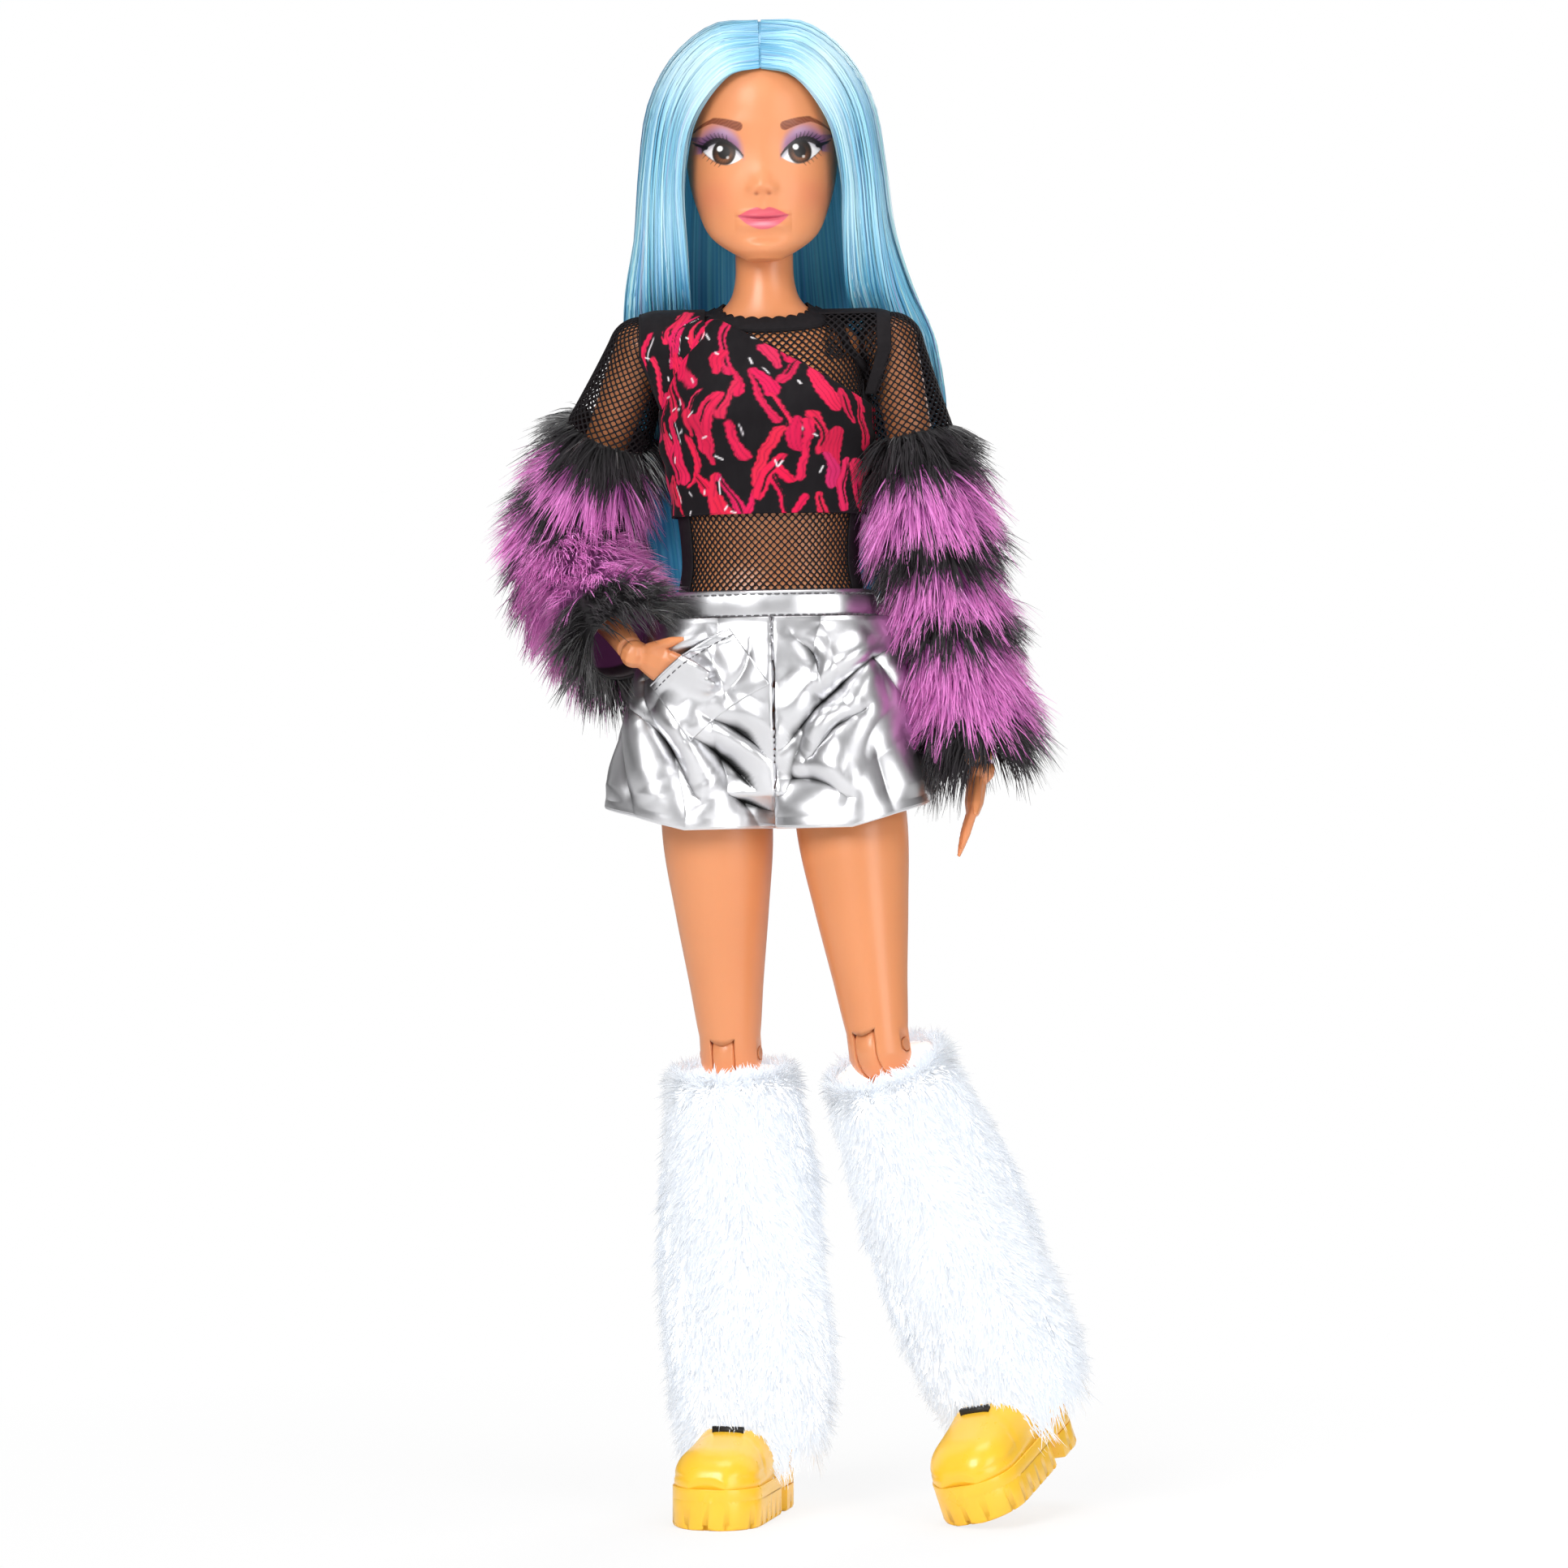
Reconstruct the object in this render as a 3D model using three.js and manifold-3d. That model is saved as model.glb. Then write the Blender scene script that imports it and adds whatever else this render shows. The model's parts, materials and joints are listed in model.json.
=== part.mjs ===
// A jointed fashion doll in street clothes, standing with one hand in her pocket.
// Millimetres, +Z up, the doll faces -Y and her right side is -X.
import * as THREE from "three";
import { mergeVertices } from "three/addons/utils/BufferGeometryUtils.js";
import Module from "manifold-3d";

const wasm = await Module();
wasm.setup();

// Fits shared by all pieces
const clearance = 0.3;
const overrun = 2;
const clothGap = 0.3;
const ballEase = 0.5;

const sides = [[-1, "right"], [1, "left"]];

// Stance, in degrees
const lean = -1.2;
const stance = {
  right: {
    hipSwing: 3.9, hipSplay: -2.2, hipTurn: -16.2, knee: 0, ankle: 0,
    armSwing: 24, armRaise: 21.3, armTurn: 24, elbow: 89, wrist: -8, handBend: 34,
  },
  left: {
    hipSwing: -9.7, hipSplay: 5.6, hipTurn: -31.6, knee: 28.3, ankle: -6.3,
    armSwing: 0, armRaise: 10.7, armTurn: 2.9, elbow: 1.2, wrist: 0, handBend: 20,
  },
};

// How a limb's round ends run into its sections
const domeStartShare = 0.35;
const domeTurnShare = 0.55;
const headJoinShare = 0.3;
const tailJoinShare = 0.6;

// Trunk
const torsoBase = 20;
const torsoHeight = 70;
const torsoWidth = 43;
const torsoFront = 14;
const torsoBack = 12;
const bustSwell = 2.6;
const bustSideShare = 0.42;
const bustHeightShare = 0.53;
const bustSpreadShare = 0.36;
const bustRunShare = 0.1;
const pelvisDrop = 9.5;
const crotchWeb = 2.6;
const pelvisWidth = 42;
const pelvisDepth = 12.5;
const waistPlugRadius = 5;
const waistPlugReach = 6;

// Head, measured from the pivot of the neck
const neckOverPivot = 3;
const neckPivotHeight = torsoBase + torsoHeight - neckOverPivot;
const headDrop = 0.8;
const headHeight = 46;
const headWidth = 30;
const headFront = 15;
const headBack = 17.5;
const noseSwell = 2.3;
const bridgeSwell = 1;
const lipSwell = 0.8;
const socketDepth = 0.9;
const eyeSideShare = 0.56;
const neckHoleRadius = 7.4;
const skullHollowWidth = 12;
const skullHollowDepth = 12;
const skullHollowHeight = 15;
const skullHollowRise = 21;
const neckKnobRadius = 4;
const neckKnobRise = 7.5;
const neckStemRadius = 2.2;
const neckStemDepth = 8;

// Hair
const hairUnit = 1;
const hairCapDrop = 3;
const hairlineDepth = 3;
const hairlineRunShare = 0.1;
const napeRadius = 13;
const curtainThickness = 3.4;
const curtainStartShare = 0.5;
const hairWaveCount = 9;
const hairWaveDepth = 0.6;
const hairNormalShare = 0.02;
const hairRowCount = 10;
const hairColumnCount = 9;

// Arms
const shoulderOverhang = 3.3;
const shoulderSpan = torsoWidth + 2 * shoulderOverhang;
const shoulderHeight = 70.5;
const shoulderRadius = 5.6;
const shoulderBallRadius = 3.4;
const shoulderAxleRadius = 1.3;
const shoulderAxleLength = 13;
const slotAngle = 40;
const upperArmLength = 47;
const forearmLength = 38;
const armWidth = 9.6;
const elbowRadius = 3.9;
const elbowTongue = 2.6;
const elbowPinRadius = 0.9;
const elbowStart = 4.3;
const wristRadius = 2.9;
const wristPegRadius = 1.1;
const wristPegReach = 4;

// Hands
const palmLength = 10.5;
const palmWidth = 8.4;
const palmThickness = 4;
const fingerLength = 10.5;
const fingerWidth = 1.9;
const fingerCurl = 9;
const thumbLength = 9;
const thumbWidth = 2.3;
const thumbSpread = 38;
const fingerFan = 3;
const handEase = 0.5;

// Legs
const hipSpan = 25.2;
const thighRadius = 10.5;
const hipBallRadius = 6;
const hipAxleRadius = 1.8;
const hipAxleGap = 1;
const thighLength = 70;
const thighWidth = 22;
const shinLength = 64;
const shinWidth = 15;
const kneeRadius = 6.3;
const kneeTongue = 4.4;
const kneePinRadius = 1.3;
const ankleHeight = 28;
const footLength = 33;
const footWidth = 11.4;
const instepHeight = 12;
const footSide = 4;
const heelReach = 6.5;

// Shoes
const soleThickness = 8;
const solePlate = 2.6;
const soleWidth = 18;
const soleLength = 43;
const soleHeelReach = 12;
const platformLength = 26;
const heelBlockLength = 12;
const upperWall = 2.9;
const collarRadius = 7.4;
const treadWidth = 1.4;
const treadDepth = 1.2;
const treadCount = 5;
const treadStartShare = 0.7;
const heelWidthShare = 0.82;

// Net top and its printed panel
const netThickness = 0.5;
const netHem = 20.2;
const netNeckline = 75;
const panelThickness = 0.5;
const panelHem = 37;
const panelStrapHeight = 77;
const panelStrapSide = -12.5;
const panelArmpitHeight = 58;
const panelArmpitSide = 20;
const armholeRadius = 7.8;
const sleeveWidth = 18;
const sleeveWall = 0.6;

// Fur sleeve ends
const furStart = 19;
const furWidth = 27;
const furTuck = 3;
const furLining = 13.4;
const furBandSwell = 1;
const furBandCount = 2;

// Shorts
const bandTop = 22;
const shortsTop = 15.5;
const bandWall = 0.8;
const bandEase = 1.2;
const shortsLength = 39.5;
const shortsFlare = { right: 6.5, left: 2.5 };
const shortsFollowShare = 0.5;
const shortsWidth = 30;
const shortsFront = 17;
const shortsBack = 16;
const shortsWall = 0.8;
const shortsFoldDepth = 0.9;
const shortsFoldCount = 7;
const shortsFoldTwistShare = 5;
const shortsCreaseCount = 4;
const shortsCreaseTwistShare = 7;
const shortsCreaseDepth = 0.5;
const shortsTrunkWidth = 50;
const crotchHeight = -14;

// Leg warmers
const warmerTop = 3.6;
const warmerLength = 75;
const warmerWidth = 36.5;
const warmerLining = 17;
const warmerPuff = 0.8;
const warmerPuffCount = 5;
const warmerTwistShare = 9;

// Sections as shares: along, width, front, back, sideways
const torsoShares = [
  [0, 0.84, 0.79, 0.88], [0.11, 0.78, 0.71, 0.79], [0.29, 0.83, 0.8, 0.83], [0.44, 0.92, 0.95, 0.92],
  [0.53, 0.92, 1, 0.96], [0.62, 0.89, 0.92, 1], [0.7, 0.88, 0.72, 0.97], [0.76, 0.82, 0.57, 0.8],
  [0.8, 0.6, 0.48, 0.65], [0.84, 0.37, 0.43, 0.58], [0.9, 0.28, 0.38, 0.53], [1, 0.265, 0.37, 0.52],
];
const pelvisShares = [
  [0, 0.2, 0.35, 0.4], [0.15, 0.45, 0.62, 0.68], [0.4, 0.9, 0.85, 0.96], [0.6, 0.98, 0.95, 1],
  [0.8, 0.94, 0.93, 0.95], [1, 0.86, 0.88, 0.84],
];
const headShares = [
  [0, 0.24, 0.78, -0.34], [0.04, 0.4, 0.87, -0.16], [0.1, 0.58, 0.9, 0.12], [0.2, 0.79, 0.91, 0.55],
  [0.32, 0.93, 0.93, 0.84], [0.46, 1, 0.94, 0.97], [0.6, 1, 0.97, 1], [0.75, 0.93, 0.94, 0.98],
  [0.88, 0.72, 0.74, 0.84], [0.96, 0.42, 0.42, 0.52], [1, 0.12, 0.12, 0.14],
];
// Hair guides on one side, front to back, each from the parting to the tips, in hair units from the neck
const hairGuideShares = [
  [
    [0.2, -13.9, 37.3], [6, -14.1, 35.9], [10.8, -13, 31.4], [14.2, -10.9, 25], [15.7, -8.6, 16],
    [15.6, -5.4, 7], [15, 0.5, -3.5], [15, 10, -14], [14, 14.8, -38], [10, 16.3, -62], [6, 16.8, -82],
  ],
  [
    [0.25, -10.5, 43.9], [8, -10.8, 43], [14.3, -9.2, 38], [18.6, -7, 30], [20.7, -5, 18.5],
    [21.5, -2.5, 6.5], [22, 3.5, -4.5], [22.3, 11.6, -16], [21, 15.8, -38], [15, 17.3, -62],
    [9.5, 17.8, -82],
  ],
  [
    [0.3, -3, 47.9], [9, -2.6, 46.9], [16.8, -1.2, 41], [21.9, 0.3, 31.5], [23.9, 1.8, 19],
    [25.2, 3.6, 6.5], [27.3, 7.6, -5], [28.6, 13.2, -17.5], [27.6, 17.2, -38], [21, 18.8, -62],
    [14.5, 19.3, -82],
  ],
  [
    [0.3, 5, 48.3], [8, 8, 46.7], [14.2, 12.5, 41], [18.2, 16, 31.5], [19.6, 17.8, 19],
    [20.2, 18.8, 6], [20.7, 19.3, -6], [20.6, 19.8, -19], [19, 20, -39], [13.5, 20.2, -63],
    [9, 20.2, -83],
  ],
  [
    [0.25, 9.5, 47.4], [5, 15.2, 44], [8.8, 19.8, 37], [10.8, 21.8, 29], [11.4, 22.5, 18],
    [11.6, 22.4, 5.5], [11.6, 22, -7], [11.3, 21.6, -20], [10.4, 21.3, -40], [7.4, 21, -64],
    [4.6, 20.9, -84],
  ],
  [
    [0, 12.5, 45.8], [0, 19, 41.5], [0, 22.8, 35], [0, 24.1, 27], [0, 24.4, 17], [0, 24, 5],
    [0, 23.2, -7], [0, 22.5, -20], [0, 21.8, -40], [0, 21.3, -64], [0, 21.1, -84],
  ],
];
// How far the hair of each side hangs out from its guides, from the parting to the tips
const hairSpreadShares = {
  right: [1, 1, 1, 1, 1, 1, 1, 0.98, 1, 1.2, 1.6],
  left: [1, 1, 1, 1, 1, 1.01, 1.07, 1.2, 1.26, 1.1, 0.9],
};
// Where the face swells: its height on the head, then how far it spreads across and up
const noseShares = [0.27, 0.15, 0.05];
const bridgeShares = [0.36, 0.13, 0.09];
const lipShares = [0.175, 0.3, 0.035];
const socketShares = [0.46, 0.3, 0.07];
const upperArmShares = [
  [0, 1.08, 1.08, 1.08], [0.15, 1.04, 1.1, 1.08], [0.4, 0.92, 0.95, 0.95], [0.7, 0.82, 0.84, 0.84],
  [0.9, 0.8, 0.8, 0.8], [1, 0.72, 0.72, 0.72],
];
const forearmShares = [
  [0, 0.78, 0.78, 0.78], [0.2, 0.86, 0.88, 0.88], [0.5, 0.76, 0.78, 0.78], [0.85, 0.6, 0.56, 0.56],
  [1, 0.56, 0.5, 0.5],
];
const palmShares = [
  [0, 0.9, 0.52, 0.52], [0.2, 0.95, 0.62, 0.6], [0.6, 1, 0.9, 0.88], [0.9, 0.85, 1, 0.96],
  [1, 0.6, 0.96, 0.9],
];
const fingerShares = [
  [0, 1, 1, 1], [0.5, 1, 1, 1], [0.85, 0.84, 0.84, 0.84], [1, 0.4, 0.4, 0.4],
];
const fingerLengthShares = [0.86, 1, 0.95, 0.78];
const thighShares = [
  [0, 0.93, 0.9, 0.93], [0.15, 0.97, 0.97, 1], [0.38, 1, 1, 0.98], [0.6, 0.84, 0.86, 0.82],
  [0.8, 0.67, 0.68, 0.64], [0.92, 0.58, 0.58, 0.56], [1, 0.5, 0.5, 0.5],
];
const shinShares = [
  [0.104, 0.78, 0.78, 0.78], [0.3, 0.95, 0.84, 1.06], [0.5, 0.84, 0.78, 0.94], [0.8, 0.6, 0.6, 0.6],
  [1, 0.56, 0.56, 0.56], [1.14, 0.6, 0.6, 0.6],
];
const footShares = [
  [0, 0.5, 0.7, 0.3], [0.08, 0.75, 0.95, 0.6], [0.25, 0.85, 1, 1], [0.45, 0.9, 1, 0.7],
  [0.7, 1, 1, 0.4], [0.9, 0.9, 0.95, 0.26], [1, 0.55, 0.6, 0.12],
];
const sleeveShares = [
  [0, 0.73, 0.73, 0.73], [0.2, 0.76, 0.76, 0.76], [0.6, 0.88, 0.86, 0.86], [1, 1, 0.96, 0.96],
];
const furShares = [[0, 0.9, 0.9, 0.9], [0.5, 1, 1, 1], [1, 0.96, 0.96, 0.96]];
const warmerShares = [
  [0, 0.74, 0.72, 0.74], [0.06, 0.82, 0.8, 0.82], [0.3, 0.94, 0.9, 0.92], [0.6, 1, 0.96, 0.98],
  [0.85, 1, 0.97, 0.98], [0.96, 0.93, 0.92, 0.92], [1, 0.8, 0.84, 0.82],
];
const shortsLegShares = [
  [0, 0.66, 0.74, 0.78], [0.2, 0.8, 0.88, 0.92], [0.5, 0.9, 0.96, 0.98], [0.8, 0.98, 1, 1],
  [1, 1.04, 1.04, 1.04],
];
const shortsTrunkShares = [
  [0, 0.86, 0.9, 0.96], [0.35, 0.97, 1, 1], [0.7, 0.92, 0.92, 0.92], [1, 0.82, 0.8, 0.76],
];

const shades = {
  skin: new THREE.MeshStandardMaterial({ color: 0xe39a68, roughness: 0.45 }),
  pin: new THREE.MeshStandardMaterial({ color: 0xc98455, roughness: 0.5 }),
  hair: new THREE.MeshStandardMaterial({ color: 0x6ec3e6, roughness: 0.3 }),
  net: new THREE.MeshStandardMaterial({ color: 0x1a1618, roughness: 0.85 }),
  print: new THREE.MeshStandardMaterial({ color: 0xc92347, roughness: 0.7 }),
  silver: new THREE.MeshStandardMaterial({ color: 0xc9c9cc, roughness: 0.25, metalness: 0.9 }),
  purpleFur: new THREE.MeshStandardMaterial({ color: 0x9a4f92, roughness: 0.95 }),
  whiteFur: new THREE.MeshStandardMaterial({ color: 0xf4f5f7, roughness: 0.95 }),
  yellow: new THREE.MeshStandardMaterial({ color: 0xf5b92e, roughness: 0.3 }),
};

// A row between the rows of a table, on a smooth curve through them
function rowAt(table, t) {
  const last = table.length - 1;
  const along = table[0][0] + (table[last][0] - table[0][0]) * t;
  let i = 0;
  while (i < last - 1 && along > table[i + 1][0]) {
    i += 1;
  }
  const [a, b, c, d] = [Math.max(i - 1, 0), i, i + 1, Math.min(i + 2, last)].map((k) => table[k]);
  const gap = c[0] - b[0];
  const u = (along - b[0]) / gap;
  const row = [along];
  for (let k = 1; k < 5; k += 1) {
    const value = (r) => r[k] ?? 0;
    const slopeIn = ((value(c) - value(a)) / (c[0] - a[0])) * gap;
    const slopeOut = ((value(d) - value(b)) / (d[0] - b[0])) * gap;
    const rise = value(c) - value(b);
    row.push(value(b) + slopeIn * u + (3 * rise - 2 * slopeIn - slopeOut) * u * u
      + (slopeIn + slopeOut - 2 * rise) * u * u * u);
  }
  return row;
}

// One closed section; y is negative towards the front
function ring(row, sizes, grow, segments, relief) {
  const [along, width, front, back, side] = row;
  const reachFront = front * sizes.front;
  const reachBack = back * sizes.back;
  const halfWidth = (width * sizes.width) / 2 + grow;
  const halfDepth = (reachFront + reachBack) / 2 + grow;
  const middle = (reachBack - reachFront) / 2;
  const points = [];
  for (let i = 0; i < segments; i += 1) {
    const angle = (2 * Math.PI * i) / segments;
    const swell = relief ? relief(angle, along) : 0;
    points.push(new THREE.Vector3(
      side * sizes.width + (halfWidth + swell) * Math.cos(angle),
      middle + (halfDepth + swell) * Math.sin(angle),
      along * sizes.length,
    ));
  }
  return points;
}

// Joins rings into one closed body, capped at its ends or closed on itself
function skinRings(rings, closed) {
  const count = rings[0].length;
  const points = rings.flat();
  const faces = [];
  const spans = closed ? rings.length : rings.length - 1;
  for (let r = 0; r < spans; r += 1) {
    for (let i = 0; i < count; i += 1) {
      const j = (i + 1) % count;
      const [low, high] = [r * count, ((r + 1) % rings.length) * count];
      faces.push(low + i, low + j, high + j, low + i, high + j, high + i);
    }
  }
  if (!closed) {
    for (const [start, flip] of [[0, true], [(rings.length - 1) * count, false]]) {
      const middle = points.slice(start, start + count)
        .reduce((sum, p) => sum.add(p), new THREE.Vector3()).divideScalar(count);
      const hub = points.push(middle) - 1;
      for (let i = 0; i < count; i += 1) {
        const j = (i + 1) % count;
        faces.push(...(flip ? [hub, start + j, start + i] : [hub, start + i, start + j]));
      }
    }
  }
  const geometry = new THREE.BufferGeometry().setFromPoints(points);
  geometry.setIndex(faces);
  return faceOut(geometry);
}

// Turns a closed body's faces outward where they look inward
function faceOut(geometry) {
  const at = geometry.getAttribute("position");
  const index = geometry.getIndex();
  const [a, b, c] = [new THREE.Vector3(), new THREE.Vector3(), new THREE.Vector3()];
  let volume = 0;
  for (let i = 0; i < index.count; i += 3) {
    a.fromBufferAttribute(at, index.getX(i));
    b.fromBufferAttribute(at, index.getX(i + 1));
    c.fromBufferAttribute(at, index.getX(i + 2));
    volume += a.dot(b.cross(c));
  }
  if (volume < 0) {
    for (let i = 0; i < index.count; i += 3) {
      const kept = index.getX(i + 1);
      index.setX(i + 1, index.getX(i + 2));
      index.setX(i + 2, kept);
    }
  }
  return geometry;
}

// A solid through the sections of a table
function loft(table, sizes, options = {}) {
  const { grow = 0, steps = 10, segments = 20, relief } = options;
  const rings = [];
  for (let k = 0; k <= steps; k += 1) {
    rings.push(ring(rowAt(table, k / steps), sizes, grow, segments, relief));
  }
  return skinRings(rings, false);
}

// A limb that hangs from a round head and ends in a round knuckle, both centred on their joints
function limb(table, sizes, headRadius, tailRadius, segments, steps) {
  const dome = (radius, turn, count) => {
    const rows = [];
    for (let k = 0; k < count; k += 1) {
      const angle = (turn * (k + domeStartShare)) / count;
      rows.push([radius * Math.cos(angle), radius * Math.sin(angle)]);
    }
    return rows;
  };
  const unit = { length: 1, width: 2, front: 1, back: 1 };
  const circle = ([height, radius]) => ring([height, radius, radius, radius, 0], unit, 0, segments);
  const rings = dome(headRadius, domeTurnShare * Math.PI, 4).map(circle);
  const firstShare = (headJoinShare * headRadius) / sizes.length;
  const lastShare = 1 - (tailJoinShare * tailRadius) / sizes.length;
  for (let k = 0; k <= steps; k += 1) {
    const row = rowAt(table, firstShare + ((lastShare - firstShare) * k) / steps);
    row[0] *= -1;
    rings.push(ring(row, sizes, 0, segments));
  }
  for (const [height, radius] of dome(tailRadius, Math.PI / 2, 3).reverse()) {
    rings.push(circle([-sizes.length - height, radius]));
  }
  return skinRings(rings, false);
}

// An open tube with a wall, through the sections of a table
function sleeve(table, sizes, wall, segments, steps) {
  const rows = [];
  for (let k = 0; k <= steps; k += 1) {
    rows.push(rowAt(table, k / steps));
  }
  const outer = rows.map((row) => ring(row, sizes, 0, segments));
  const inner = rows.map((row) => ring(row, sizes, -wall, segments)).reverse();
  return skinRings([...outer, ...inner], true);
}

// Solids for joining and cutting
function solid(geometry) {
  const bare = geometry.clone();
  bare.deleteAttribute("normal");
  bare.deleteAttribute("uv");
  const merged = mergeVertices(bare);
  return new wasm.Manifold(new wasm.Mesh({
    numProp: 3,
    vertProperties: new Float32Array(merged.getAttribute("position").array),
    triVerts: new Uint32Array(merged.getIndex().array),
  }));
}

function geometryOf(body) {
  const mesh = body.getMesh();
  const geometry = new THREE.BufferGeometry();
  geometry.setAttribute("position", new THREE.BufferAttribute(new Float32Array(mesh.vertProperties), 3));
  geometry.setIndex(new THREE.BufferAttribute(new Uint32Array(mesh.triVerts), 1));
  return geometry;
}

const join = (...shapes) => geometryOf(shapes.map(solid).reduce((a, b) => a.add(b)));
const cut = (shape, ...tools) => geometryOf(tools.map(solid).reduce((a, b) => a.subtract(b), solid(shape)));

// Only the largest body of a cut shape, without the crumbs that a grazing cut leaves
function largest(shape) {
  const bodies = solid(shape).decompose();
  return geometryOf(bodies.reduce((a, b) => (b.volume() > a.volume() ? b : a)));
}

// Sizes of a run with one width all round
const roundSizes = (length, width) => ({ length, width, front: width / 2, back: width / 2 });

const turnX = (degrees) => new THREE.Matrix4().makeRotationX(THREE.MathUtils.degToRad(degrees));
const turnY = (degrees) => new THREE.Matrix4().makeRotationY(THREE.MathUtils.degToRad(degrees));
const turnZ = (degrees) => new THREE.Matrix4().makeRotationZ(THREE.MathUtils.degToRad(degrees));
const shift = (x, y, z) => new THREE.Matrix4().makeTranslation(x, y, z);
const placed = (geometry, ...moves) => moves.reduce((g, move) => g.applyMatrix4(move), geometry.clone());

const ball = (radius, detail = 12) => new THREE.SphereGeometry(radius, detail, detail / 2);
const barX = (radius, length) => new THREE.CylinderGeometry(radius, radius, length, 10).rotateZ(Math.PI / 2);
const barZ = (radius, length) => new THREE.CylinderGeometry(radius, radius, length, 14).rotateX(Math.PI / 2);
const bump = (distance, spread) => Math.exp(-((distance / spread) ** 2));

// Distance round a section, in radians, from the front
const fromFront = (angle) => {
  const turned = angle - (3 * Math.PI) / 2;
  return Math.atan2(Math.sin(turned), Math.cos(turned));
};

function group(parent, ...moves) {
  const holder = new THREE.Group();
  moves.reduce((matrix, move) => matrix.multiply(move), new THREE.Matrix4())
    .decompose(holder.position, holder.quaternion, holder.scale);
  parent.add(holder);
  return holder;
}

function piece(parent, name, geometry, shade) {
  const mesh = new THREE.Mesh(geometry, shade.clone());
  mesh.name = name;
  parent.add(mesh);
  return mesh;
}

// Trunk shapes that the clothes share
const bodyGrow = 3 * clothGap + netThickness + panelThickness;
const torsoSteps = 10;
const torsoSizes = { length: torsoHeight, width: torsoWidth, front: torsoFront, back: torsoBack };
const pelvisHeight = pelvisDrop + torsoBase - clearance;
const pelvisSizes = { length: pelvisHeight, width: pelvisWidth, front: pelvisDepth, back: pelvisDepth };
const bustRelief = (angle, along) => {
  const side = Math.abs(fromFront(angle)) - bustSideShare;
  return bustSwell * bump(side, bustSpreadShare) * bump(along - bustHeightShare, bustRunShare);
};
const torsoLoft = (options) => placed(
  loft(torsoShares, torsoSizes, { segments: 16, steps: torsoSteps, relief: bustRelief, ...options }),
  shift(0, 0, torsoBase),
);
const pelvisLoft = (grow) => placed(
  loft(pelvisShares, pelvisSizes, { grow, segments: 20, steps: 6 }),
  shift(0, 0, -pelvisDrop),
);
const shoulderAt = (side) => [side * (shoulderSpan / 2), 0, shoulderHeight];
const hipAt = (side) => [side * (hipSpan / 2), 0, 0];

// Space above or below a height, as a tool to cut away what lies outside a garment's run
const slabSize = 2 * (torsoHeight + thighLength);
const spaceAbove = (height) => placed(
  new THREE.BoxGeometry(slabSize, slabSize, slabSize),
  shift(0, 0, height + slabSize / 2),
);
const spaceBelow = (height) => placed(
  new THREE.BoxGeometry(slabSize, slabSize, slabSize),
  shift(0, 0, height - slabSize / 2),
);
const torsoGarment = (bottom, top, gap, wall, ...tools) => largest(cut(
  torsoLoft({ grow: gap + wall }),
  torsoLoft({ grow: gap }),
  spaceAbove(top),
  spaceBelow(bottom),
  ...tools,
));

// The waistband's outer shape or its hollow: the torso's lowest section, straight up from the shorts
const waistShape = (grow, reach = 0) => {
  const length = bandTop - shortsTop - clearance + 2 * reach;
  const [, ...section] = torsoShares[0];
  return placed(
    loft([[0, ...section], [1, ...section]], { ...torsoSizes, length }, { grow, segments: 20, steps: 1 }),
    shift(0, 0, shortsTop + clearance - reach),
  );
};
const bandGap = 2 * clothGap + netThickness + bandEase;

// Where one holder stands, seen from another that carries it
function frameIn(holder, ancestor) {
  const matrix = new THREE.Matrix4();
  for (let at = holder; at !== ancestor; at = at.parent) {
    at.updateMatrix();
    matrix.premultiply(at.matrix);
  }
  return matrix;
}

function addTrunk(figure) {
  const neckTop = torsoBase + torsoHeight;
  const plugBore = barZ(waistPlugRadius + clearance, 2 * (waistPlugReach + clearance));
  const axleBore = barX(shoulderAxleRadius + clearance, shoulderSpan);
  const stemBore = barZ(neckStemRadius + clearance, 2 * (neckStemDepth + clearance));
  const sockets = sides.map(([side]) => placed(ball(shoulderRadius + ballEase), shift(...shoulderAt(side))));
  piece(figure, "torso_shell", largest(cut(
    torsoLoft(),
    ...sockets,
    placed(plugBore, shift(0, 0, torsoBase)),
    placed(axleBore, shift(0, 0, shoulderHeight)),
    placed(stemBore, shift(0, 0, neckTop)),
  )), shades.skin);

  const hips = sides.map(([side]) => placed(
    spaceBelow(thighRadius + clearance),
    shift(side * (crotchWeb / 2 + slabSize / 2), 0, 0),
  ));
  piece(figure, "pelvis_block", largest(cut(
    pelvisLoft(0),
    ...hips,
    barX(hipAxleRadius + clearance, hipSpan),
    placed(plugBore, shift(0, 0, torsoBase)),
  )), shades.skin);
  const plug = barZ(waistPlugRadius, 2 * waistPlugReach);
  piece(figure, "waist_plug", placed(plug, shift(0, 0, torsoBase)), shades.pin);

  const stemTop = neckPivotHeight + neckKnobRise;
  const knobProfile = [new THREE.Vector2(0, neckTop - neckStemDepth)];
  knobProfile.push(new THREE.Vector2(neckStemRadius, neckTop - neckStemDepth));
  const firstTurn = Math.asin(neckStemRadius / neckKnobRadius);
  const knobSteps = 6;
  for (let k = 0; k <= knobSteps; k += 1) {
    const angle = firstTurn + ((Math.PI - firstTurn) * k) / knobSteps;
    const radius = k === knobSteps ? 0 : neckKnobRadius * Math.sin(angle);
    knobProfile.push(new THREE.Vector2(radius, stemTop - neckKnobRadius * Math.cos(angle)));
  }
  piece(figure, "neck_knob", new THREE.LatheGeometry(knobProfile, 14).rotateX(Math.PI / 2), shades.pin);
}

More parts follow.
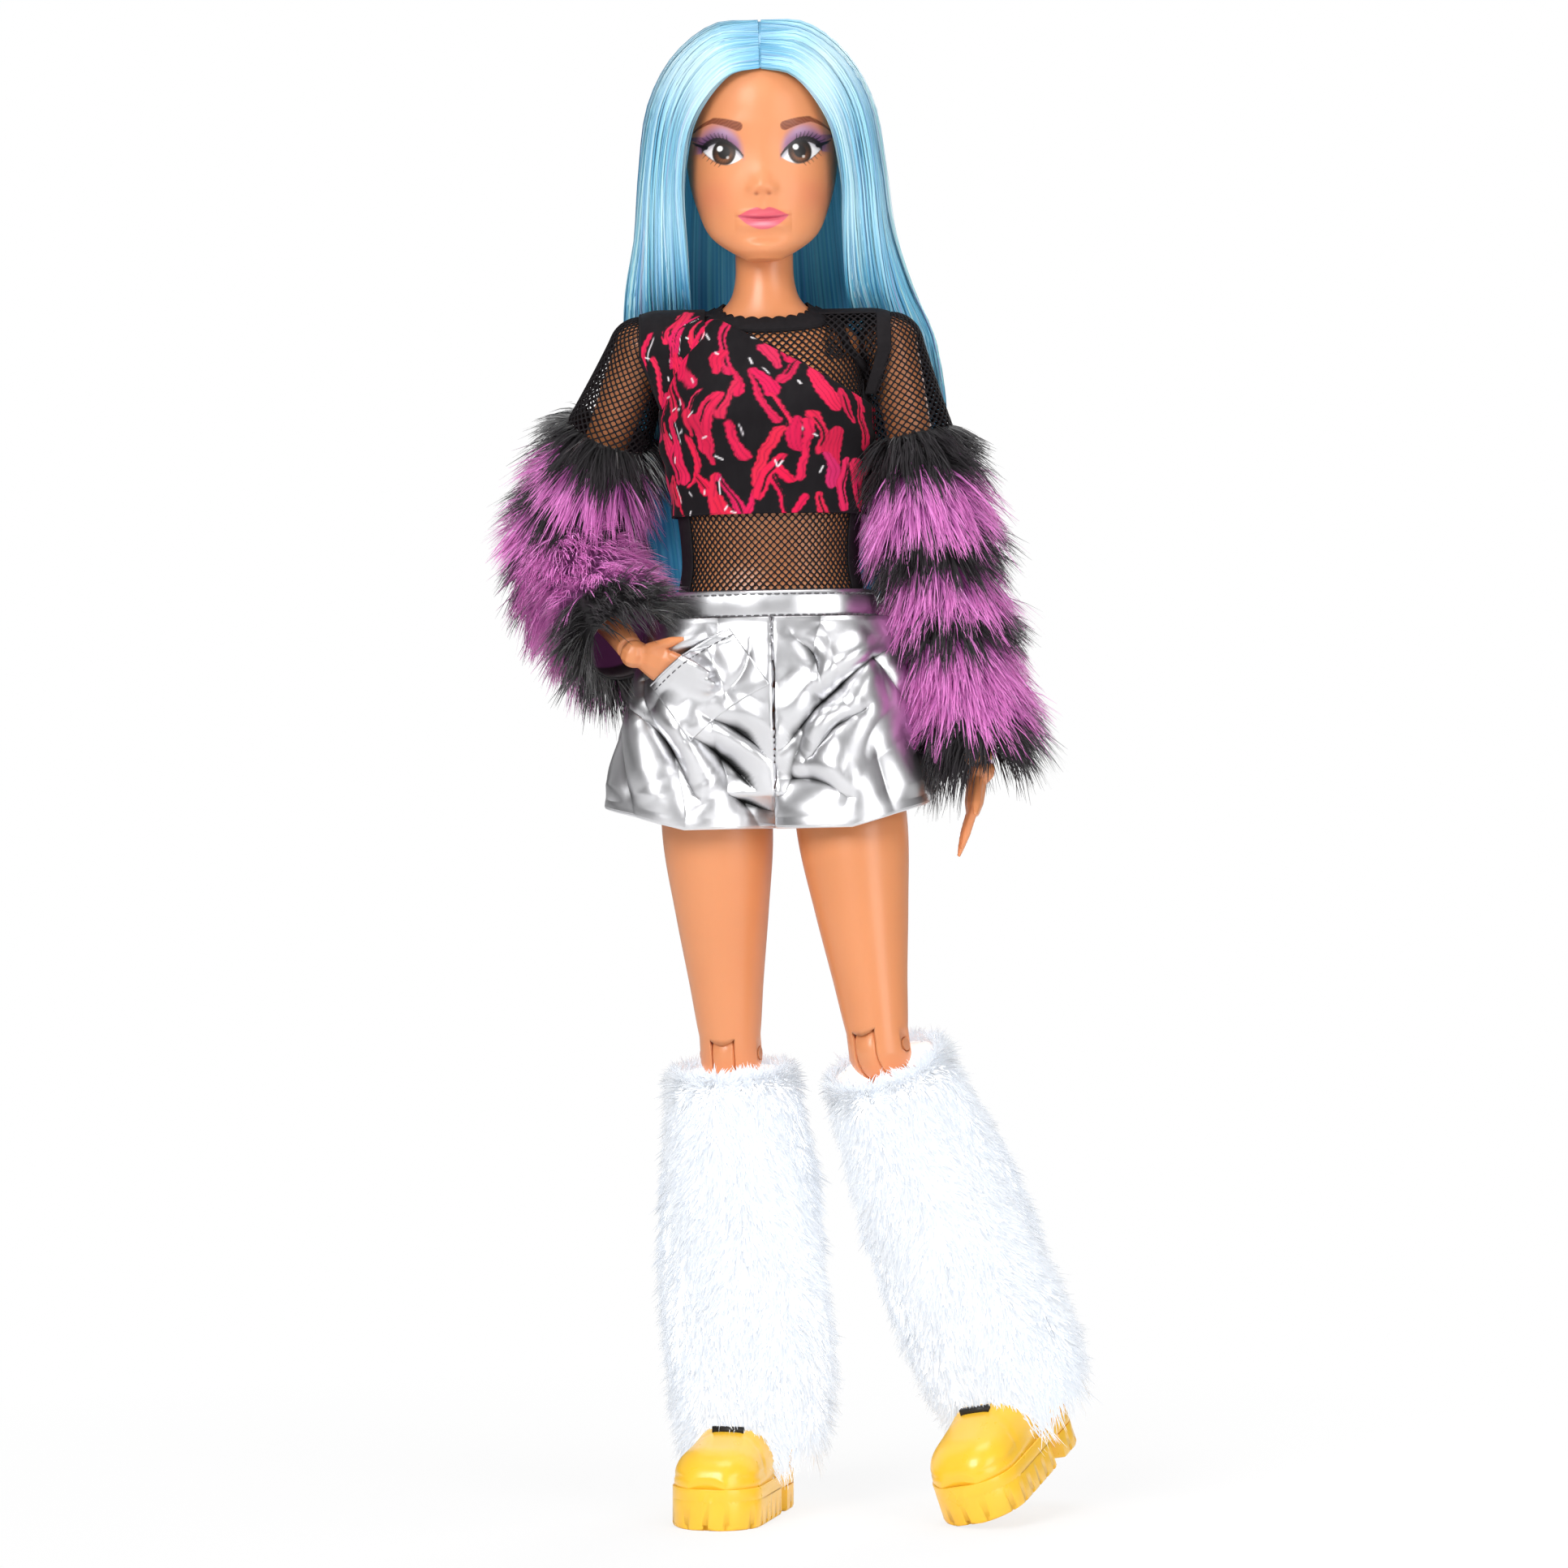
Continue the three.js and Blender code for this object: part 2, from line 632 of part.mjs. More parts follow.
// Head, measured from the pivot of the neck
const headSizes = { length: headHeight, width: headWidth, front: headFront, back: headBack };
const faceRelief = (angle, along) => {
  const across = fromFront(angle);
  const swell = (size, offset, [height, spread, run]) => (
    size * bump(offset, spread) * bump(along - height, run)
  );
  return swell(noseSwell, across, noseShares) + swell(bridgeSwell, across, bridgeShares)
    + swell(lipSwell, across, lipShares) - swell(socketDepth, Math.abs(across) - eyeSideShare, socketShares);
};
const headLoft = (options) => placed(
  loft(headShares, headSizes, { segments: 22, steps: 15, relief: faceRelief, ...options }),
  shift(0, 0, -headDrop),
);

function addHead(figure) {
  const head = group(figure, shift(0, 0, neckPivotHeight));
  head.name = "at_neck";
  const hollow = ball(skullHollowDepth).rotateX(Math.PI / 2)
    .scale(skullHollowWidth / skullHollowDepth, 1, skullHollowHeight / skullHollowDepth);
  piece(head, "head_shell", largest(cut(
    headLoft(),
    barZ(neckHoleRadius, 2 * skullHollowRise),
    placed(hollow, shift(0, 0, skullHollowRise)),
  )), shades.skin);

  piece(head, "hair_cap", largest(cut(
    hairMass(0),
    headLoft({ grow: clearance }),
    spaceBelow(-hairCapDrop),
    barZ(napeRadius, 2 * skullHollowRise),
  )), shades.hair);

  const toHead = shift(0, 0, -neckPivotHeight);
  piece(head, "hair_curtain", largest(cut(
    hairCurtain(0),
    spaceAbove(-hairCapDrop - clearance),
    placed(torsoLoft({ grow: bodyGrow }), toHead),
    ...sides.map(([side]) => placed(ball(shoulderRadius + clothGap), shift(...shoulderAt(side)), toHead)),
  )), shades.hair);
}

// A point of the hair's surface, by share from front to back and from the parting to the tips
function hairAt(side, word, across, along) {
  const curve = (points) => new THREE.CatmullRomCurve3(points, false, "catmullrom", 0.5);
  const knots = hairGuideShares.map((guide) => curve(guide.map(([x, y, z], k) => (
    new THREE.Vector3(side * x * hairSpreadShares[word][k], y, z).multiplyScalar(hairUnit)
  ))).getPoint(along));
  return curve(knots).getPoint(across);
}

// One row of the hair from the front edge of her left side round the back to that of her right
function hairRow(along, columns) {
  const points = [];
  for (let i = 0; i <= 2 * columns; i += 1) {
    const [side, word] = i <= columns ? [1, "left"] : [-1, "right"];
    points.push(hairAt(side, word, 1 - Math.abs(i - columns) / columns, along));
  }
  return points.map((point, i) => {
    const waveHere = Math.cos((Math.PI * hairWaveCount * i) / columns);
    const wave = hairWaveDepth * waveHere * Math.min(1, along / hairlineRunShare);
    const [before, after] = [points[Math.max(i - 1, 0)], points[Math.min(i + 1, 2 * columns)]];
    const out = new THREE.Vector3(after.y - before.y, before.x - after.x, 0).normalize();
    const [side, word] = i <= columns ? [1, "left"] : [-1, "right"];
    const across = 1 - Math.abs(i - columns) / columns;
    const [above, below] = [-1, 1].map((way) => (
      hairAt(side, word, across, THREE.MathUtils.clamp(along + way * hairNormalShare, 0, 1))
    ));
    const up = above.sub(below).cross(before.clone().sub(after)).normalize();
    if (up.dot(out) < 0) up.negate();
    return { point: point.clone().addScaledVector(up, wave), out };
  });
}

// The hair of the head as one mass, with a notch in front where the face lies
function hairMass(grow) {
  const rings = [];
  for (let k = 0; k <= hairRowCount; k += 1) {
    const along = k / hairRowCount;
    const row = hairRow(along, hairColumnCount);
    const ring = row.map(({ point, out }) => point.clone().addScaledVector(out, grow));
    const front = ring[0].clone().add(ring[ring.length - 1]).divideScalar(2);
    front.y += hairlineDepth * Math.min(1, along / hairlineRunShare);
    rings.push([...ring, front]);
  }
  return skinRings(rings, false);
}

// The hanging hair as a sheet, seen from the head
function hairCurtain(grow) {
  const rings = [];
  for (let k = 0; k <= hairRowCount; k += 1) {
    const along = curtainStartShare + ((1 - curtainStartShare) * k) / hairRowCount;
    const row = hairRow(along, hairColumnCount);
    const outer = row.map(({ point, out }) => point.clone().addScaledVector(out, grow));
    const inner = row.map(({ point, out }) => point.clone().addScaledVector(out, -grow - curtainThickness));
    rings.push([...outer, ...inner.reverse()]);
  }
  return skinRings(rings, false);
}

// A fork's slot and the bore for its pin, at the low end of a limb of this length
function hingeCuts(length, radius, tongue, pin) {
  const slot = new THREE.BoxGeometry(tongue + 2 * clearance, 4 * radius, 2 * (radius + 2 * clearance));
  return [
    placed(slot, shift(0, 0, -length)),
    placed(barX(pin + clearance, 4 * radius), shift(0, 0, -length)),
  ];
}

// The tongue of the next limb, with its pin bore, from its hinge down to its body
function tongueOf(radius, tongue, start) {
  const disc = barX(radius - clearance, tongue);
  const web = new THREE.BoxGeometry(tongue, radius, 2 * start);
  return join(disc, placed(web, shift(0, 0, -start)));
}

// A ball joint's slot, as wide as its axle and as high as the limb swings past it
function axleSlot(radius, ballRadius, side, rise, turn) {
  const width = 2 * (radius + clearance);
  const height = width + 2 * ballRadius * Math.sin(THREE.MathUtils.degToRad(slotAngle));
  return placed(
    new THREE.BoxGeometry(2 * ballRadius, width, height),
    shift(-side * ballRadius, 0, 0),
    turnY(side * rise),
    turnZ(-turn),
  );
}

function addHand(parent, side, word, bend) {
  const fingerGap = palmWidth / 4;
  const palmSizes = { length: palmLength, width: palmThickness, front: palmWidth / 2, back: palmWidth / 2 };
  const parts = [loft(palmShares, palmSizes, { segments: 10, steps: 4 }).applyMatrix4(turnX(180))];
  fingerLengthShares.forEach((share, i) => {
    const place = i - (fingerLengthShares.length - 1) / 2;
    parts.push(placed(
      loft(fingerShares, roundSizes(share * fingerLength, fingerWidth), { segments: 6, steps: 3 }),
      turnX(180),
      turnY(side * fingerCurl),
      turnX(-fingerFan * place),
      shift(0, fingerGap * place, fingerWidth - palmLength),
    ));
  });
  parts.push(placed(
    loft(fingerShares, roundSizes(thumbLength, thumbWidth), { segments: 6, steps: 3 }),
    turnX(180 - thumbSpread),
    shift(0, -palmWidth / 4, -palmLength / 3),
  ));
  const knuckle = placed(ball(wristRadius, 10), shift(0, 0, -wristRadius / 2));
  const bent = placed(join(...parts), turnY(side * bend));
  const pegBore = barZ(wristPegRadius + clearance, wristPegReach + clearance);
  const face = new THREE.BoxGeometry(4 * wristRadius, 4 * wristRadius, 2 * wristRadius);
  const faceCut = placed(face, shift(0, 0, wristRadius - clearance));
  piece(parent, `hand_${word}`, largest(cut(join(bent, knuckle), pegBore, faceCut)), shades.skin);
  piece(parent, `wrist_peg_${word}`, barZ(wristPegRadius, wristPegReach), shades.pin);
}

// The space that a hand fills, with a little ease
const handRoom = (side, pose) => placed(
  new THREE.BoxGeometry(
    palmThickness + 2 * handEase,
    palmWidth + 2 * handEase,
    palmLength + fingerLength + 2 * handEase,
  ),
  shift(0, 0, -(palmLength + fingerLength) / 2),
  turnY(side * pose.handBend),
);

// The fur end of a sleeve, bent at the elbow, in the frame of the forearm
function furSleeve(pose, rooms) {
  const upperRun = upperArmLength - furStart;
  const lowerRun = forearmLength - furTuck;
  const bands = (angle, along) => furBandSwell * Math.cos(2 * Math.PI * furBandCount * along);
  const tube = (run, width, lift, segments, relief) => placed(
    loft(furShares, roundSizes(run, width), { segments, steps: 4, relief }),
    turnX(180),
    shift(0, 0, lift),
  );
  const bendBack = turnX(pose.elbow);
  const upper = placed(tube(upperRun, furWidth, upperRun, 10, bands), bendBack);
  const lower = tube(lowerRun, furWidth, 0, 10, bands);
  const joint = ball(furWidth / 2, 10);
  const upperHollow = placed(tube(upperRun + overrun, furLining, upperRun + overrun, 8), bendBack);
  const lowerHollow = tube(lowerRun + overrun, furLining, 0, 8);
  return largest(cut(join(upper, lower, joint), upperHollow, lowerHollow, ball(furLining / 2, 8), ...rooms));
}

function addArm(figure, side, word, pose) {
  const swing = group(figure, shift(...shoulderAt(side)), turnX(pose.armSwing));
  swing.name = `at_shoulder_${word}`;
  const inner = shoulderAxleLength / 2;
  piece(swing, `shoulder_hub_${word}`, join(
    ball(shoulderBallRadius),
    placed(barX(shoulderAxleRadius, shoulderAxleLength), shift(-side * inner, 0, 0)),
  ), shades.pin);

  const arm = group(swing, turnY(-side * pose.armRaise), turnZ(pose.armTurn));
  arm.name = `at_arm_${word}`;
  piece(arm, `upper_arm_${word}`, largest(cut(
    limb(upperArmShares, roundSizes(upperArmLength, armWidth), shoulderRadius, elbowRadius, 12, 4),
    ball(shoulderBallRadius + ballEase),
    axleSlot(shoulderAxleRadius, shoulderRadius, side, pose.armRaise, pose.armTurn),
    ...hingeCuts(upperArmLength, elbowRadius, elbowTongue, elbowPinRadius),
  )), shades.skin);

  const fore = group(arm, shift(0, 0, -upperArmLength), turnX(-pose.elbow));
  fore.name = `at_elbow_${word}`;
  const run = forearmLength - elbowStart - clearance;
  const shape = loft(forearmShares, roundSizes(run, armWidth), { segments: 12, steps: 4 });
  piece(fore, `forearm_${word}`, largest(cut(
    join(
      tongueOf(elbowRadius, elbowTongue, elbowStart),
      placed(shape, turnX(180), shift(0, 0, -elbowStart)),
    ),
    barX(elbowPinRadius + clearance, 4 * elbowRadius),
    placed(barZ(wristPegRadius + clearance, 2 * wristPegReach), shift(0, 0, -forearmLength)),
  )), shades.skin);
  piece(fore, `elbow_pin_${word}`, barX(elbowPinRadius, 2 * elbowRadius - clearance), shades.pin);

  const hand = group(fore, shift(0, 0, -forearmLength), turnZ(pose.wrist));
  hand.name = `at_wrist_${word}`;
  addHand(hand, side, word, pose.handBend);
  return { arm, fore, hand };
}

// The sleeve round an arm, clear of the trunk's clothes, the hair and the hand
function addSleeve(figure, { arm, fore, hand }, side, word, pose, rooms) {
  const inArm = frameIn(arm, figure).invert();
  const inFore = frameIn(fore, figure).invert();
  const sleeveSizes = roundSizes(furStart - clothGap, sleeveWidth);
  const armhole = placed(
    new THREE.BoxGeometry(shoulderSpan, shoulderSpan, shoulderSpan),
    shift(-side * (shoulderSpan / 2 + shoulderRadius / 2), 0, 0),
    turnY(side * pose.armRaise),
    turnZ(-pose.armTurn),
  );
  piece(arm, `net_sleeve_${word}`, largest(cut(
    placed(sleeve(sleeveShares, sleeveSizes, sleeveWall, 14, 4), turnX(180)),
    armhole,
    ...rooms.map((room) => placed(room, inArm)),
  )), shades.net);
  piece(fore, `fur_sleeve_${word}`, furSleeve(
    pose,
    [...rooms.map((room) => placed(room, inFore)), placed(handRoom(side, pose), frameIn(hand, fore))],
  ), shades.purpleFur);
}

// The foot, from its heel forward, at the ankle's frame
const soleTop = soleThickness - ankleHeight;
const footLine = soleTop + clearance + footSide;
const footSizes = { length: footLength, width: footWidth, front: footSide, back: instepHeight };
const footLoft = (grow = 0) => placed(
  loft(footShares, { ...footSizes, length: footLength + 2 * grow }, { grow, segments: 12, steps: 6 }),
  turnX(90),
  shift(0, heelReach + grow, footLine),
);

function addShoe(foot, word) {
  const collarStart = soleTop + upperWall;
  const collar = placed(barZ(collarRadius, 2 * instepHeight), shift(0, 0, instepHeight + collarStart));
  const under = new THREE.BoxGeometry(4 * soleWidth, 4 * soleLength, soleThickness);
  const floorCut = placed(under, shift(0, 0, soleTop + clearance - soleThickness / 2));
  piece(foot, `shoe_upper_${word}`, largest(cut(
    footLoft(upperWall),
    footLoft(clearance),
    collar,
    floorCut,
  )), shades.yellow);

  const heelEnd = soleHeelReach;
  const toeEnd = soleHeelReach - soleLength;
  const outline = new THREE.Shape();
  const half = soleWidth / 2;
  const heelHalf = half * heelWidthShare;
  outline.moveTo(heelHalf, heelEnd - heelHalf);
  outline.absarc(0, heelEnd - heelHalf, heelHalf, 0, Math.PI, false);
  outline.lineTo(-half, toeEnd + half);
  outline.absarc(0, toeEnd + half, half, Math.PI, 2 * Math.PI, false);
  outline.closePath();
  const slab = (bottom, height) => placed(
    new THREE.ExtrudeGeometry(outline, { depth: height, bevelEnabled: false, curveSegments: 7 }),
    shift(0, 0, bottom),
  );
  const keepFront = placed(
    new THREE.BoxGeometry(2 * soleWidth, soleLength, 2 * soleThickness),
    shift(0, toeEnd + platformLength + soleLength / 2, soleTop - soleThickness),
  );
  const keepBack = placed(
    new THREE.BoxGeometry(2 * soleWidth, soleLength, 2 * soleThickness),
    shift(0, heelEnd - heelBlockLength - soleLength / 2, soleTop - soleThickness),
  );
  const platformHeight = soleThickness - solePlate;
  const platform = cut(slab(-ankleHeight, platformHeight), keepFront);
  const treads = [];
  for (let i = 0; i < treadCount; i += 1) {
    const place = toeEnd + (platformLength * (i + treadStartShare)) / treadCount;
    for (const side of [-1, 1]) {
      treads.push(placed(
        new THREE.BoxGeometry(treadDepth * 2, treadWidth, platformHeight),
        shift(side * half, place, -ankleHeight),
      ));
    }
  }
  piece(foot, `shoe_sole_${word}`, largest(cut(
    join(slab(soleTop - solePlate, solePlate), platform),
    ...treads,
  )), shades.yellow);
  piece(foot, `heel_block_${word}`, cut(
    slab(-ankleHeight, platformHeight - clearance),
    keepBack,
  ), shades.yellow);
}

const thighSizesWith = (grow) => roundSizes(thighLength, thighWidth + 2 * grow);

function addLeg(figure, side, word, pose) {
  const swing = group(figure, shift(...hipAt(side)), turnX(pose.hipSwing));
  swing.name = `at_hip_${word}`;
  const axleLength = hipSpan / 2 - hipAxleGap / 2;
  piece(swing, `hip_hub_${word}`, join(
    ball(hipBallRadius),
    placed(barX(hipAxleRadius, axleLength), shift(-side * (axleLength / 2), 0, 0)),
  ), shades.pin);

  const thigh = group(swing, turnY(-side * pose.hipSplay), turnZ(pose.hipTurn));
  thigh.name = `at_thigh_${word}`;
  piece(thigh, `thigh_${word}`, largest(cut(
    limb(thighShares, thighSizesWith(0), thighRadius, kneeRadius, 14, 5),
    ball(hipBallRadius + ballEase),
    axleSlot(hipAxleRadius, thighRadius, side, pose.hipSplay, pose.hipTurn),
    ...hingeCuts(thighLength, kneeRadius, kneeTongue, kneePinRadius),
  )), shades.skin);

  const shin = group(thigh, shift(0, 0, -thighLength), turnX(pose.knee));
  shin.name = `at_knee_${word}`;
  const foot = group(shin, shift(0, 0, -shinLength), turnX(pose.ankle));
  foot.name = `at_ankle_${word}`;
  return { thigh, shin, foot };
}

// The leg below the knee; the foot's frame may have been levelled first
function addLowerLeg({ shin, foot }, word) {
  foot.updateMatrix();
  const start = kneeRadius + clearance;
  const shape = loft(shinShares, roundSizes(shinLength, shinWidth), { segments: 14, steps: 6 });
  piece(shin, `shin_${word}`, largest(cut(
    join(
      tongueOf(kneeRadius, kneeTongue, start),
      placed(shape, turnX(180)),
      placed(footLoft(), foot.matrix),
    ),
    barX(kneePinRadius + clearance, 4 * kneeRadius),
  )), shades.skin);
  piece(shin, `knee_pin_${word}`, barX(kneePinRadius, 2 * kneeRadius - clearance), shades.pin);
  addShoe(foot, word);

  const puffs = (angle, along) => (
    warmerPuff * Math.cos(warmerPuffCount * angle + warmerTwistShare * along) * Math.sin(Math.PI * along)
  );
  const outer = placed(
    loft(warmerShares, roundSizes(warmerLength, warmerWidth), { segments: 18, steps: 6, relief: puffs }),
    turnX(180),
    shift(0, 0, -warmerTop),
  );
  const warmerMiddle = -warmerTop - warmerLength / 2;
  const lining = placed(barZ(warmerLining / 2, warmerLength + 2 * overrun), shift(0, 0, warmerMiddle));
  const shoeRoom = placed(footLoft(upperWall + clothGap), foot.matrix);
  const soleRoom = placed(
    new THREE.BoxGeometry(2 * soleWidth, 2 * soleLength, ankleHeight),
    shift(0, 0, soleTop + clothGap - ankleHeight / 2),
    foot.matrix,
  );
  piece(shin, `leg_warmer_${word}`, largest(cut(outer, lining, shoeRoom, soleRoom)), shades.whiteFur);
}

function addTop(figure) {
  const armholes = [
    ...sides.map(([side]) => placed(ball(armholeRadius), shift(...shoulderAt(side)))),
    placed(barX(shoulderAxleRadius + clearance, shoulderSpan), shift(0, 0, shoulderHeight)),
  ];
  const net = torsoGarment(netHem, netNeckline, clothGap, netThickness, ...armholes);
  piece(figure, "net_top", net, shades.net);

  const panelGap = 2 * clothGap + netThickness;
  const slope = THREE.MathUtils.radToDeg(Math.atan2(
    panelStrapHeight - panelArmpitHeight,
    panelArmpitSide - panelStrapSide,
  ));
  const above = placed(
    spaceAbove(0),
    turnY(slope),
    shift((panelStrapSide + panelArmpitSide) / 2, 0, (panelStrapHeight + panelArmpitHeight) / 2),
  );
  const panel = torsoGarment(panelHem, netNeckline, panelGap, panelThickness, ...armholes, above);
  piece(figure, "crop_panel", panel, shades.print);
}

// The outer shape of the shorts, or with grow below zero their inside
function shortsShape(grow) {
  const trunkSizes = {
    length: shortsTop - crotchHeight, width: shortsTrunkWidth, front: shortsFront, back: shortsBack,
  };
  const legSizes = { length: shortsLength, width: shortsWidth, front: shortsFront, back: shortsBack };
  const folds = (angle, along) => {
    const folded = shortsFoldDepth * Math.cos(shortsFoldCount * angle + shortsFoldTwistShare * along);
    const creased = shortsCreaseDepth * Math.cos(shortsCreaseCount * angle - shortsCreaseTwistShare * along);
    return (folded + creased) * Math.min(1, 2 * Math.abs(along));
  };
  const legs = sides.map(([side, word]) => placed(
    loft(shortsLegShares, legSizes, {
      grow,
      segments: 20,
      steps: 4,
      relief: (angle, along) => folds(side > 0 ? angle : Math.PI - angle, along),
    }),
    turnX(180 + shortsFollowShare * stance[word].hipSwing),
    turnY(-side * shortsFlare[word]),
    shift(side * (hipSpan / 2 + clearance), 0, shortsTop),
  ));
  const trunk = placed(
    loft(shortsTrunkShares, trunkSizes, { grow, segments: 18, steps: 3 }),
    shift(0, 0, crotchHeight),
  );
  if (grow >= 0) {
    return join(trunk, ...legs);
  }
  const openEnds = legs.map((leg) => placed(leg, shift(0, 0, -overrun)));
  return join(trunk, ...legs, placed(trunk, shift(0, 0, overrun)), ...openEnds);
}

function addShorts(figure, rooms, pocket) {
  const band = largest(cut(
    waistShape(bandGap + bandWall),
    waistShape(bandGap, overrun),
    torsoLoft({ grow: bandGap }),
    pelvisLoft(clothGap),
  ));
  piece(figure, "shorts_waistband", band, shades.silver);
  const hollow = cut(shortsShape(0), shortsShape(-shortsWall), spaceAbove(shortsTop), ...rooms);
  for (const [side, word] of sides) {
    const otherHalf = placed(
      new THREE.BoxGeometry(slabSize, slabSize, slabSize),
      shift(-side * (slabSize / 2 - clearance / 2), 0, 0),
    );
    const tools = side < 0 ? [otherHalf, pocket] : [otherHalf];
    piece(figure, `shorts_leg_${word}`, largest(cut(hollow, ...tools)), shades.silver);
  }
}

// The figure leans on her right leg; both feet set the floor
const doll = new THREE.Group();
const figure = group(doll, turnY(lean));
figure.name = "at_pelvis";
addTrunk(figure);
addHead(figure);
const arms = {};
const legs = {};
for (const [side, word] of sides) {
  arms[word] = addArm(figure, side, word, stance[word]);
  legs[word] = addLeg(figure, side, word, stance[word]);
}

// The right shoe stands flat, turned with its leg
doll.updateMatrixWorld(true);
const shinTurn = new THREE.Quaternion();
legs.right.shin.getWorldQuaternion(shinTurn);
const level = new THREE.Quaternion().setFromAxisAngle(
  new THREE.Vector3(0, 0, 1),
  THREE.MathUtils.degToRad(stance.right.hipTurn),
);
legs.right.foot.quaternion.copy(shinTurn.invert().multiply(level));
for (const [, word] of sides) {
  addLowerLeg(legs[word], word);
}

const thighRooms = sides.map(([, word]) => placed(
  limb(thighShares, thighSizesWith(clothGap), thighRadius + clothGap, kneeRadius + clothGap, 14, 5),
  frameIn(legs[word].thigh, figure),
));
addTop(figure);
addShorts(figure, thighRooms, placed(handRoom(-1, stance.right), frameIn(arms.right.hand, figure)));
const bodyRooms = [
  largest(cut(torsoLoft({ grow: bodyGrow }), spaceBelow(bandTop), spaceAbove(shoulderHeight))),
  largest(cut(
    torsoLoft({ grow: bodyGrow + bandEase + bandWall }),
    spaceAbove(bandTop + clothGap),
  )),
  pelvisLoft(bodyGrow),
  waistShape(bandGap + bandWall + clothGap),
  shortsShape(clothGap),
  placed(hairCurtain(clothGap), shift(0, 0, neckPivotHeight)),
];
for (const [side, word] of sides) {
  addSleeve(figure, arms[word], side, word, stance[word], bodyRooms);
}

// The origin lies on the floor, under the middle of the doll
doll.updateMatrixWorld(true);
const box = new THREE.Box3().setFromObject(doll, true);
doll.position.set(-(box.min.x + box.max.x) / 2, -(box.min.y + box.max.y) / 2, -box.min.z);

export default doll;
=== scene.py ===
"""Looks of a jointed fashion doll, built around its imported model."""

import json
import math

import bpy
import numpy as np
from mathutils import Matrix, Vector, noise
from mathutils.bvhtree import BVHTree


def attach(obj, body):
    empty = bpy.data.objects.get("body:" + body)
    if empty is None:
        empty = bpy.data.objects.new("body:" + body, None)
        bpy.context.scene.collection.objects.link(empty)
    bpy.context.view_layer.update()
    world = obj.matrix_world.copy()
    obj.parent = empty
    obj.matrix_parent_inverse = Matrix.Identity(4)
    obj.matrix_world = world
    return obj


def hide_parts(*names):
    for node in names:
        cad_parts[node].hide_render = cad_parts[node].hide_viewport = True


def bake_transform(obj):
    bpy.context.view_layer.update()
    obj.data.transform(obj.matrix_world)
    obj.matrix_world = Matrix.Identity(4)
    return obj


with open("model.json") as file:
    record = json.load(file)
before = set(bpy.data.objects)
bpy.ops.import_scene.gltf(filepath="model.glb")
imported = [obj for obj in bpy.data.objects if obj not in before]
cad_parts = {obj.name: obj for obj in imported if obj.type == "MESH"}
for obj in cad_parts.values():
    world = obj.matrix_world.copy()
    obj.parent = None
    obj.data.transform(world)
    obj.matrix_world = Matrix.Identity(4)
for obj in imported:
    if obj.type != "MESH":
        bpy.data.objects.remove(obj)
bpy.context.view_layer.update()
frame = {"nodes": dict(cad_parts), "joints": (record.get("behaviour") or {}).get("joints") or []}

bl_info = {
    "name": "Fashion doll looks",
    "version": (1, 0, 0),
    "blender": (4, 5, 0),
    "location": "View3D > Sidebar > Doll",
    "description": "Dresses the packed doll in plastic, hair, net, foil cloth and fur",
    "category": "Object",
}

MM = 0.001
SIDES = ((-1, "right"), (1, "left"))

# Angles of the stance that the frame's joints don't hold, in degrees
WRIST_TURN = {"right": -8, "left": 0}
KNEE_BEND = {"right": 0, "left": 28.3}
ANKLE_BEND = {"left": -6.3}
RIGHT_FOOT_TURN = -16.2
HAND_BEND = {"right": 34, "left": 20}

# Lengths in millimetres that the source of the solids shares
NECK_HEIGHT = 87
TORSO_BASE = 20
SHOULDER = (24.8, 0, 70.5)
SHIN_LENGTH = 64
UPPER_ARM = 47
FOREARM = 38
THIGH = 70

# Sections as shares: along, width, front, back, sideways
TORSO_ROWS = (
    (0, 0.84, 0.79, 0.88), (0.11, 0.78, 0.71, 0.79), (0.29, 0.83, 0.8, 0.83),
    (0.44, 0.92, 0.95, 0.92), (0.53, 0.92, 1, 0.96), (0.62, 0.89, 0.92, 1),
    (0.7, 0.88, 0.72, 0.97), (0.76, 0.82, 0.57, 0.8), (0.8, 0.6, 0.48, 0.65),
    (0.84, 0.37, 0.43, 0.58), (0.9, 0.28, 0.38, 0.53), (1, 0.265, 0.37, 0.52),
)
PELVIS_ROWS = (
    (0, 0.2, 0.35, 0.4), (0.15, 0.45, 0.62, 0.68), (0.4, 0.9, 0.85, 0.96),
    (0.6, 0.98, 0.95, 1), (0.8, 0.94, 0.93, 0.95), (1, 0.86, 0.88, 0.84),
)
HEAD_ROWS = (
    (0, 0.24, 0.78, -0.34), (0.04, 0.4, 0.87, -0.16), (0.1, 0.58, 0.9, 0.12),
    (0.2, 0.79, 0.91, 0.55), (0.32, 0.93, 0.93, 0.84), (0.46, 1, 0.94, 0.97),
    (0.6, 1, 0.97, 1), (0.75, 0.93, 0.94, 0.98), (0.88, 0.72, 0.74, 0.84),
    (0.96, 0.42, 0.42, 0.52), (1, 0.12, 0.12, 0.14),
)
UPPER_ARM_ROWS = (
    (0, 1.08, 1.08, 1.08), (0.15, 1.04, 1.1, 1.08), (0.4, 0.92, 0.95, 0.95),
    (0.7, 0.82, 0.84, 0.84), (0.9, 0.8, 0.8, 0.8), (1, 0.72, 0.72, 0.72),
)
FOREARM_ROWS = (
    (0, 0.78, 0.78, 0.78), (0.2, 0.86, 0.88, 0.88), (0.5, 0.76, 0.78, 0.78),
    (0.85, 0.6, 0.56, 0.56), (1, 0.56, 0.5, 0.5),
)
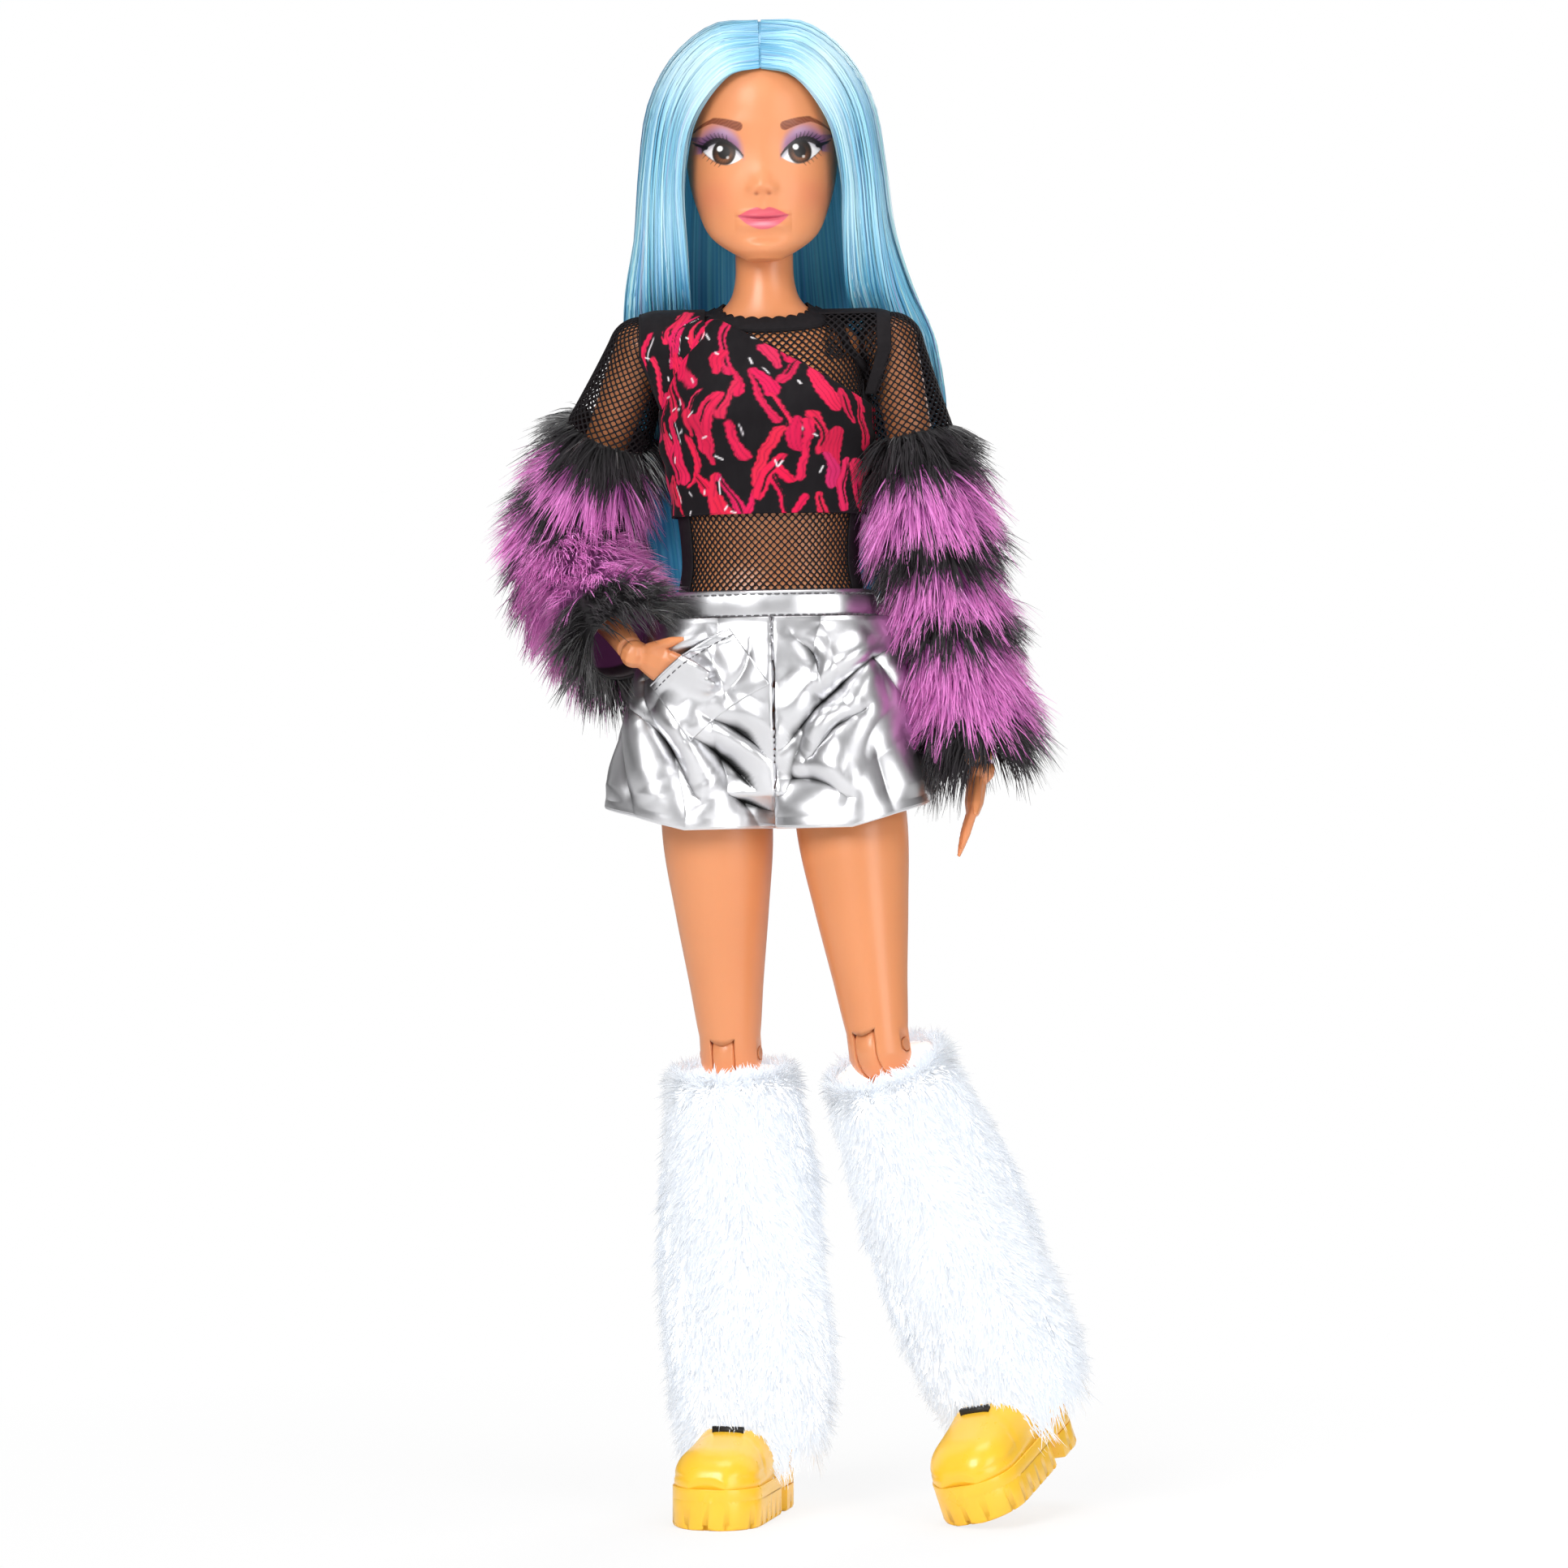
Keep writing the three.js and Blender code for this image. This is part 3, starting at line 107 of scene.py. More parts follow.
THIGH_ROWS = (
    (0, 0.93, 0.9, 0.93), (0.15, 0.97, 0.97, 1), (0.38, 1, 1, 0.98),
    (0.6, 0.84, 0.86, 0.82), (0.8, 0.67, 0.68, 0.64), (0.92, 0.58, 0.58, 0.56),
    (1, 0.5, 0.5, 0.5),
)
SHIN_ROWS = (
    (0.104, 0.78, 0.78, 0.78), (0.3, 0.95, 0.84, 1.06), (0.5, 0.84, 0.78, 0.94),
    (0.8, 0.6, 0.6, 0.6), (1, 0.56, 0.56, 0.56), (1.14, 0.6, 0.6, 0.6),
)
FOOT_ROWS = (
    (0, 0.5, 0.7, 0.3), (0.08, 0.75, 0.95, 0.6), (0.25, 0.85, 1, 1),
    (0.45, 0.9, 1, 0.7), (0.7, 1, 1, 0.4), (0.9, 0.9, 0.95, 0.26), (1, 0.55, 0.6, 0.12),
)


def tone(red, green, blue):
    """A colour as seen, in 0 to 255, as the linear colour that a shader takes."""
    channels = []
    for value in (red / 255, green / 255, blue / 255):
        low = value <= 0.04045
        channels.append(value / 12.92 if low else ((value + 0.055) / 1.055) ** 2.4)
    return (*channels, 1.0)


class DollSizes(bpy.types.PropertyGroup):
    """Sizes that a user would change."""

    strand_width: bpy.props.FloatProperty(
        name="Hair strand", description="Width of a lock of hair", default=0.55 * MM,
        unit="LENGTH", precision=5,
    )
    net_pitch: bpy.props.FloatProperty(
        name="Net pitch", description="Width of one mesh of the net", default=1.6 * MM,
        unit="LENGTH", precision=5,
    )
    fur_length: bpy.props.FloatProperty(
        name="Sleeve pile", description="Length of the fur on the sleeve ends",
        default=7.5 * MM, unit="LENGTH", precision=5,
    )
    warmer_pile: bpy.props.FloatProperty(
        name="Warmer pile", description="Length of the white fur", default=3.6 * MM,
        unit="LENGTH", precision=5,
    )


class DollColours(bpy.types.PropertyGroup):
    """Colours that a user would change."""

    skin: bpy.props.FloatVectorProperty(
        name="Skin", description="Colour of the moulded body", subtype="COLOR", size=4,
        default=tone(226, 148, 98), min=0, max=1,
    )
    hair: bpy.props.FloatVectorProperty(
        name="Hair", description="Middle colour of the hair", subtype="COLOR", size=4,
        default=tone(104, 188, 228), min=0, max=1,
    )
    fur: bpy.props.FloatVectorProperty(
        name="Sleeve fur", description="Bright bands of the sleeve ends", subtype="COLOR",
        size=4, default=tone(196, 92, 184), min=0, max=1,
    )
    shoe: bpy.props.FloatVectorProperty(
        name="Shoes", description="Colour of the shoes", subtype="COLOR", size=4,
        default=tone(254, 200, 52), min=0, max=1,
    )


# Materials


class Term:
    """A socket in a material, for sums written as Python expressions."""

    def __init__(self, shade, socket):
        self.shade = shade
        self.socket = socket

    def _math(self, operation, *values):
        sockets = dict(enumerate(values))
        return self.shade.node("ShaderNodeMath", {"operation": operation}, sockets)

    def __add__(self, other):
        return self._math("ADD", self, other)

    def __radd__(self, other):
        return self._math("ADD", other, self)

    def __sub__(self, other):
        return self._math("SUBTRACT", self, other)

    def __rsub__(self, other):
        return self._math("SUBTRACT", other, self)

    def __mul__(self, other):
        return self._math("MULTIPLY", self, other)

    def __rmul__(self, other):
        return self._math("MULTIPLY", other, self)

    def __truediv__(self, other):
        return self._math("DIVIDE", self, other)

    def clamped(self, low=0.0, high=1.0):
        return self._math("MINIMUM", self._math("MAXIMUM", self, low), high)


class Shade:
    """One material, whose nodes come from expressions."""

    def __init__(self, name, **surface):
        self.material = bpy.data.materials.new(name)
        self.material.use_nodes = True
        self.tree = self.material.node_tree
        self.surface = self.tree.nodes["Principled BSDF"]
        self.set(**surface)

    def node(self, kind, settings=None, sockets=None, out=0):
        """Adds a node: its settings first, then the values or links of its sockets."""
        made = self.tree.nodes.new(kind)
        for key, value in (settings or {}).items():
            if key == "stops":
                ramp = made.color_ramp
                while len(ramp.elements) < len(value):
                    ramp.elements.new(0.5)
                for element, (place, colour) in zip(ramp.elements, value):
                    element.position = place
                    element.color = colour
            else:
                setattr(made, key, value)
        for key, value in (sockets or {}).items():
            self._feed(made.inputs[key], value)
        return Term(self, made.outputs[out])

    def _feed(self, socket, value):
        if isinstance(value, Term):
            self.tree.links.new(value.socket, socket)
        else:
            socket.default_value = value

    def set(self, **surface):
        """Feeds the surface's sockets, named with underscores."""
        for key, value in surface.items():
            self._feed(self.surface.inputs[key.replace("_", " ").title().replace("Ior", "IOR")], value)
        return self

    def mix(self, factor, first, second, blend="MIX"):
        settings = {"data_type": "RGBA", "blend_type": blend}
        return self.node("ShaderNodeMix", settings, {0: factor, 6: first, 7: second}, out=2)

    def place(self, stretch=(1, 1, 1), source="Object"):
        here = self.node("ShaderNodeTexCoord", out=source)
        return self.node("ShaderNodeMapping", None, {0: here, "Scale": stretch})

    def noise(self, scale, stretch=(1, 1, 1), detail=3, source="Object", out=0):
        where = self.place(stretch, source)
        return self.node("ShaderNodeTexNoise", None, {"Vector": where, "Scale": scale, "Detail": detail}, out)

    def tint(self, name="tint"):
        return self.node("ShaderNodeAttribute", {"attribute_name": name}, out=0)

    def bump(self, height, strength, distance):
        return self.node("ShaderNodeBump", None, {"Height": height, "Strength": strength, "Distance": distance})


def moulded_plastic(name, colour, roughness=0.36, tinted=False):
    """Smooth vinyl with a faint mottle and orange peel."""
    shade = Shade(name, roughness=roughness, ior=1.48)
    base = shade.tint() if tinted else colour
    mottle = shade.noise(70, detail=2)
    darker = shade.mix(0.16 * mottle, base, (0.55, 0.36, 0.25, 1), "MULTIPLY")
    shade.set(base_color=darker, roughness=roughness - 0.06 + 0.12 * shade.noise(420))
    shade.set(normal=shade.bump(shade.noise(900, detail=2), 0.05, 0.2 * MM))
    shade.set(coat_weight=0.18)
    shade.surface.inputs["Coat Roughness"].default_value = 0.22
    shade.surface.inputs["Subsurface Weight"].default_value = 0.12
    shade.surface.inputs["Subsurface Radius"].default_value = (1.0, 0.45, 0.25)
    shade.surface.inputs["Subsurface Scale"].default_value = 1.2 * MM
    return shade.material


_made = {}


def kept(name, maker, *args, **options):
    """Makes a material once and hands it out again."""
    if name not in _made:
        _made[name] = maker(name, *args, **options)
    return _made[name]


def skin():
    colours = bpy.context.scene.doll_colours
    return kept("skin_vinyl", moulded_plastic, tuple(colours.skin))


# Shapes


def rows_at(table, shares):
    """Rows between the rows of a table, on a smooth curve through them."""
    table = np.array([tuple(row) + (0,) * (5 - len(row)) for row in table], float)
    along = table[0, 0] + (table[-1, 0] - table[0, 0]) * np.asarray(shares, float)
    last = len(table) - 1
    i = np.clip(np.searchsorted(table[:, 0], along, "left") - 1, 0, last - 1)
    a, b, c, d = (table[k] for k in (np.maximum(i - 1, 0), i, i + 1, np.minimum(i + 2, last)))
    gap = (c[:, :1] - b[:, :1])
    u = (along[:, None] - b[:, :1]) / gap
    slope_in = (c - a) / (c[:, :1] - a[:, :1]) * gap
    slope_out = (d - b) / (d[:, :1] - b[:, :1]) * gap
    rise = c - b
    rows = b + slope_in * u + (3 * rise - 2 * slope_in - slope_out) * u**2
    rows += (slope_in + slope_out - 2 * rise) * u**3
    rows[:, 0] = along
    return rows


def section(rows, sizes, grow, angles, relief=None):
    """The points of closed sections, by row and angle; sizes are length, width, front, back."""
    length, width, front, back = sizes
    along, wide, ahead, behind, side = (rows[:, k, None] for k in range(5))
    half_width = wide * width / 2 + grow
    half_depth = (ahead * front + behind * back) / 2 + grow
    middle = (behind * back - ahead * front) / 2
    angles = np.asarray(angles, float)
    angles = angles[None, :] if angles.ndim == 1 else angles
    swell = relief(angles, along) if relief else 0
    return np.stack(
        (
            side * width + (half_width + swell) * np.cos(angles),
            middle + (half_depth + swell) * np.sin(angles),
            along * length + 0 * angles,
        ),
        axis=-1,
    )


def round_angles(count):
    return np.arange(count) * 2 * math.pi / count


def loft(table, sizes, grow=0, count=48, steps=40, relief=None, angles=None):
    angles = round_angles(count) if angles is None else angles
    return section(rows_at(table, np.linspace(0, 1, steps + 1)), sizes, grow, angles, relief)


def round_sizes(length, width):
    return (length, width, width / 2, width / 2)


def limb(table, length, width, head, tail, count=56, steps=56):
    """A hanging limb with a round head and a round knuckle, both centred on their joints."""
    angles = round_angles(count)

    def circles(heights, radii):
        return np.stack(
            (
                radii[:, None] * np.cos(angles),
                radii[:, None] * np.sin(angles),
                heights[:, None] + 0 * angles,
            ),
            axis=-1,
        )

    top = np.linspace(0.02, 0.55, 14) * math.pi * 0.82
    bottom = np.linspace(0.02, 0.5, 12)[::-1] * math.pi * 0.85
    shares = np.linspace(0.3 * head / length, 1 - 0.6 * tail / length, steps + 1)
    rows = rows_at(table, shares)
    rows[:, 0] *= -1
    middle = section(rows, round_sizes(length, width), 0, angles)
    return np.concatenate(
        (
            circles(head * np.cos(top), head * np.sin(top)),
            middle,
            circles(-length - tail * np.cos(bottom), tail * np.sin(bottom)),
        )
    )


def grid_faces(rows, columns, closed=True, start=0):
    i = np.arange(rows - 1)[:, None]
    j = np.arange(columns if closed else columns - 1)[None, :]
    low = i * columns + j
    high = i * columns + (j + 1) % columns
    return np.stack((low, high, high + columns, low + columns), -1).reshape(-1, 4) + start


def tube(grid, capped=True):
    """Points and faces of a skin through closed sections, with its ends filled."""
    rows, columns = grid.shape[:2]
    points = grid.reshape(-1, 3)
    quads = grid_faces(rows, columns)
    if not capped:
        return points, [quads]
    hubs = np.stack((grid[0].mean(0), grid[-1].mean(0)))
    j = np.arange(columns)
    after = (j + 1) % columns
    last = (rows - 1) * columns
    low = np.stack((np.full(columns, len(points)), after, j), -1)
    high = np.stack((np.full(columns, len(points) + 1), last + j, last + after), -1)
    return np.concatenate((points, hubs)), [quads, np.concatenate((low, high))]


def joined(*parts):
    """Several sets of points and faces as one."""
    points, faces, start = [], [], 0
    for part_points, part_faces in parts:
        points.append(part_points)
        faces += [f + start for f in part_faces]
        start += len(part_points)
    return np.concatenate(points), faces


def moved(points, matrix):
    """Points in millimetres through a place whose offset is in metres, as metres."""
    matrix = np.array(matrix)
    return points @ (matrix[:3, :3].T * MM) + matrix[:3, 3]


def turned(axis, degrees):
    """A turn about one axis, as a 3 by 3 array."""
    return np.array(Matrix.Rotation(math.radians(degrees), 3, axis))


def new_piece(name, points, faces, material, body=None, smooth=True, tint=None, facing=None):
    """A mesh object from points in metres and arrays of faces."""
    mesh = bpy.data.meshes.new(name)
    points = np.ascontiguousarray(points, dtype=np.float32)
    faces = [np.asarray(f) for f in faces if len(f)]
    loops = np.concatenate([f.ravel() for f in faces]).astype(np.int32)
    totals = np.concatenate([np.full(len(f), f.shape[1]) for f in faces])
    mesh.vertices.add(len(points))
    mesh.vertices.foreach_set("co", points.ravel())
    mesh.loops.add(len(loops))
    mesh.loops.foreach_set("vertex_index", loops)
    mesh.polygons.add(len(totals))
    mesh.polygons.foreach_set("loop_start", (np.cumsum(totals) - totals).astype(np.int32))
    mesh.polygons.foreach_set("use_smooth", np.full(len(totals), smooth))
    mesh.update(calc_edges=True)
    if tint is not None:
        layer = mesh.color_attributes.new(name="tint", type="FLOAT_COLOR", domain="POINT")
        full = np.ones((len(points), 4), np.float32)
        full[:, :3] = np.asarray(tint)[:, :3]
        layer.data.foreach_set("color", full.ravel())
    if facing is not None:
        mesh.normals_split_custom_set_from_vertices(np.asarray(facing, float))
    mesh.materials.append(material)
    piece = bpy.data.objects.new(name, mesh)
    bpy.context.collection.objects.link(piece)
    if body:
        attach(piece, body)
    return piece


def carve(piece, *tools):
    """Cuts tools, which are removed afterwards, out of a piece."""
    for tool in tools:
        cut = piece.modifiers.new("cut", "BOOLEAN")
        cut.operation = "DIFFERENCE"
        cut.solver = "EXACT"
        cut.object = tool
        bake_modifiers(piece)
        bpy.data.objects.remove(tool)
    return piece


def bake_modifiers(piece):
    """Keeps a piece's mesh as its modifiers shape it."""
    bpy.context.view_layer.update()
    shaped = piece.evaluated_get(bpy.context.evaluated_depsgraph_get())
    mesh = bpy.data.meshes.new_from_object(shaped)
    old = piece.data
    piece.modifiers.clear()
    piece.data = mesh
    bpy.data.meshes.remove(old)
    return piece


# Places, from the frame's joints


def joint(name):
    return next(j for j in frame["joints"] if j["name"] == name)


def frame_at(origin, across, up):
    """A place from its origin, its X axis and its Z axis."""
    up = Vector(up).normalized()
    across = Vector(across)
    across = (across - up * across.dot(up)).normalized()
    place = Matrix((across, up.cross(across), up)).transposed().to_4x4()
    place.translation = origin
    return place


def find_places():
    """Each body part's place at rest, named after the part."""
    neck = joint("neck_turn")
    up = Vector(neck["axis"])
    across = -Vector(joint("hip_swing_right")["axis"])
    neck_at = Vector(neck["pos_m"])
    found = {
        "neck": frame_at(neck_at, across, up),
        "pelvis": frame_at(neck_at - up * NECK_HEIGHT * MM, across, up),
    }
    for _, word in SIDES:
        shoulder, elbow, wrist, hip, knee = (
            joint(f"{name}_{word}")
            for name in ("shoulder_raise", "elbow", "wrist_turn", "hip_splay", "knee")
        )
        at = {
            "shoulder": Vector(shoulder["pos_m"]), "elbow": Vector(elbow["pos_m"]),
            "wrist": Vector(wrist["pos_m"]), "hip": Vector(hip["pos_m"]), "knee": Vector(knee["pos_m"]),
        }
        arm_across = -Vector(elbow["axis"])
        leg_across = Vector(knee["axis"])
        found[f"arm_{word}"] = frame_at(at["shoulder"], arm_across, at["shoulder"] - at["elbow"])
        fore = frame_at(at["elbow"], arm_across, at["elbow"] - at["wrist"])
        found[f"fore_{word}"] = fore
        hand = Matrix.Rotation(math.radians(WRIST_TURN[word]), 4, "Z")
        found[f"hand_{word}"] = frame_at(at["wrist"], arm_across, at["elbow"] - at["wrist"]) @ hand
        thigh = frame_at(at["hip"], leg_across, at["hip"] - at["knee"])
        found[f"thigh_{word}"] = thigh
        bent = frame_at(at["knee"], leg_across, at["hip"] - at["knee"])
        shin = bent @ Matrix.Rotation(math.radians(KNEE_BEND[word]), 4, "X")
        found[f"shin_{word}"] = shin
        ankle = shin @ Vector((0, 0, -SHIN_LENGTH * MM))
        if word == "right":
            foot = Matrix.Rotation(math.radians(RIGHT_FOOT_TURN), 4, "Z")
            foot.translation = ankle
        else:
            foot = shin @ Matrix.Rotation(math.radians(ANKLE_BEND[word]), 4, "X")
            foot.translation = ankle
        found[f"foot_{word}"] = foot
    return found


PLACES = find_places()


def box_tool(size, place, offset=(0, 0, 0)):
    """A box in a place, to cut with; size and offset in millimetres."""
    x, y, z = (s / 2 for s in size)
    corners = np.array([(a * x, b * y, c * z) for a in (-1, 1) for b in (-1, 1) for c in (-1, 1)])
    faces = [np.array([(0, 1, 3, 2), (4, 6, 7, 5), (0, 4, 5, 1), (2, 3, 7, 6), (0, 2, 6, 4), (1, 5, 7, 3)])]
    return new_piece("tool", moved(corners + offset, place), faces, skin())


def bar_points(radius, length, count=32, rounded=0.0):
    """A bar along X, with its edges rounded by a share of its radius."""
    ends = [(-length / 2, radius * (1 - rounded)), (-length / 2 + radius * rounded, radius)]
    ends += [(-x, r) for x, r in ends[::-1]]
    angles = round_angles(count)
    rings = [[(x, r * math.cos(a), r * math.sin(a)) for a in angles] for x, r in ends]
    return tube(np.array(rings))


def ball_points(radius, count=40):
    heights = np.linspace(0.01, 0.99, count // 2) * math.pi
    angles = round_angles(count)
    grid = np.stack(
        (
            np.sin(heights)[:, None] * np.cos(angles),
            np.sin(heights)[:, None] * np.sin(angles),
            -np.cos(heights)[:, None] + 0 * angles,
        ),
        -1,
    )
    return tube(radius * grid)


def bump_of(distance, spread):
    return np.exp(-((distance / spread) ** 2))


def from_front(angle):
    turn = angle - 1.5 * math.pi
    return np.arctan2(np.sin(turn), np.cos(turn))


def bust_relief(angle, along):
    side = np.abs(from_front(angle)) - 0.42
    return 2.6 * bump_of(side, 0.36) * bump_of(along - 0.53, 0.1)


TORSO_SIZES = (70, 43, 14, 12)
PELVIS_SIZES = (29.2, 42, 12.5, 12.5)


def torso_grid(grow=0, count=96, steps=110, angles=None, shares=None):
    """The torso's skin, or a garment's that lies grow millimetres over it."""
    angles = round_angles(count) if angles is None else angles
    shares = np.linspace(0, 1, steps + 1) if shares is None else shares
    grid = section(rows_at(TORSO_ROWS, shares), TORSO_SIZES, grow, angles, bust_relief)
    grid[..., 2] += TORSO_BASE
    return grid


# The pieces


class DOLL_OT_trunk(bpy.types.Operator):
    """Builds the trunk and the pelvis."""

    bl_idname = "doll.trunk"
    bl_label = "Trunk"

    def execute(self, context):
        torso_points, torso_faces = tube(torso_grid())
        torso = new_piece(
            "torso", moved(torso_points, PLACES["pelvis"]), torso_faces, skin(), "trunk"
        )
        sockets = []
        for side, _ in SIDES:
            ball, faces = ball_points(6.1)
            ball = ball + (side * SHOULDER[0], SHOULDER[1], SHOULDER[2])
            sockets.append(new_piece("socket", moved(ball, PLACES["pelvis"]), faces, skin()))
        carve(torso, *sockets)
        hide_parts("torso_shell")

        grid = loft(PELVIS_ROWS, PELVIS_SIZES, count=72, steps=48)
        grid[..., 2] -= 9.5
        points, faces = tube(grid)
        pelvis = new_piece("pelvis", moved(points, PLACES["pelvis"]), faces, skin(), "trunk")
        rooms = [
            box_tool((80, 80, 80), PLACES["pelvis"], (side * 41.3, 0, 10.8 - 40)) for side, _ in SIDES
        ]
        carve(pelvis, *rooms)
        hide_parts("pelvis_block")
        return {"FINISHED"}


class DOLL_OT_limbs(bpy.types.Operator):
    """Builds the arms and the legs, with their hinges."""

    bl_idname = "doll.limbs"
    bl_label = "Arms and legs"

    def hinge_cuts(self, place, length, radius, tongue, pin):
        room, faces = bar_points(radius + 0.25, tongue + 0.5)
        slot = new_piece("slot", moved(room + (0, 0, -length), place), faces, skin())
        bar, faces = bar_points(pin + 0.3, 4 * radius)
        bore = new_piece("bore", moved(bar + (0, 0, -length), place), faces, skin())
        return slot, bore

    def segment(self, name, parts, place, body, node, cuts=()):
        points, faces = joined(*parts)
        made = new_piece(name, moved(points, place), faces, skin(), body)
        carve(made, *cuts)
        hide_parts(node)
        return made

    def execute(self, context):
        for _, word in SIDES:
            place = PLACES[f"arm_{word}"]
            shape = limb(UPPER_ARM_ROWS, UPPER_ARM, 9.6, 5.6, 3.9)[::-1, ::-1]
            cuts = self.hinge_cuts(place, UPPER_ARM, 3.9, 2.6, 0.9)
            self.segment(
                f"upper_arm_skin_{word}", [tube(shape)], place, f"arm_{word}", f"upper_arm_{word}", cuts
            )
            shape = loft(FOREARM_ROWS, round_sizes(33.4, 9.6), count=48)
            shape = shape @ turned("X", 180).T - (0, 0, 4.3)
            tongue = bar_points(3.6, 2.6, rounded=0.08)
            web = tube(np.array([[(x, y, z) for x, y in ((-1.3, -1.9), (1.3, -1.9), (1.3, 1.9), (-1.3, 1.9))] for z in (-8, 0)]))
            self.segment(
                f"forearm_skin_{word}", [tube(shape), tongue, web], PLACES[f"fore_{word}"],
                f"lower_arm_{word}", f"forearm_{word}",
            )
            place = PLACES[f"thigh_{word}"]
            shape = limb(THIGH_ROWS, THIGH, 22, 10.5, 6.3, count=80, steps=90)[::-1, ::-1]
            cuts = self.hinge_cuts(place, THIGH, 6.3, 4.4, 1.3)
            self.segment(
                f"thigh_skin_{word}", [tube(shape)], place, f"upper_leg_{word}", f"thigh_{word}", cuts
            )
            shape = loft(SHIN_ROWS, round_sizes(SHIN_LENGTH, 15), count=64, steps=60) @ turned("X", 180).T
            tongue = bar_points(6, 4.4, rounded=0.08)
            web = tube(np.array([[(x, y, z) for x, y in ((-2.2, -3.1), (2.2, -3.1), (2.2, 3.1), (-2.2, 3.1))] for z in (-10, 0)]))
            foot = loft(FOOT_ROWS, (33, 11.4, 4, 12), count=40, steps=40) @ turned("X", 90).T
            foot = foot + (0, 6.5, 8 - 28 + 0.3 + 4)
            foot_points, foot_faces = tube(foot)
            inverse = np.array(PLACES[f"shin_{word}"].inverted() @ PLACES[f"foot_{word}"])
            foot_points = foot_points @ inverse[:3, :3].T + inverse[:3, 3] / MM
            self.segment(
                f"shin_skin_{word}", [tube(shape), tongue, web, (foot_points, foot_faces)],
                PLACES[f"shin_{word}"], f"lower_leg_{word}", f"shin_{word}",
            )
        return {"FINISHED"}


class DOLL_OT_hands(bpy.types.Operator):
    """Smooths the solids of the hands into soft vinyl ones."""

    bl_idname = "doll.hands"
    bl_label = "Hands"

    def execute(self, context):
        for _, word in SIDES:
            source = frame["nodes"][f"hand_{word}"]
            mesh = source.data.copy()
            mesh.materials.clear()
            mesh.materials.append(skin())
            hand = bpy.data.objects.new(f"hand_skin_{word}", mesh)
            context.collection.objects.link(hand)
            blocks = hand.modifiers.new("blocks", "REMESH")
            blocks.mode = "VOXEL"
            blocks.voxel_size = 0.24 * MM
            soft = hand.modifiers.new("soft", "SMOOTH")
            soft.factor = 0.5
            soft.iterations = 7
            bake_modifiers(hand)
            hand.data.polygons.foreach_set("use_smooth", np.full(len(hand.data.polygons), True))
            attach(hand, f"palm_{word}")
            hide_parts(f"hand_{word}")
        return {"FINISHED"}


def seen_colours(colours):
    """Colours as seen, in 0 to 255, as linear ones."""
    c = np.clip(np.asarray(colours, float) / 255, 0, 1)
    return np.where(c <= 0.04045, c / 12.92, ((c + 0.055) / 1.055) ** 2.4)


def as_seen(colour):
    """A linear colour as seen, in 0 to 255."""
    c = np.array(colour[:3])
    return 255 * np.where(c <= 0.0031308, c * 12.92, 1.055 * np.maximum(c, 1e-9) ** (1 / 2.4) - 0.055)


def layered(under, mask, colour):
    """Paint over colours where the mask is one."""
    return under + np.asarray(mask)[:, None] * (np.asarray(colour, float) - under)


def inside(distance, soft=0.08):
    """One where a signed distance is below zero, with a soft rim."""
    return np.clip(0.5 - distance / (2 * soft), 0, 1)


def stroke(x, z, start, end, wide, thin, bow=0.0):
    """The mask of a brush stroke from start to end that tapers and may bow upwards."""
    ax, az = start
    bx, bz = end
    run = np.array((bx - ax, bz - az))
    length = math.hypot(*run)
    along = ((x - ax) * run[0] + (z - az) * run[1]) / length**2
    t = np.clip(along, 0, 1)
    lift = bow * 4 * t * (1 - t)
    nx, nz = -run[1] / length, run[0] / length
    px, pz = ax + run[0] * t + nx * lift, az + run[1] * t + nz * lift
    return inside(np.hypot(x - px, z - pz) - (wide + (thin - wide) * t) / 2)


def face_forward(x, z):
    """How far the face stands out from the plain head, by place across and up."""
    side = np.abs(x)

    def hump(height, dx, wx, dz, wz):
        return height * np.exp(-((dx / wx) ** 2) - ((dz / wz) ** 2))

    tip_run = np.where(z < 14.0, 1.3, 2.7)
    out = 1.35 * np.exp(-((x / 2.1) ** 2) - ((z - 13.9) / tip_run) ** 2)
    out += hump(0.4, side - 2.1, 1.1, z - 13.3, 1.1)
    out -= hump(0.3, side - 1.1, 0.55, z - 12.4, 0.5)
    out -= hump(0.15, x, 0.7, z - 11.0, 0.8)
    width = np.clip(1 - (x / 5.6) ** 2, 0, 1) ** 0.8
    line = 7.5 + 0.02 * x**2
    out += width * (0.72 * bump_of(z - 8.35, 0.8) + 0.95 * bump_of(z - 6.3, 1.0))
    out -= 0.5 * np.clip(1 - (side / 5.9) ** 2, 0, 1) * bump_of(z - line, 0.24)
    out -= hump(0.45, x, 3.2, z - 4.0, 0.9)
    out += hump(0.75, x, 3.8, z - 1.7, 2.0)
    out -= hump(0.95, side - 6.6, 4.0, z - 21.2, 3.4)
    out += hump(0.85, side - 7.7, 3.5, z - 20.5, 2.2)
    out += hump(0.35, side - 7.6, 4.0, z - 26.6, 1.6)
    out += hump(0.55, side - 8.8, 4.0, z - 12.5, 4.2)
    return out


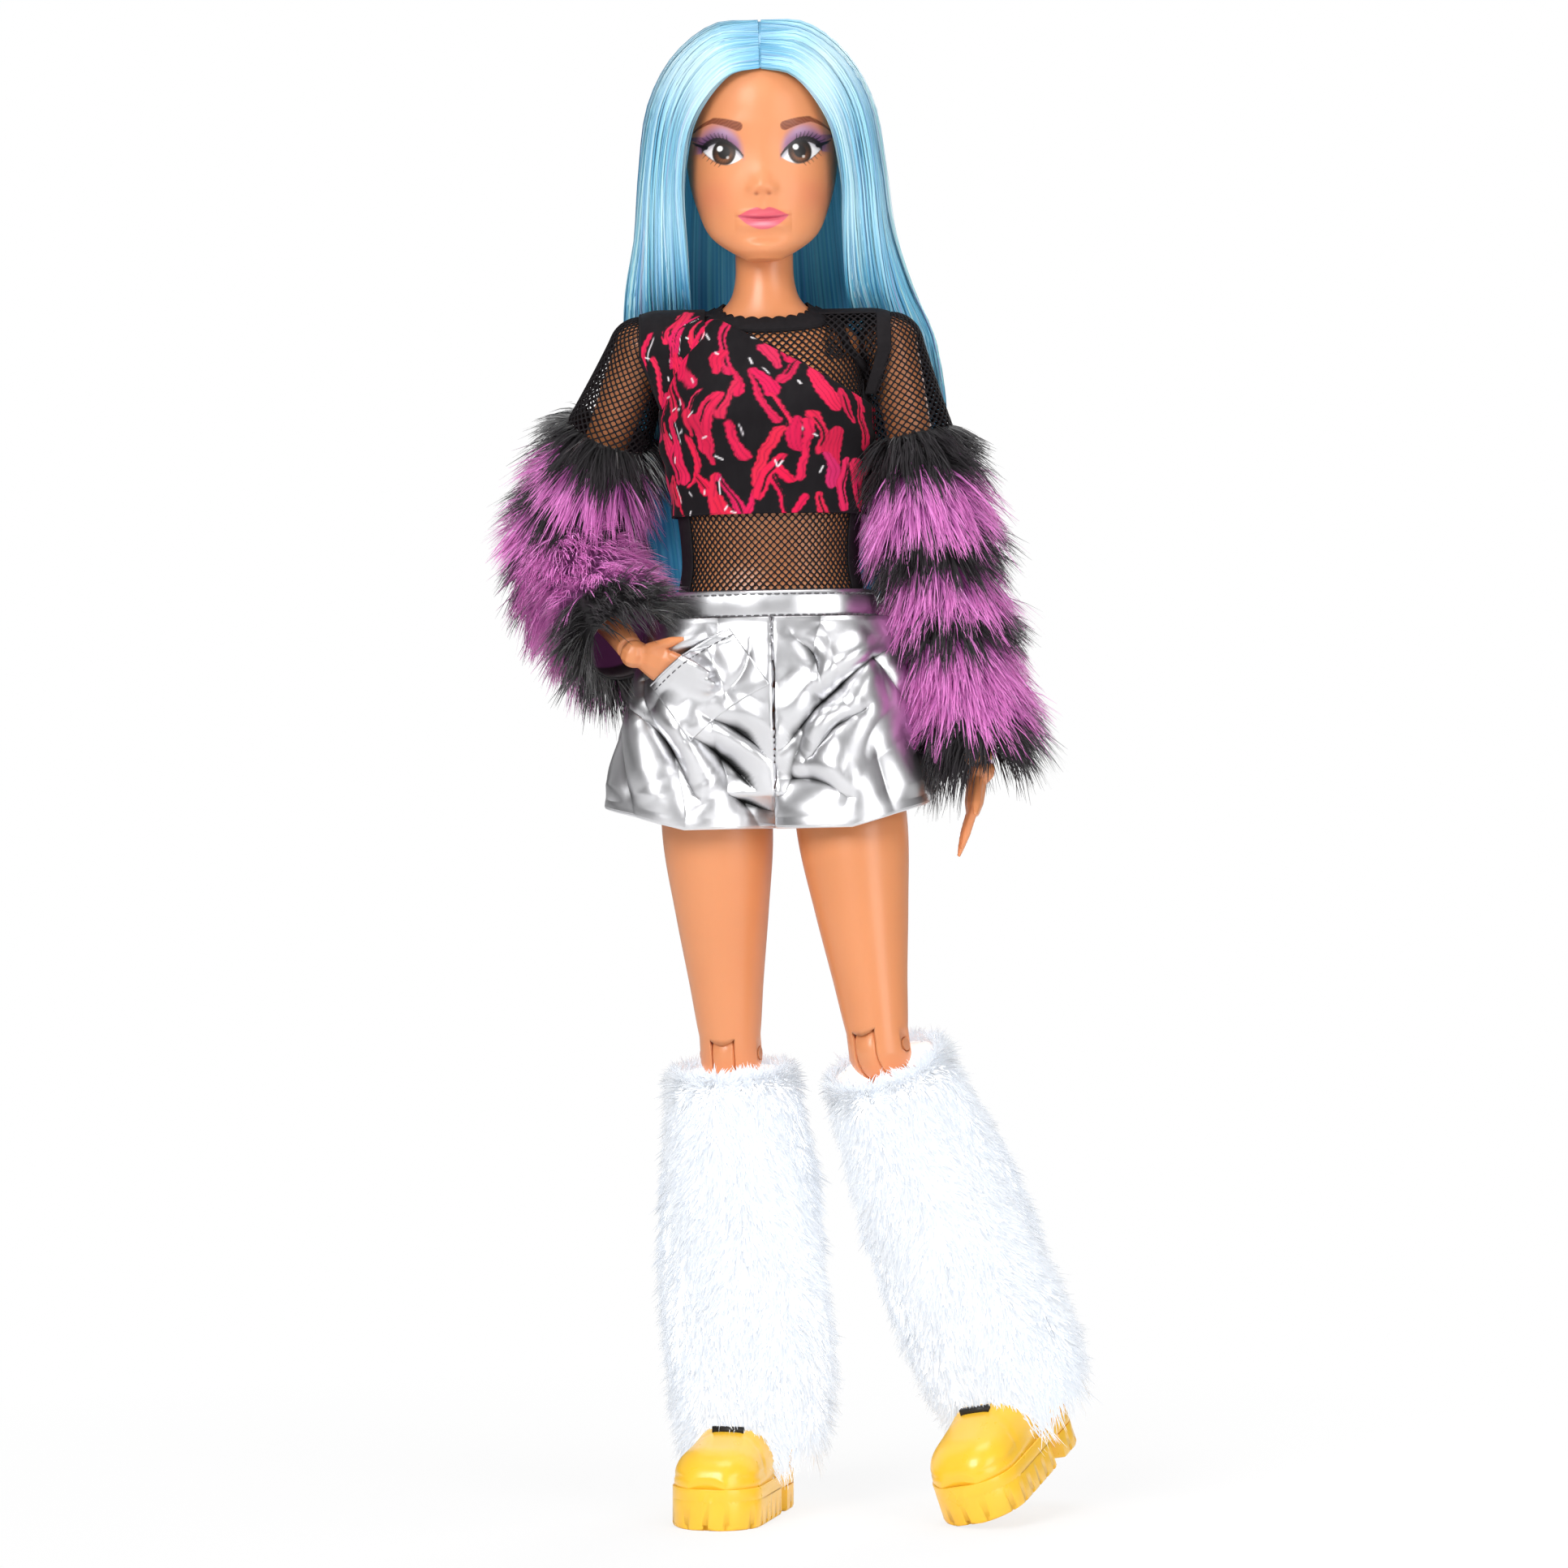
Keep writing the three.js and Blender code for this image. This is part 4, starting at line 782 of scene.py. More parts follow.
def face_paint(x, z):
    """The painted face: brows, lids, eyes, lips and blush on the vinyl, by place across and up."""
    skin_tone = np.array((230, 151, 101), float)
    colour = np.tile(skin_tone, (len(x), 1))
    side = np.abs(x)
    blush = np.exp(-(((side - 10) / 3.8) ** 2) - ((z - 12.5) / 3.2) ** 2)
    colour = layered(colour, 0.3 * blush, (224, 118, 92))
    t = np.clip((side - 3.7) / 8.1, 0, 1)
    arch = np.sin(np.pi * t)
    base = 19.8 + 2.0 * t
    upper = base + 2.4 * arch**0.75
    lower = base - 2.2 * arch**0.85
    off = np.maximum(np.abs(side - 7.75) - 4.05, 0)

    over = z - upper
    lid = np.clip(1 - over / (3.6 + 0.8 * t), 0, 1) * (over > -0.6)
    edge = np.exp(-((off / 1.2) ** 2)) * np.clip((side - 3.2) / 1.6, 0, 1)
    colour = layered(colour, 0.8 * edge * np.clip(1.6 * lid, 0, 1), (176, 122, 176))
    shadow = np.exp(-((over - 0.6) / 1.25) ** 2) * edge * np.clip(0.25 + 0.9 * t, 0, 1)
    colour = layered(colour, 0.85 * shadow, (84, 62, 92))
    wing = stroke(side, z, (9.8, 22.9), (13.9, 24.6), 2.4, 0.5)
    colour = layered(colour, 0.55 * wing, (116, 74, 120))
    gleam = np.exp(-(((side - 7.3) / 2.2) ** 2) - ((over - 1.9) / 0.9) ** 2)
    colour = layered(colour, 0.55 * gleam, (196, 176, 214))

    ball = inside(np.maximum(np.maximum(z - upper, lower - z), np.abs(side - 7.75) - 4.1))
    colour = layered(colour, ball, (244, 244, 246))
    # Painted shade of the upper lid over the top of the eye's white.
    colour = layered(colour, ball * 0.7 * np.clip(1 - (upper - z) / 1.5, 0, 1), (112, 104, 120))
    ix, iz = side - 7.45, z - 20.95
    reach = np.hypot(ix / 2.3, iz / 2.55)
    iris = inside((reach - 1) * 2, 0.1) * ball
    spokes = 0.5 + 0.5 * np.sin(np.arctan2(iz, ix) * 22 + 3 * np.sin(5 * reach))
    rim = np.clip((reach - 0.55) / 0.45, 0, 1)
    glow = np.clip(-iz / 2.2, 0, 1)
    tone_in = np.array((84, 48, 26))[None] + (np.array((84, 56, 36))[None] * (glow * (1 - rim))[:, None])
    tone_in = tone_in * (1 - 0.16 * spokes[:, None]) * (1 - 0.7 * rim**2)[:, None]
    # Iris darkened towards the top: painted shade of the upper lid.
    tone_in = tone_in * (1 - 0.65 * np.clip(iz / 2.2 + 0.25, 0, 1))[:, None]
    colour = colour + iris[:, None] * (tone_in - colour)
    colour = layered(colour, inside((reach - 0.5) * 2, 0.1) * ball, (16, 11, 10))
    # Painted highlights: a white spot to the upper left and a smaller one to the lower right of each iris, alike in
    # both eyes.
    for sx, sz, radius, strength in ((-0.8, 0.8, 0.58, 1.0), (0.7, -1.05, 0.3, 0.7)):
        for mirror in (-1, 1):
            spot = inside(np.hypot(x - mirror * 7.45 - sx, z - 20.95 - sz) - radius)
            colour = layered(colour, strength * spot * ball, (250, 252, 255))

    thick = 0.55 + 0.75 * t
    liner = inside(np.maximum(np.abs(over - 0.1) - thick / 2, off - 0.05))
    colour = layered(colour, liner, (18, 13, 16))
    under = inside(np.maximum(np.abs(z - lower) - 0.1, off)) * np.clip(t * 1.6 - 0.1, 0, 1)
    colour = layered(colour, 0.75 * under, (70, 42, 36))
    colour = layered(colour, stroke(side, z, (11.0, 22.3), (13.6, 23.7), 0.85, 0.1, -0.1), (16, 12, 15))
    for k in range(9):
        place = 0.36 + 0.07 * k
        root_x = 3.7 + 8.1 * place
        root_z = 19.8 + 2 * place + 2.55 * math.sin(math.pi * place) ** 0.75
        lean = math.radians(78 - 62 * (place - 0.36) / 0.56)
        length = 1.0 + 1.3 * place
        tip = (root_x + length * math.cos(lean), root_z + length * math.sin(lean))
        lash = stroke(side, z, (root_x, root_z), tip, 0.26, 0.04, -0.12)
        colour = layered(colour, lash, (16, 12, 15))
    for k in range(5):
        place = 0.55 + 0.09 * k
        root_x = 3.7 + 8.1 * place
        root_z = 19.8 + 2 * place - 2.2 * math.sin(math.pi * place) ** 0.85
        tip = (root_x + 0.35 + 0.3 * place, root_z - 0.55)
        colour = layered(colour, 0.8 * stroke(side, z, (root_x, root_z), tip, 0.16, 0.03), (38, 26, 26))

    hairs = 0.5 + 0.5 * np.sin(5.2 * side + 9.0 * z + 1.5 * np.sin(3 * side))
    brow = np.maximum(
        stroke(side, z, (4.6, 25.8), (9.4, 27.3), 1.75, 1.15, 0.1),
        stroke(side, z, (9.3, 27.3), (13.4, 25.7), 1.0, 0.25, 0.25),
    )
    colour = layered(colour, brow * (0.72 + 0.2 * hairs), (124, 62, 40))

    line = 7.8 + 0.024 * x**2
    width = np.clip(1 - (x / 5.0) ** 2, 0, 1)
    bow = 2.25 * width**1.25 - 0.6 * np.exp(-((x / 0.8) ** 2)) * width
    top = line + bow
    bottom = line - 2.3 * width**0.9
    lips = inside(np.maximum(np.maximum(z - top, bottom - z), side - 4.95), 0.1)
    colour = layered(colour, lips, (220, 88, 106))
    # The lower lip painted lighter, with a pale spot on it: painted sheen and a painted highlight.
    colour = layered(colour, lips * (z < line) * 0.45, (238, 128, 146))
    colour = layered(colour, lips * np.exp(-(((z - 6.5) / 0.45) ** 2) - (x / 2.2) ** 2) * 0.6, (252, 184, 194))
    crease = np.exp(-(((z - line) / 0.2) ** 2)) * np.clip(1 - (x / 5.6) ** 2, 0, 1)
    colour = layered(colour, 0.75 * crease, (150, 44, 72))
    # Painted shade in the nostrils.
    dark = np.exp(-(((side - 1.25) / 0.42) ** 2) - ((z - 12.5) / 0.3) ** 2)
    return layered(colour, 0.45 * dark, (120, 62, 40))


class DOLL_OT_head(bpy.types.Operator):
    """Builds the head with its painted face."""

    bl_idname = "doll.head"
    bl_label = "Head"

    def execute(self, context):
        front = np.radians(np.linspace(-84, 84, 231))
        back = np.radians(np.linspace(90, 270, 44))
        angles = np.concatenate((front, back)) + 1.5 * math.pi
        shares = np.concatenate((np.linspace(0, 0.8, 262), np.linspace(0.81, 1, 26)))
        grid = section(rows_at(HEAD_ROWS, shares), (46, 30, 15, 17.5), 0, angles)
        grid[..., 2] -= 0.8
        jaw = bump_of(grid[..., 2] - 4.6, 3.6)
        grid[..., 0] *= 1 + 0.075 * jaw
        grid[..., 2] += 0.9 * np.clip((5 - grid[..., 2]) / 6, 0, 1) * np.clip(-grid[..., 1] / 8, 0, 1)
        facing = np.clip(-np.sin(angles), 0, 1)[None, :]
        mask = np.clip((facing - 0.12) / 0.4, 0, 1)
        mask = mask * mask * (3 - 2 * mask)
        x, z = grid[..., 0], grid[..., 2]
        grid[..., 1] -= face_forward(x, z) * mask
        points, faces = tube(grid)
        paint = face_paint(points[:, 0], points[:, 2])
        bare = np.array((230, 151, 101), float)
        shown = np.concatenate((np.repeat(mask, len(shares), 0).ravel(), (0, 0)))
        paint = bare + np.clip(shown * 3, 0, 1)[:, None] * (paint - bare)
        vinyl = kept("face_vinyl", moulded_plastic, None, 0.48, True)
        head = new_piece(
            "head", moved(points, PLACES["neck"]), faces, vinyl, "head", tint=seen_colours(paint)
        )
        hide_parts("head_shell")
        return {"FINISHED"}


# Guides of the hair on one side, front to back, each from the parting to the tips, in millimetres
HAIR_GUIDES = np.array((
    ((0.2, -13.9, 37.3), (6, -14.1, 35.9), (10.8, -13, 31.4), (14.2, -10.9, 25), (15.7, -8.6, 16),
     (15.6, -5.4, 7), (15, 0.5, -3.5), (15, 10, -14), (14, 14.8, -38), (10, 16.3, -62), (6, 16.8, -82)),
    ((0.25, -10.5, 43.9), (8, -10.8, 43), (14.3, -9.2, 38), (18.6, -7, 30), (20.7, -5, 18.5),
     (21.5, -2.5, 6.5), (22, 3.5, -4.5), (22.3, 11.6, -16), (21, 15.8, -38), (15, 17.3, -62),
     (9.5, 17.8, -82)),
    ((0.3, -3, 47.9), (9, -2.6, 46.9), (16.8, -1.2, 41), (21.9, 0.3, 31.5), (23.9, 1.8, 19),
     (25.2, 3.6, 6.5), (27.3, 7.6, -5), (28.6, 13.2, -17.5), (27.6, 17.2, -38), (21, 18.8, -62),
     (14.5, 19.3, -82)),
    ((0.3, 5, 48.3), (8, 8, 46.7), (14.2, 12.5, 41), (18.2, 16, 31.5), (19.6, 17.8, 19),
     (20.2, 18.8, 6), (20.7, 19.3, -6), (20.6, 19.8, -19), (19, 20, -39), (13.5, 20.2, -63),
     (9, 20.2, -83)),
    ((0.25, 9.5, 47.4), (5, 15.2, 44), (8.8, 19.8, 37), (10.8, 21.8, 29), (11.4, 22.5, 18),
     (11.6, 22.4, 5.5), (11.6, 22, -7), (11.3, 21.6, -20), (10.4, 21.3, -40), (7.4, 21, -64),
     (4.6, 20.9, -84)),
    ((0, 12.5, 45.8), (0, 19, 41.5), (0, 22.8, 35), (0, 24.1, 27), (0, 24.4, 17), (0, 24, 5),
     (0, 23.2, -7), (0, 22.5, -20), (0, 21.8, -40), (0, 21.3, -64), (0, 21.1, -84)),
))
# How far the hair of each side hangs out from its guides, from the parting to the tips
HAIR_SPREADS = {
    "left": (1, 1, 1, 1, 1, 1.01, 1.07, 1.2, 1.26, 1.1, 0.9),
    "right": (1, 1, 1, 1, 1, 1, 1, 0.98, 1, 1.2, 1.6),
}


HAIR_WAVES, HAIR_WAVE_DEPTH = 9, 0.6


def curve_weights(places, count):
    """Weights of the guide points at places from 0 to 1, on a smooth curve through them."""
    places = np.clip(np.asarray(places, float), 0, 1) * (count - 1)
    i = np.clip(places.astype(int), 0, count - 2)
    u = places - i
    parts = (
        (-u + 2 * u**2 - u**3) / 2, (2 - 5 * u**2 + 3 * u**3) / 2,
        (u + 4 * u**2 - 3 * u**3) / 2, (-(u**2) + u**3) / 2,
    )
    weights = np.zeros(places.shape + (count,))
    here = np.indices(places.shape)
    for offset, part in zip((-1, 0, 1, 2), parts):
        k = i + offset
        inner = np.clip(k, 0, count - 1)
        beyond = np.where(inner == k, 0.0, part)
        np.add.at(weights, (*here, inner), part + beyond)
        np.add.at(weights, (*here, np.where(k < 0, 1, count - 2)), -beyond)
    return weights


def hair_surface(side, word, across, along, depth=0.0):
    """Points and normals of the hair, by share front to back, share down and depth in millimetres."""
    guides = HAIR_GUIDES.copy()
    guides[..., 0] *= np.array(HAIR_SPREADS[word])[None, :]
    across, along = np.broadcast_arrays(np.asarray(across, float), np.asarray(along, float))

    def at(s, v):
        ws, wv = curve_weights(s, guides.shape[0]), curve_weights(v, guides.shape[1])
        return np.einsum("...a,...b,abc->...c", ws, wv, guides)

    here = at(across, along)
    step = 0.004
    ds = at(np.clip(across + step, 0, 1), along) - at(np.clip(across - step, 0, 1), along)
    dv = at(across, np.clip(along + step, 0, 1)) - at(across, np.clip(along - step, 0, 1))
    normal = np.cross(dv, ds)
    normal /= np.maximum(np.linalg.norm(normal, axis=-1, keepdims=True), 1e-9)
    wave = HAIR_WAVE_DEPTH * np.cos(HAIR_WAVES * math.pi * across) * np.clip(10 * along, 0, 1)
    here = here + normal * (wave - np.asarray(depth, float))[..., None]
    flip = np.array((side, 1, 1))
    return here * flip, normal * flip


def silky_hair(name):
    """Glossy fibre, tinted by the lock that it lies in."""
    shade = Shade(name)
    tint = shade.tint()
    fine = shade.noise(260, (1, 1, 0.06), detail=4)
    shade.set(base_color=shade.mix(0.35 * fine, tint, (0.35, 0.62, 0.82, 1), "MULTIPLY"))
    shade.set(roughness=0.26 + 0.16 * fine, normal=shade.bump(fine, 0.35, 0.12 * MM))
    shade.surface.inputs["Specular IOR Level"].default_value = 0.75
    shade.surface.inputs["Anisotropic"].default_value = 0.5
    shade.surface.inputs["Coat Weight"].default_value = 0.35
    shade.surface.inputs["Coat Roughness"].default_value = 0.28
    return shade.material


class DOLL_OT_hair(bpy.types.Operator):
    """Builds the parted hair: soft sheets under loose locks."""

    bl_idname = "doll.hair"
    bl_label = "Hair"

    def colours(self, count, random):
        palette = np.array(
            ((112, 194, 228), (84, 170, 212), (150, 218, 240), (188, 236, 249), (62, 142, 190), (160, 184, 224)),
            float,
        )
        palette += as_seen(bpy.context.scene.doll_colours.hair) - (104, 188, 228)
        picks = random.choice(len(palette), count, p=(0.34, 0.24, 0.2, 0.1, 0.08, 0.04))
        return palette[picks] + random.normal(0, 5, (count, 3))

    def execute(self, context):
        random = np.random.default_rng(11)
        silk = kept("silky_hair", silky_hair)
        # The lining's material glows a little: painted light in the hair's deep shade.
        shaded = kept("inner_hair", pile, 0.5, 0.2, 0.17)
        pieces = []
        rows, columns = 90, 200
        v = np.linspace(0, 1, rows)[:, None]
        s = np.linspace(0, 1, columns)[None, :]
        for side, word in SIDES:
            # The third value darkens the tint: the lining is darkened as painted shade under the sheet.
            for name, depth, dark in (("sheet", 1.1, 1.0), ("lining", 3.4, 0.84)):
                groove = random.normal(0, 1, columns)
                groove = np.convolve(np.pad(groove, 2, "edge"), np.ones(5) / 5, "valid")
                sink = depth + (0.45 * groove * np.clip(v * 5, 0, 1)) * (1 + 0.3 * np.sin(7 * v + 9 * s))
                sink = np.maximum(sink * np.clip(0.15 + v * 6, 0, 1), 0.05)
                reach = s if name == "sheet" else 0.05 + 0.93 * s
                points, _ = hair_surface(side, word, reach, v, sink)
                if name == "sheet":
                    points[0, :, 0] = -0.05 * side
                tints = self.colours(columns, random)[None] * (0.92 + 0.08 * np.cos(5 * v))[..., None]
                tints = np.clip(self.painted_sheen(tints, v) * dark, 0, 255)
                # The lining is also made bluer and darker: painted shade.
                if name == "lining":
                    tints = tints * (0.6, 0.9, 1.0)
                # Darker and bluer towards the tips: painted shade of the lower hair.
                low = np.clip((v - 0.6) / 0.4, 0, 1)[..., None]
                tints = tints + low * (np.array((44, 128, 168)) - tints) * 0.6
                faces = [grid_faces(rows, columns, closed=False)]
                if side < 0:
                    faces = [f[:, ::-1] for f in faces]
                pieces.append(new_piece(
                    f"hair_{name}_{word}", moved(points.reshape(-1, 3), PLACES["neck"]), faces,
                    silk if name == "sheet" else shaded,
                    tint=seen_colours(tints.reshape(-1, 3)),
                ))
            pieces.append(self.locks(side, word, random, silk))
        for piece in pieces:
            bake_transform(piece)
        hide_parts("hair_cap", "hair_curtain")
        return {"FINISHED"}

    def painted_sheen(self, tints, v):
        """Painted sheen: lighter where the crown turns to the sides; deeper at the parting."""
        v = np.asarray(v)[..., None]
        light = np.clip(0.85 * bump_of(v - 0.19, 0.13) + 0.4 * bump_of(v - 0.47, 0.1), 0, 1)
        tints = tints + light * (np.array((226, 249, 255)) - tints)
        return tints + 0.35 * bump_of(v, 0.06) * (np.array((66, 146, 190)) - tints)

    def locks(self, side, word, random, silk):
        count, rows = 1350, 34
        s = np.sort(random.uniform(0.0, 1.0, count))
        depth = np.abs(random.normal(0, 0.75, count))
        ends = random.uniform(0.9, 1.0, count)
        starts = np.zeros(count)
        v = starts[None] + (ends - starts)[None] * np.linspace(0, 1, rows)[:, None]
        phase = random.uniform(0, 2 * np.pi, (2, count))
        drift = random.normal(0, 1, (2, count))
        sway = 0.012 * drift[0] * np.sin(2.5 * v + phase[0]) + 0.006 * drift[1] * np.sin(9 * v + phase[1])
        across = np.clip(s[None] + sway * np.clip(3 * v, 0, 1), 0.0, 1)
        swell = (depth[None] - 0.25) * np.clip(0.12 + 4 * v, 0, 1) + 0.35 * np.sin(6 * v + phase[1]) * np.clip(2 * v, 0, 1)
        centre, normal = hair_surface(side, word, across, v, swell)
        run = np.gradient(centre, axis=0)
        run /= np.maximum(np.linalg.norm(run, axis=-1, keepdims=True), 1e-9)
        wide = np.cross(normal, run)
        roll = np.radians(random.normal(0, 22, count))[None, :, None]
        wide = wide * np.cos(roll) + normal * np.sin(roll)
        width = bpy.context.scene.doll_sizes.strand_width / MM
        width = width * random.uniform(0.4, 0.95, count)[None] * np.clip(1.02 - np.linspace(0, 1, rows)[:, None] ** 6, 0.08, 1)
        half = width[..., None] * wide / 2
        ridge = 0.3 * width[..., None] * normal
        points = np.stack((centre - half, centre + ridge, centre + half), axis=2)
        tints = self.colours(count, random)
        # Locks that lie deeper are darker: painted shade under the outer ones.
        tints *= (1 - 0.22 * np.clip(depth, 0, 2))[:, None]
        tints = self.painted_sheen(np.repeat(tints[None], rows, 0), v)
        # Darker and bluer towards the tips: painted shade of the lower hair.
        low = np.clip((v - 0.62) / 0.38, 0, 1)[..., None]
        tints = tints + low * (np.array((48, 140, 176)) - tints) * 0.55
        tints = np.repeat(tints[:, :, None], 3, 2)
        index = np.arange(rows * count * 3).reshape(rows, count, 3)
        quads = np.stack(
            (index[:-1, :, :-1], index[:-1, :, 1:], index[1:, :, 1:], index[1:, :, :-1]), -1
        ).reshape(-1, 4)
        return new_piece(
            f"hair_locks_{word}", moved(points.reshape(-1, 3), PLACES["neck"]), [quads], silk,
            tint=seen_colours(np.clip(tints.reshape(-1, 3), 0, 255)),
        )


def torso_at(angles, heights, grow=0.0):
    """Points over the torso, by angle and by height in the figure."""
    angles, heights = np.broadcast_arrays(np.asarray(angles, float), np.asarray(heights, float))
    shares = (heights.ravel() - TORSO_BASE) / TORSO_SIZES[0]
    rows = rows_at(TORSO_ROWS, shares)
    grow = np.broadcast_to(grow, angles.shape).reshape(-1, 1)
    grid = section(rows, TORSO_SIZES, grow, angles.reshape(-1, 1), bust_relief)[:, 0]
    grid[:, 2] += TORSO_BASE
    return grid.reshape(angles.shape + (3,))


def thickened(piece, thickness, offset=1.0):
    wall = piece.modifiers.new("wall", "SOLIDIFY")
    wall.thickness = thickness * MM
    wall.offset = offset
    return bake_modifiers(piece)


def cord_along(points, radius, sides=8, closed=False):
    """A round tube of constant radius along points in millimetres."""
    points = np.asarray(points, float)
    run = np.roll(points, -1, 0) - np.roll(points, 1, 0)
    if not closed:
        run[0], run[-1] = points[1] - points[0], points[-1] - points[-2]
    run /= np.linalg.norm(run, axis=1, keepdims=True)
    up = np.where(np.abs(run[:, 2:3]) > 0.9, (1.0, 0.0, 0.0), (0.0, 0.0, 1.0))
    across = np.cross(run, up)
    across /= np.linalg.norm(across, axis=1, keepdims=True)
    other = np.cross(run, across)
    angles = round_angles(sides)
    ring = np.cos(angles)[None, :, None] * across[:, None] + np.sin(angles)[None, :, None] * other[:, None]
    grid = points[:, None] + radius * ring
    if closed:
        grid = np.concatenate((grid, grid[:1]))
    return tube(grid, capped=not closed)


def knitted(name, colour=(0.006, 0.005, 0.006, 1)):
    """Matt black yarn."""
    shade = Shade(name, base_color=colour, roughness=0.62)
    yarn = shade.noise(900, detail=3)
    shade.set(base_color=shade.mix(yarn, colour, (0.02, 0.017, 0.019, 1)), roughness=0.55 + 0.3 * yarn)
    shade.set(normal=shade.bump(yarn, 0.5, 0.12 * MM))
    shade.surface.inputs["Specular IOR Level"].default_value = 0.12
    return shade.material


def mesh_net(to_surface, columns, rows, keep, hole=0.74):
    """Staggered diamonds with rounded holes; to_surface takes columns and rows as shares."""
    i, j = np.meshgrid(np.arange(columns), np.arange(1, rows), indexing="ij")
    centre_u = (i + 0.5 * (j % 2)).ravel() / columns
    centre_v = (j / rows).ravel()
    corner = round_angles(8)
    straight = 1 / (np.abs(np.cos(corner)) + np.abs(np.sin(corner)))
    du, dv = straight * np.cos(corner) * 0.5 / columns, straight * np.sin(corner) / rows
    soft = (0.6 * straight + 0.34) / straight
    points, quads = [], []
    outer = to_surface(centre_u[:, None] + du, centre_v[:, None] + dv)
    inner = to_surface(centre_u[:, None] + hole * soft * du, centre_v[:, None] + hole * soft * dv)
    kept_cells = keep(to_surface(centre_u, centre_v))
    outer, inner = outer[kept_cells], inner[kept_cells]
    count = len(outer)
    points = np.concatenate((outer, inner), 1).reshape(-1, 3)
    k = np.arange(8)
    cell = np.stack((k, (k + 1) % 8, 8 + (k + 1) % 8, 8 + k), -1)
    quads = (cell[None] + 16 * np.arange(count)[:, None, None]).reshape(-1, 4)
    return points, [quads]


def welded(piece, distance=0.02):
    weld = piece.modifiers.new("weld", "WELD")
    weld.merge_threshold = distance * MM
    return bake_modifiers(piece)


NET_HEM, NET_NECKLINE = 20.2, 75
ARMHOLE = 5.6


def neckline(angles):
    """Height of the net's top edge, lowest in front."""
    return NET_NECKLINE + 3.4 * (1 - np.clip(-np.sin(angles), 0, 1) ** 1.4)


def armhole_ring(side, grow=0.9, radius=ARMHOLE, count=56):
    """The seam where a sleeve meets the trunk, on the torso's side."""
    turn = round_angles(count)
    y, z = radius * np.cos(turn), SHOULDER[2] + radius * np.sin(turn)
    rows = rows_at(TORSO_ROWS, (z - TORSO_BASE) / TORSO_SIZES[0])
    half_width = rows[:, 1] * TORSO_SIZES[1] / 2 + grow
    half_depth = (rows[:, 2] * TORSO_SIZES[2] + rows[:, 3] * TORSO_SIZES[3]) / 2 + grow
    middle = (rows[:, 3] * TORSO_SIZES[3] - rows[:, 2] * TORSO_SIZES[2]) / 2
    x = half_width * np.sqrt(np.clip(1 - ((y - middle) / half_depth) ** 2, 0.06, 1))
    return np.stack((side * x, y, z), -1)


def chest_under(reach, heights, sign):
    """Angle and point of the torso's surface at places across it, in front (-1) or behind (1)."""
    near, far = np.full(reach.shape, math.pi / 2), np.zeros(reach.shape)
    for _ in range(13):
        middle = (near + far) / 2
        within = torso_at(sign * middle, heights)[..., 0] < reach
        near, far = np.where(within, middle, near), np.where(within, far, middle)
    return middle, torso_at(sign * middle, heights)


def shoulder_at(side, turn, reach, grow):
    """Cloth over a shoulder by angle from the front over the top and by place across, and its print place."""
    turn, reach = np.broadcast_arrays(np.asarray(turn, float), np.asarray(reach, float))
    lift = np.clip(turn, -0.35, math.pi + 0.35)
    hang = np.abs(turn - lift)
    radius = 7.0 - 0.8 * np.clip((reach - 21) / 3.8, 0, 1) ** 2
    z = SHOULDER[2] + radius * np.sin(lift) - 7 * hang
    arch = radius * np.abs(np.cos(lift)) - 1.6 * hang**1.5
    out = np.zeros(turn.shape)
    angle = np.zeros(turn.shape)
    for sign in (-1, 1):
        here = (np.cos(lift) * sign) <= 0
        under, point = chest_under(reach[here], np.minimum(z[here], 78), sign)
        chest = np.abs(point[..., 1]) + 0.1
        both = 0.5 * (chest + arch[here] + np.sqrt((chest - arch[here]) ** 2 + np.cos(lift[here]) ** 2))
        out[here] = sign * (both + grow * np.abs(np.cos(lift[here])))
        spare = np.clip(reach[here] - np.abs(point[..., 0]), 0, None)
        angle[here] = math.pi + under - spare / 15.5
    z = z + grow * np.clip(np.sin(lift), 0, 1)
    place = z + 7 * np.clip(lift - np.sin(lift), 0, None)
    return np.stack((side * reach, out, z), -1), angle, place


def outside_armholes(points, radius=ARMHOLE):
    off = np.hypot(points[..., 1], points[..., 2] - SHOULDER[2])
    return (off > radius) | (np.abs(points[..., 0]) < 9)


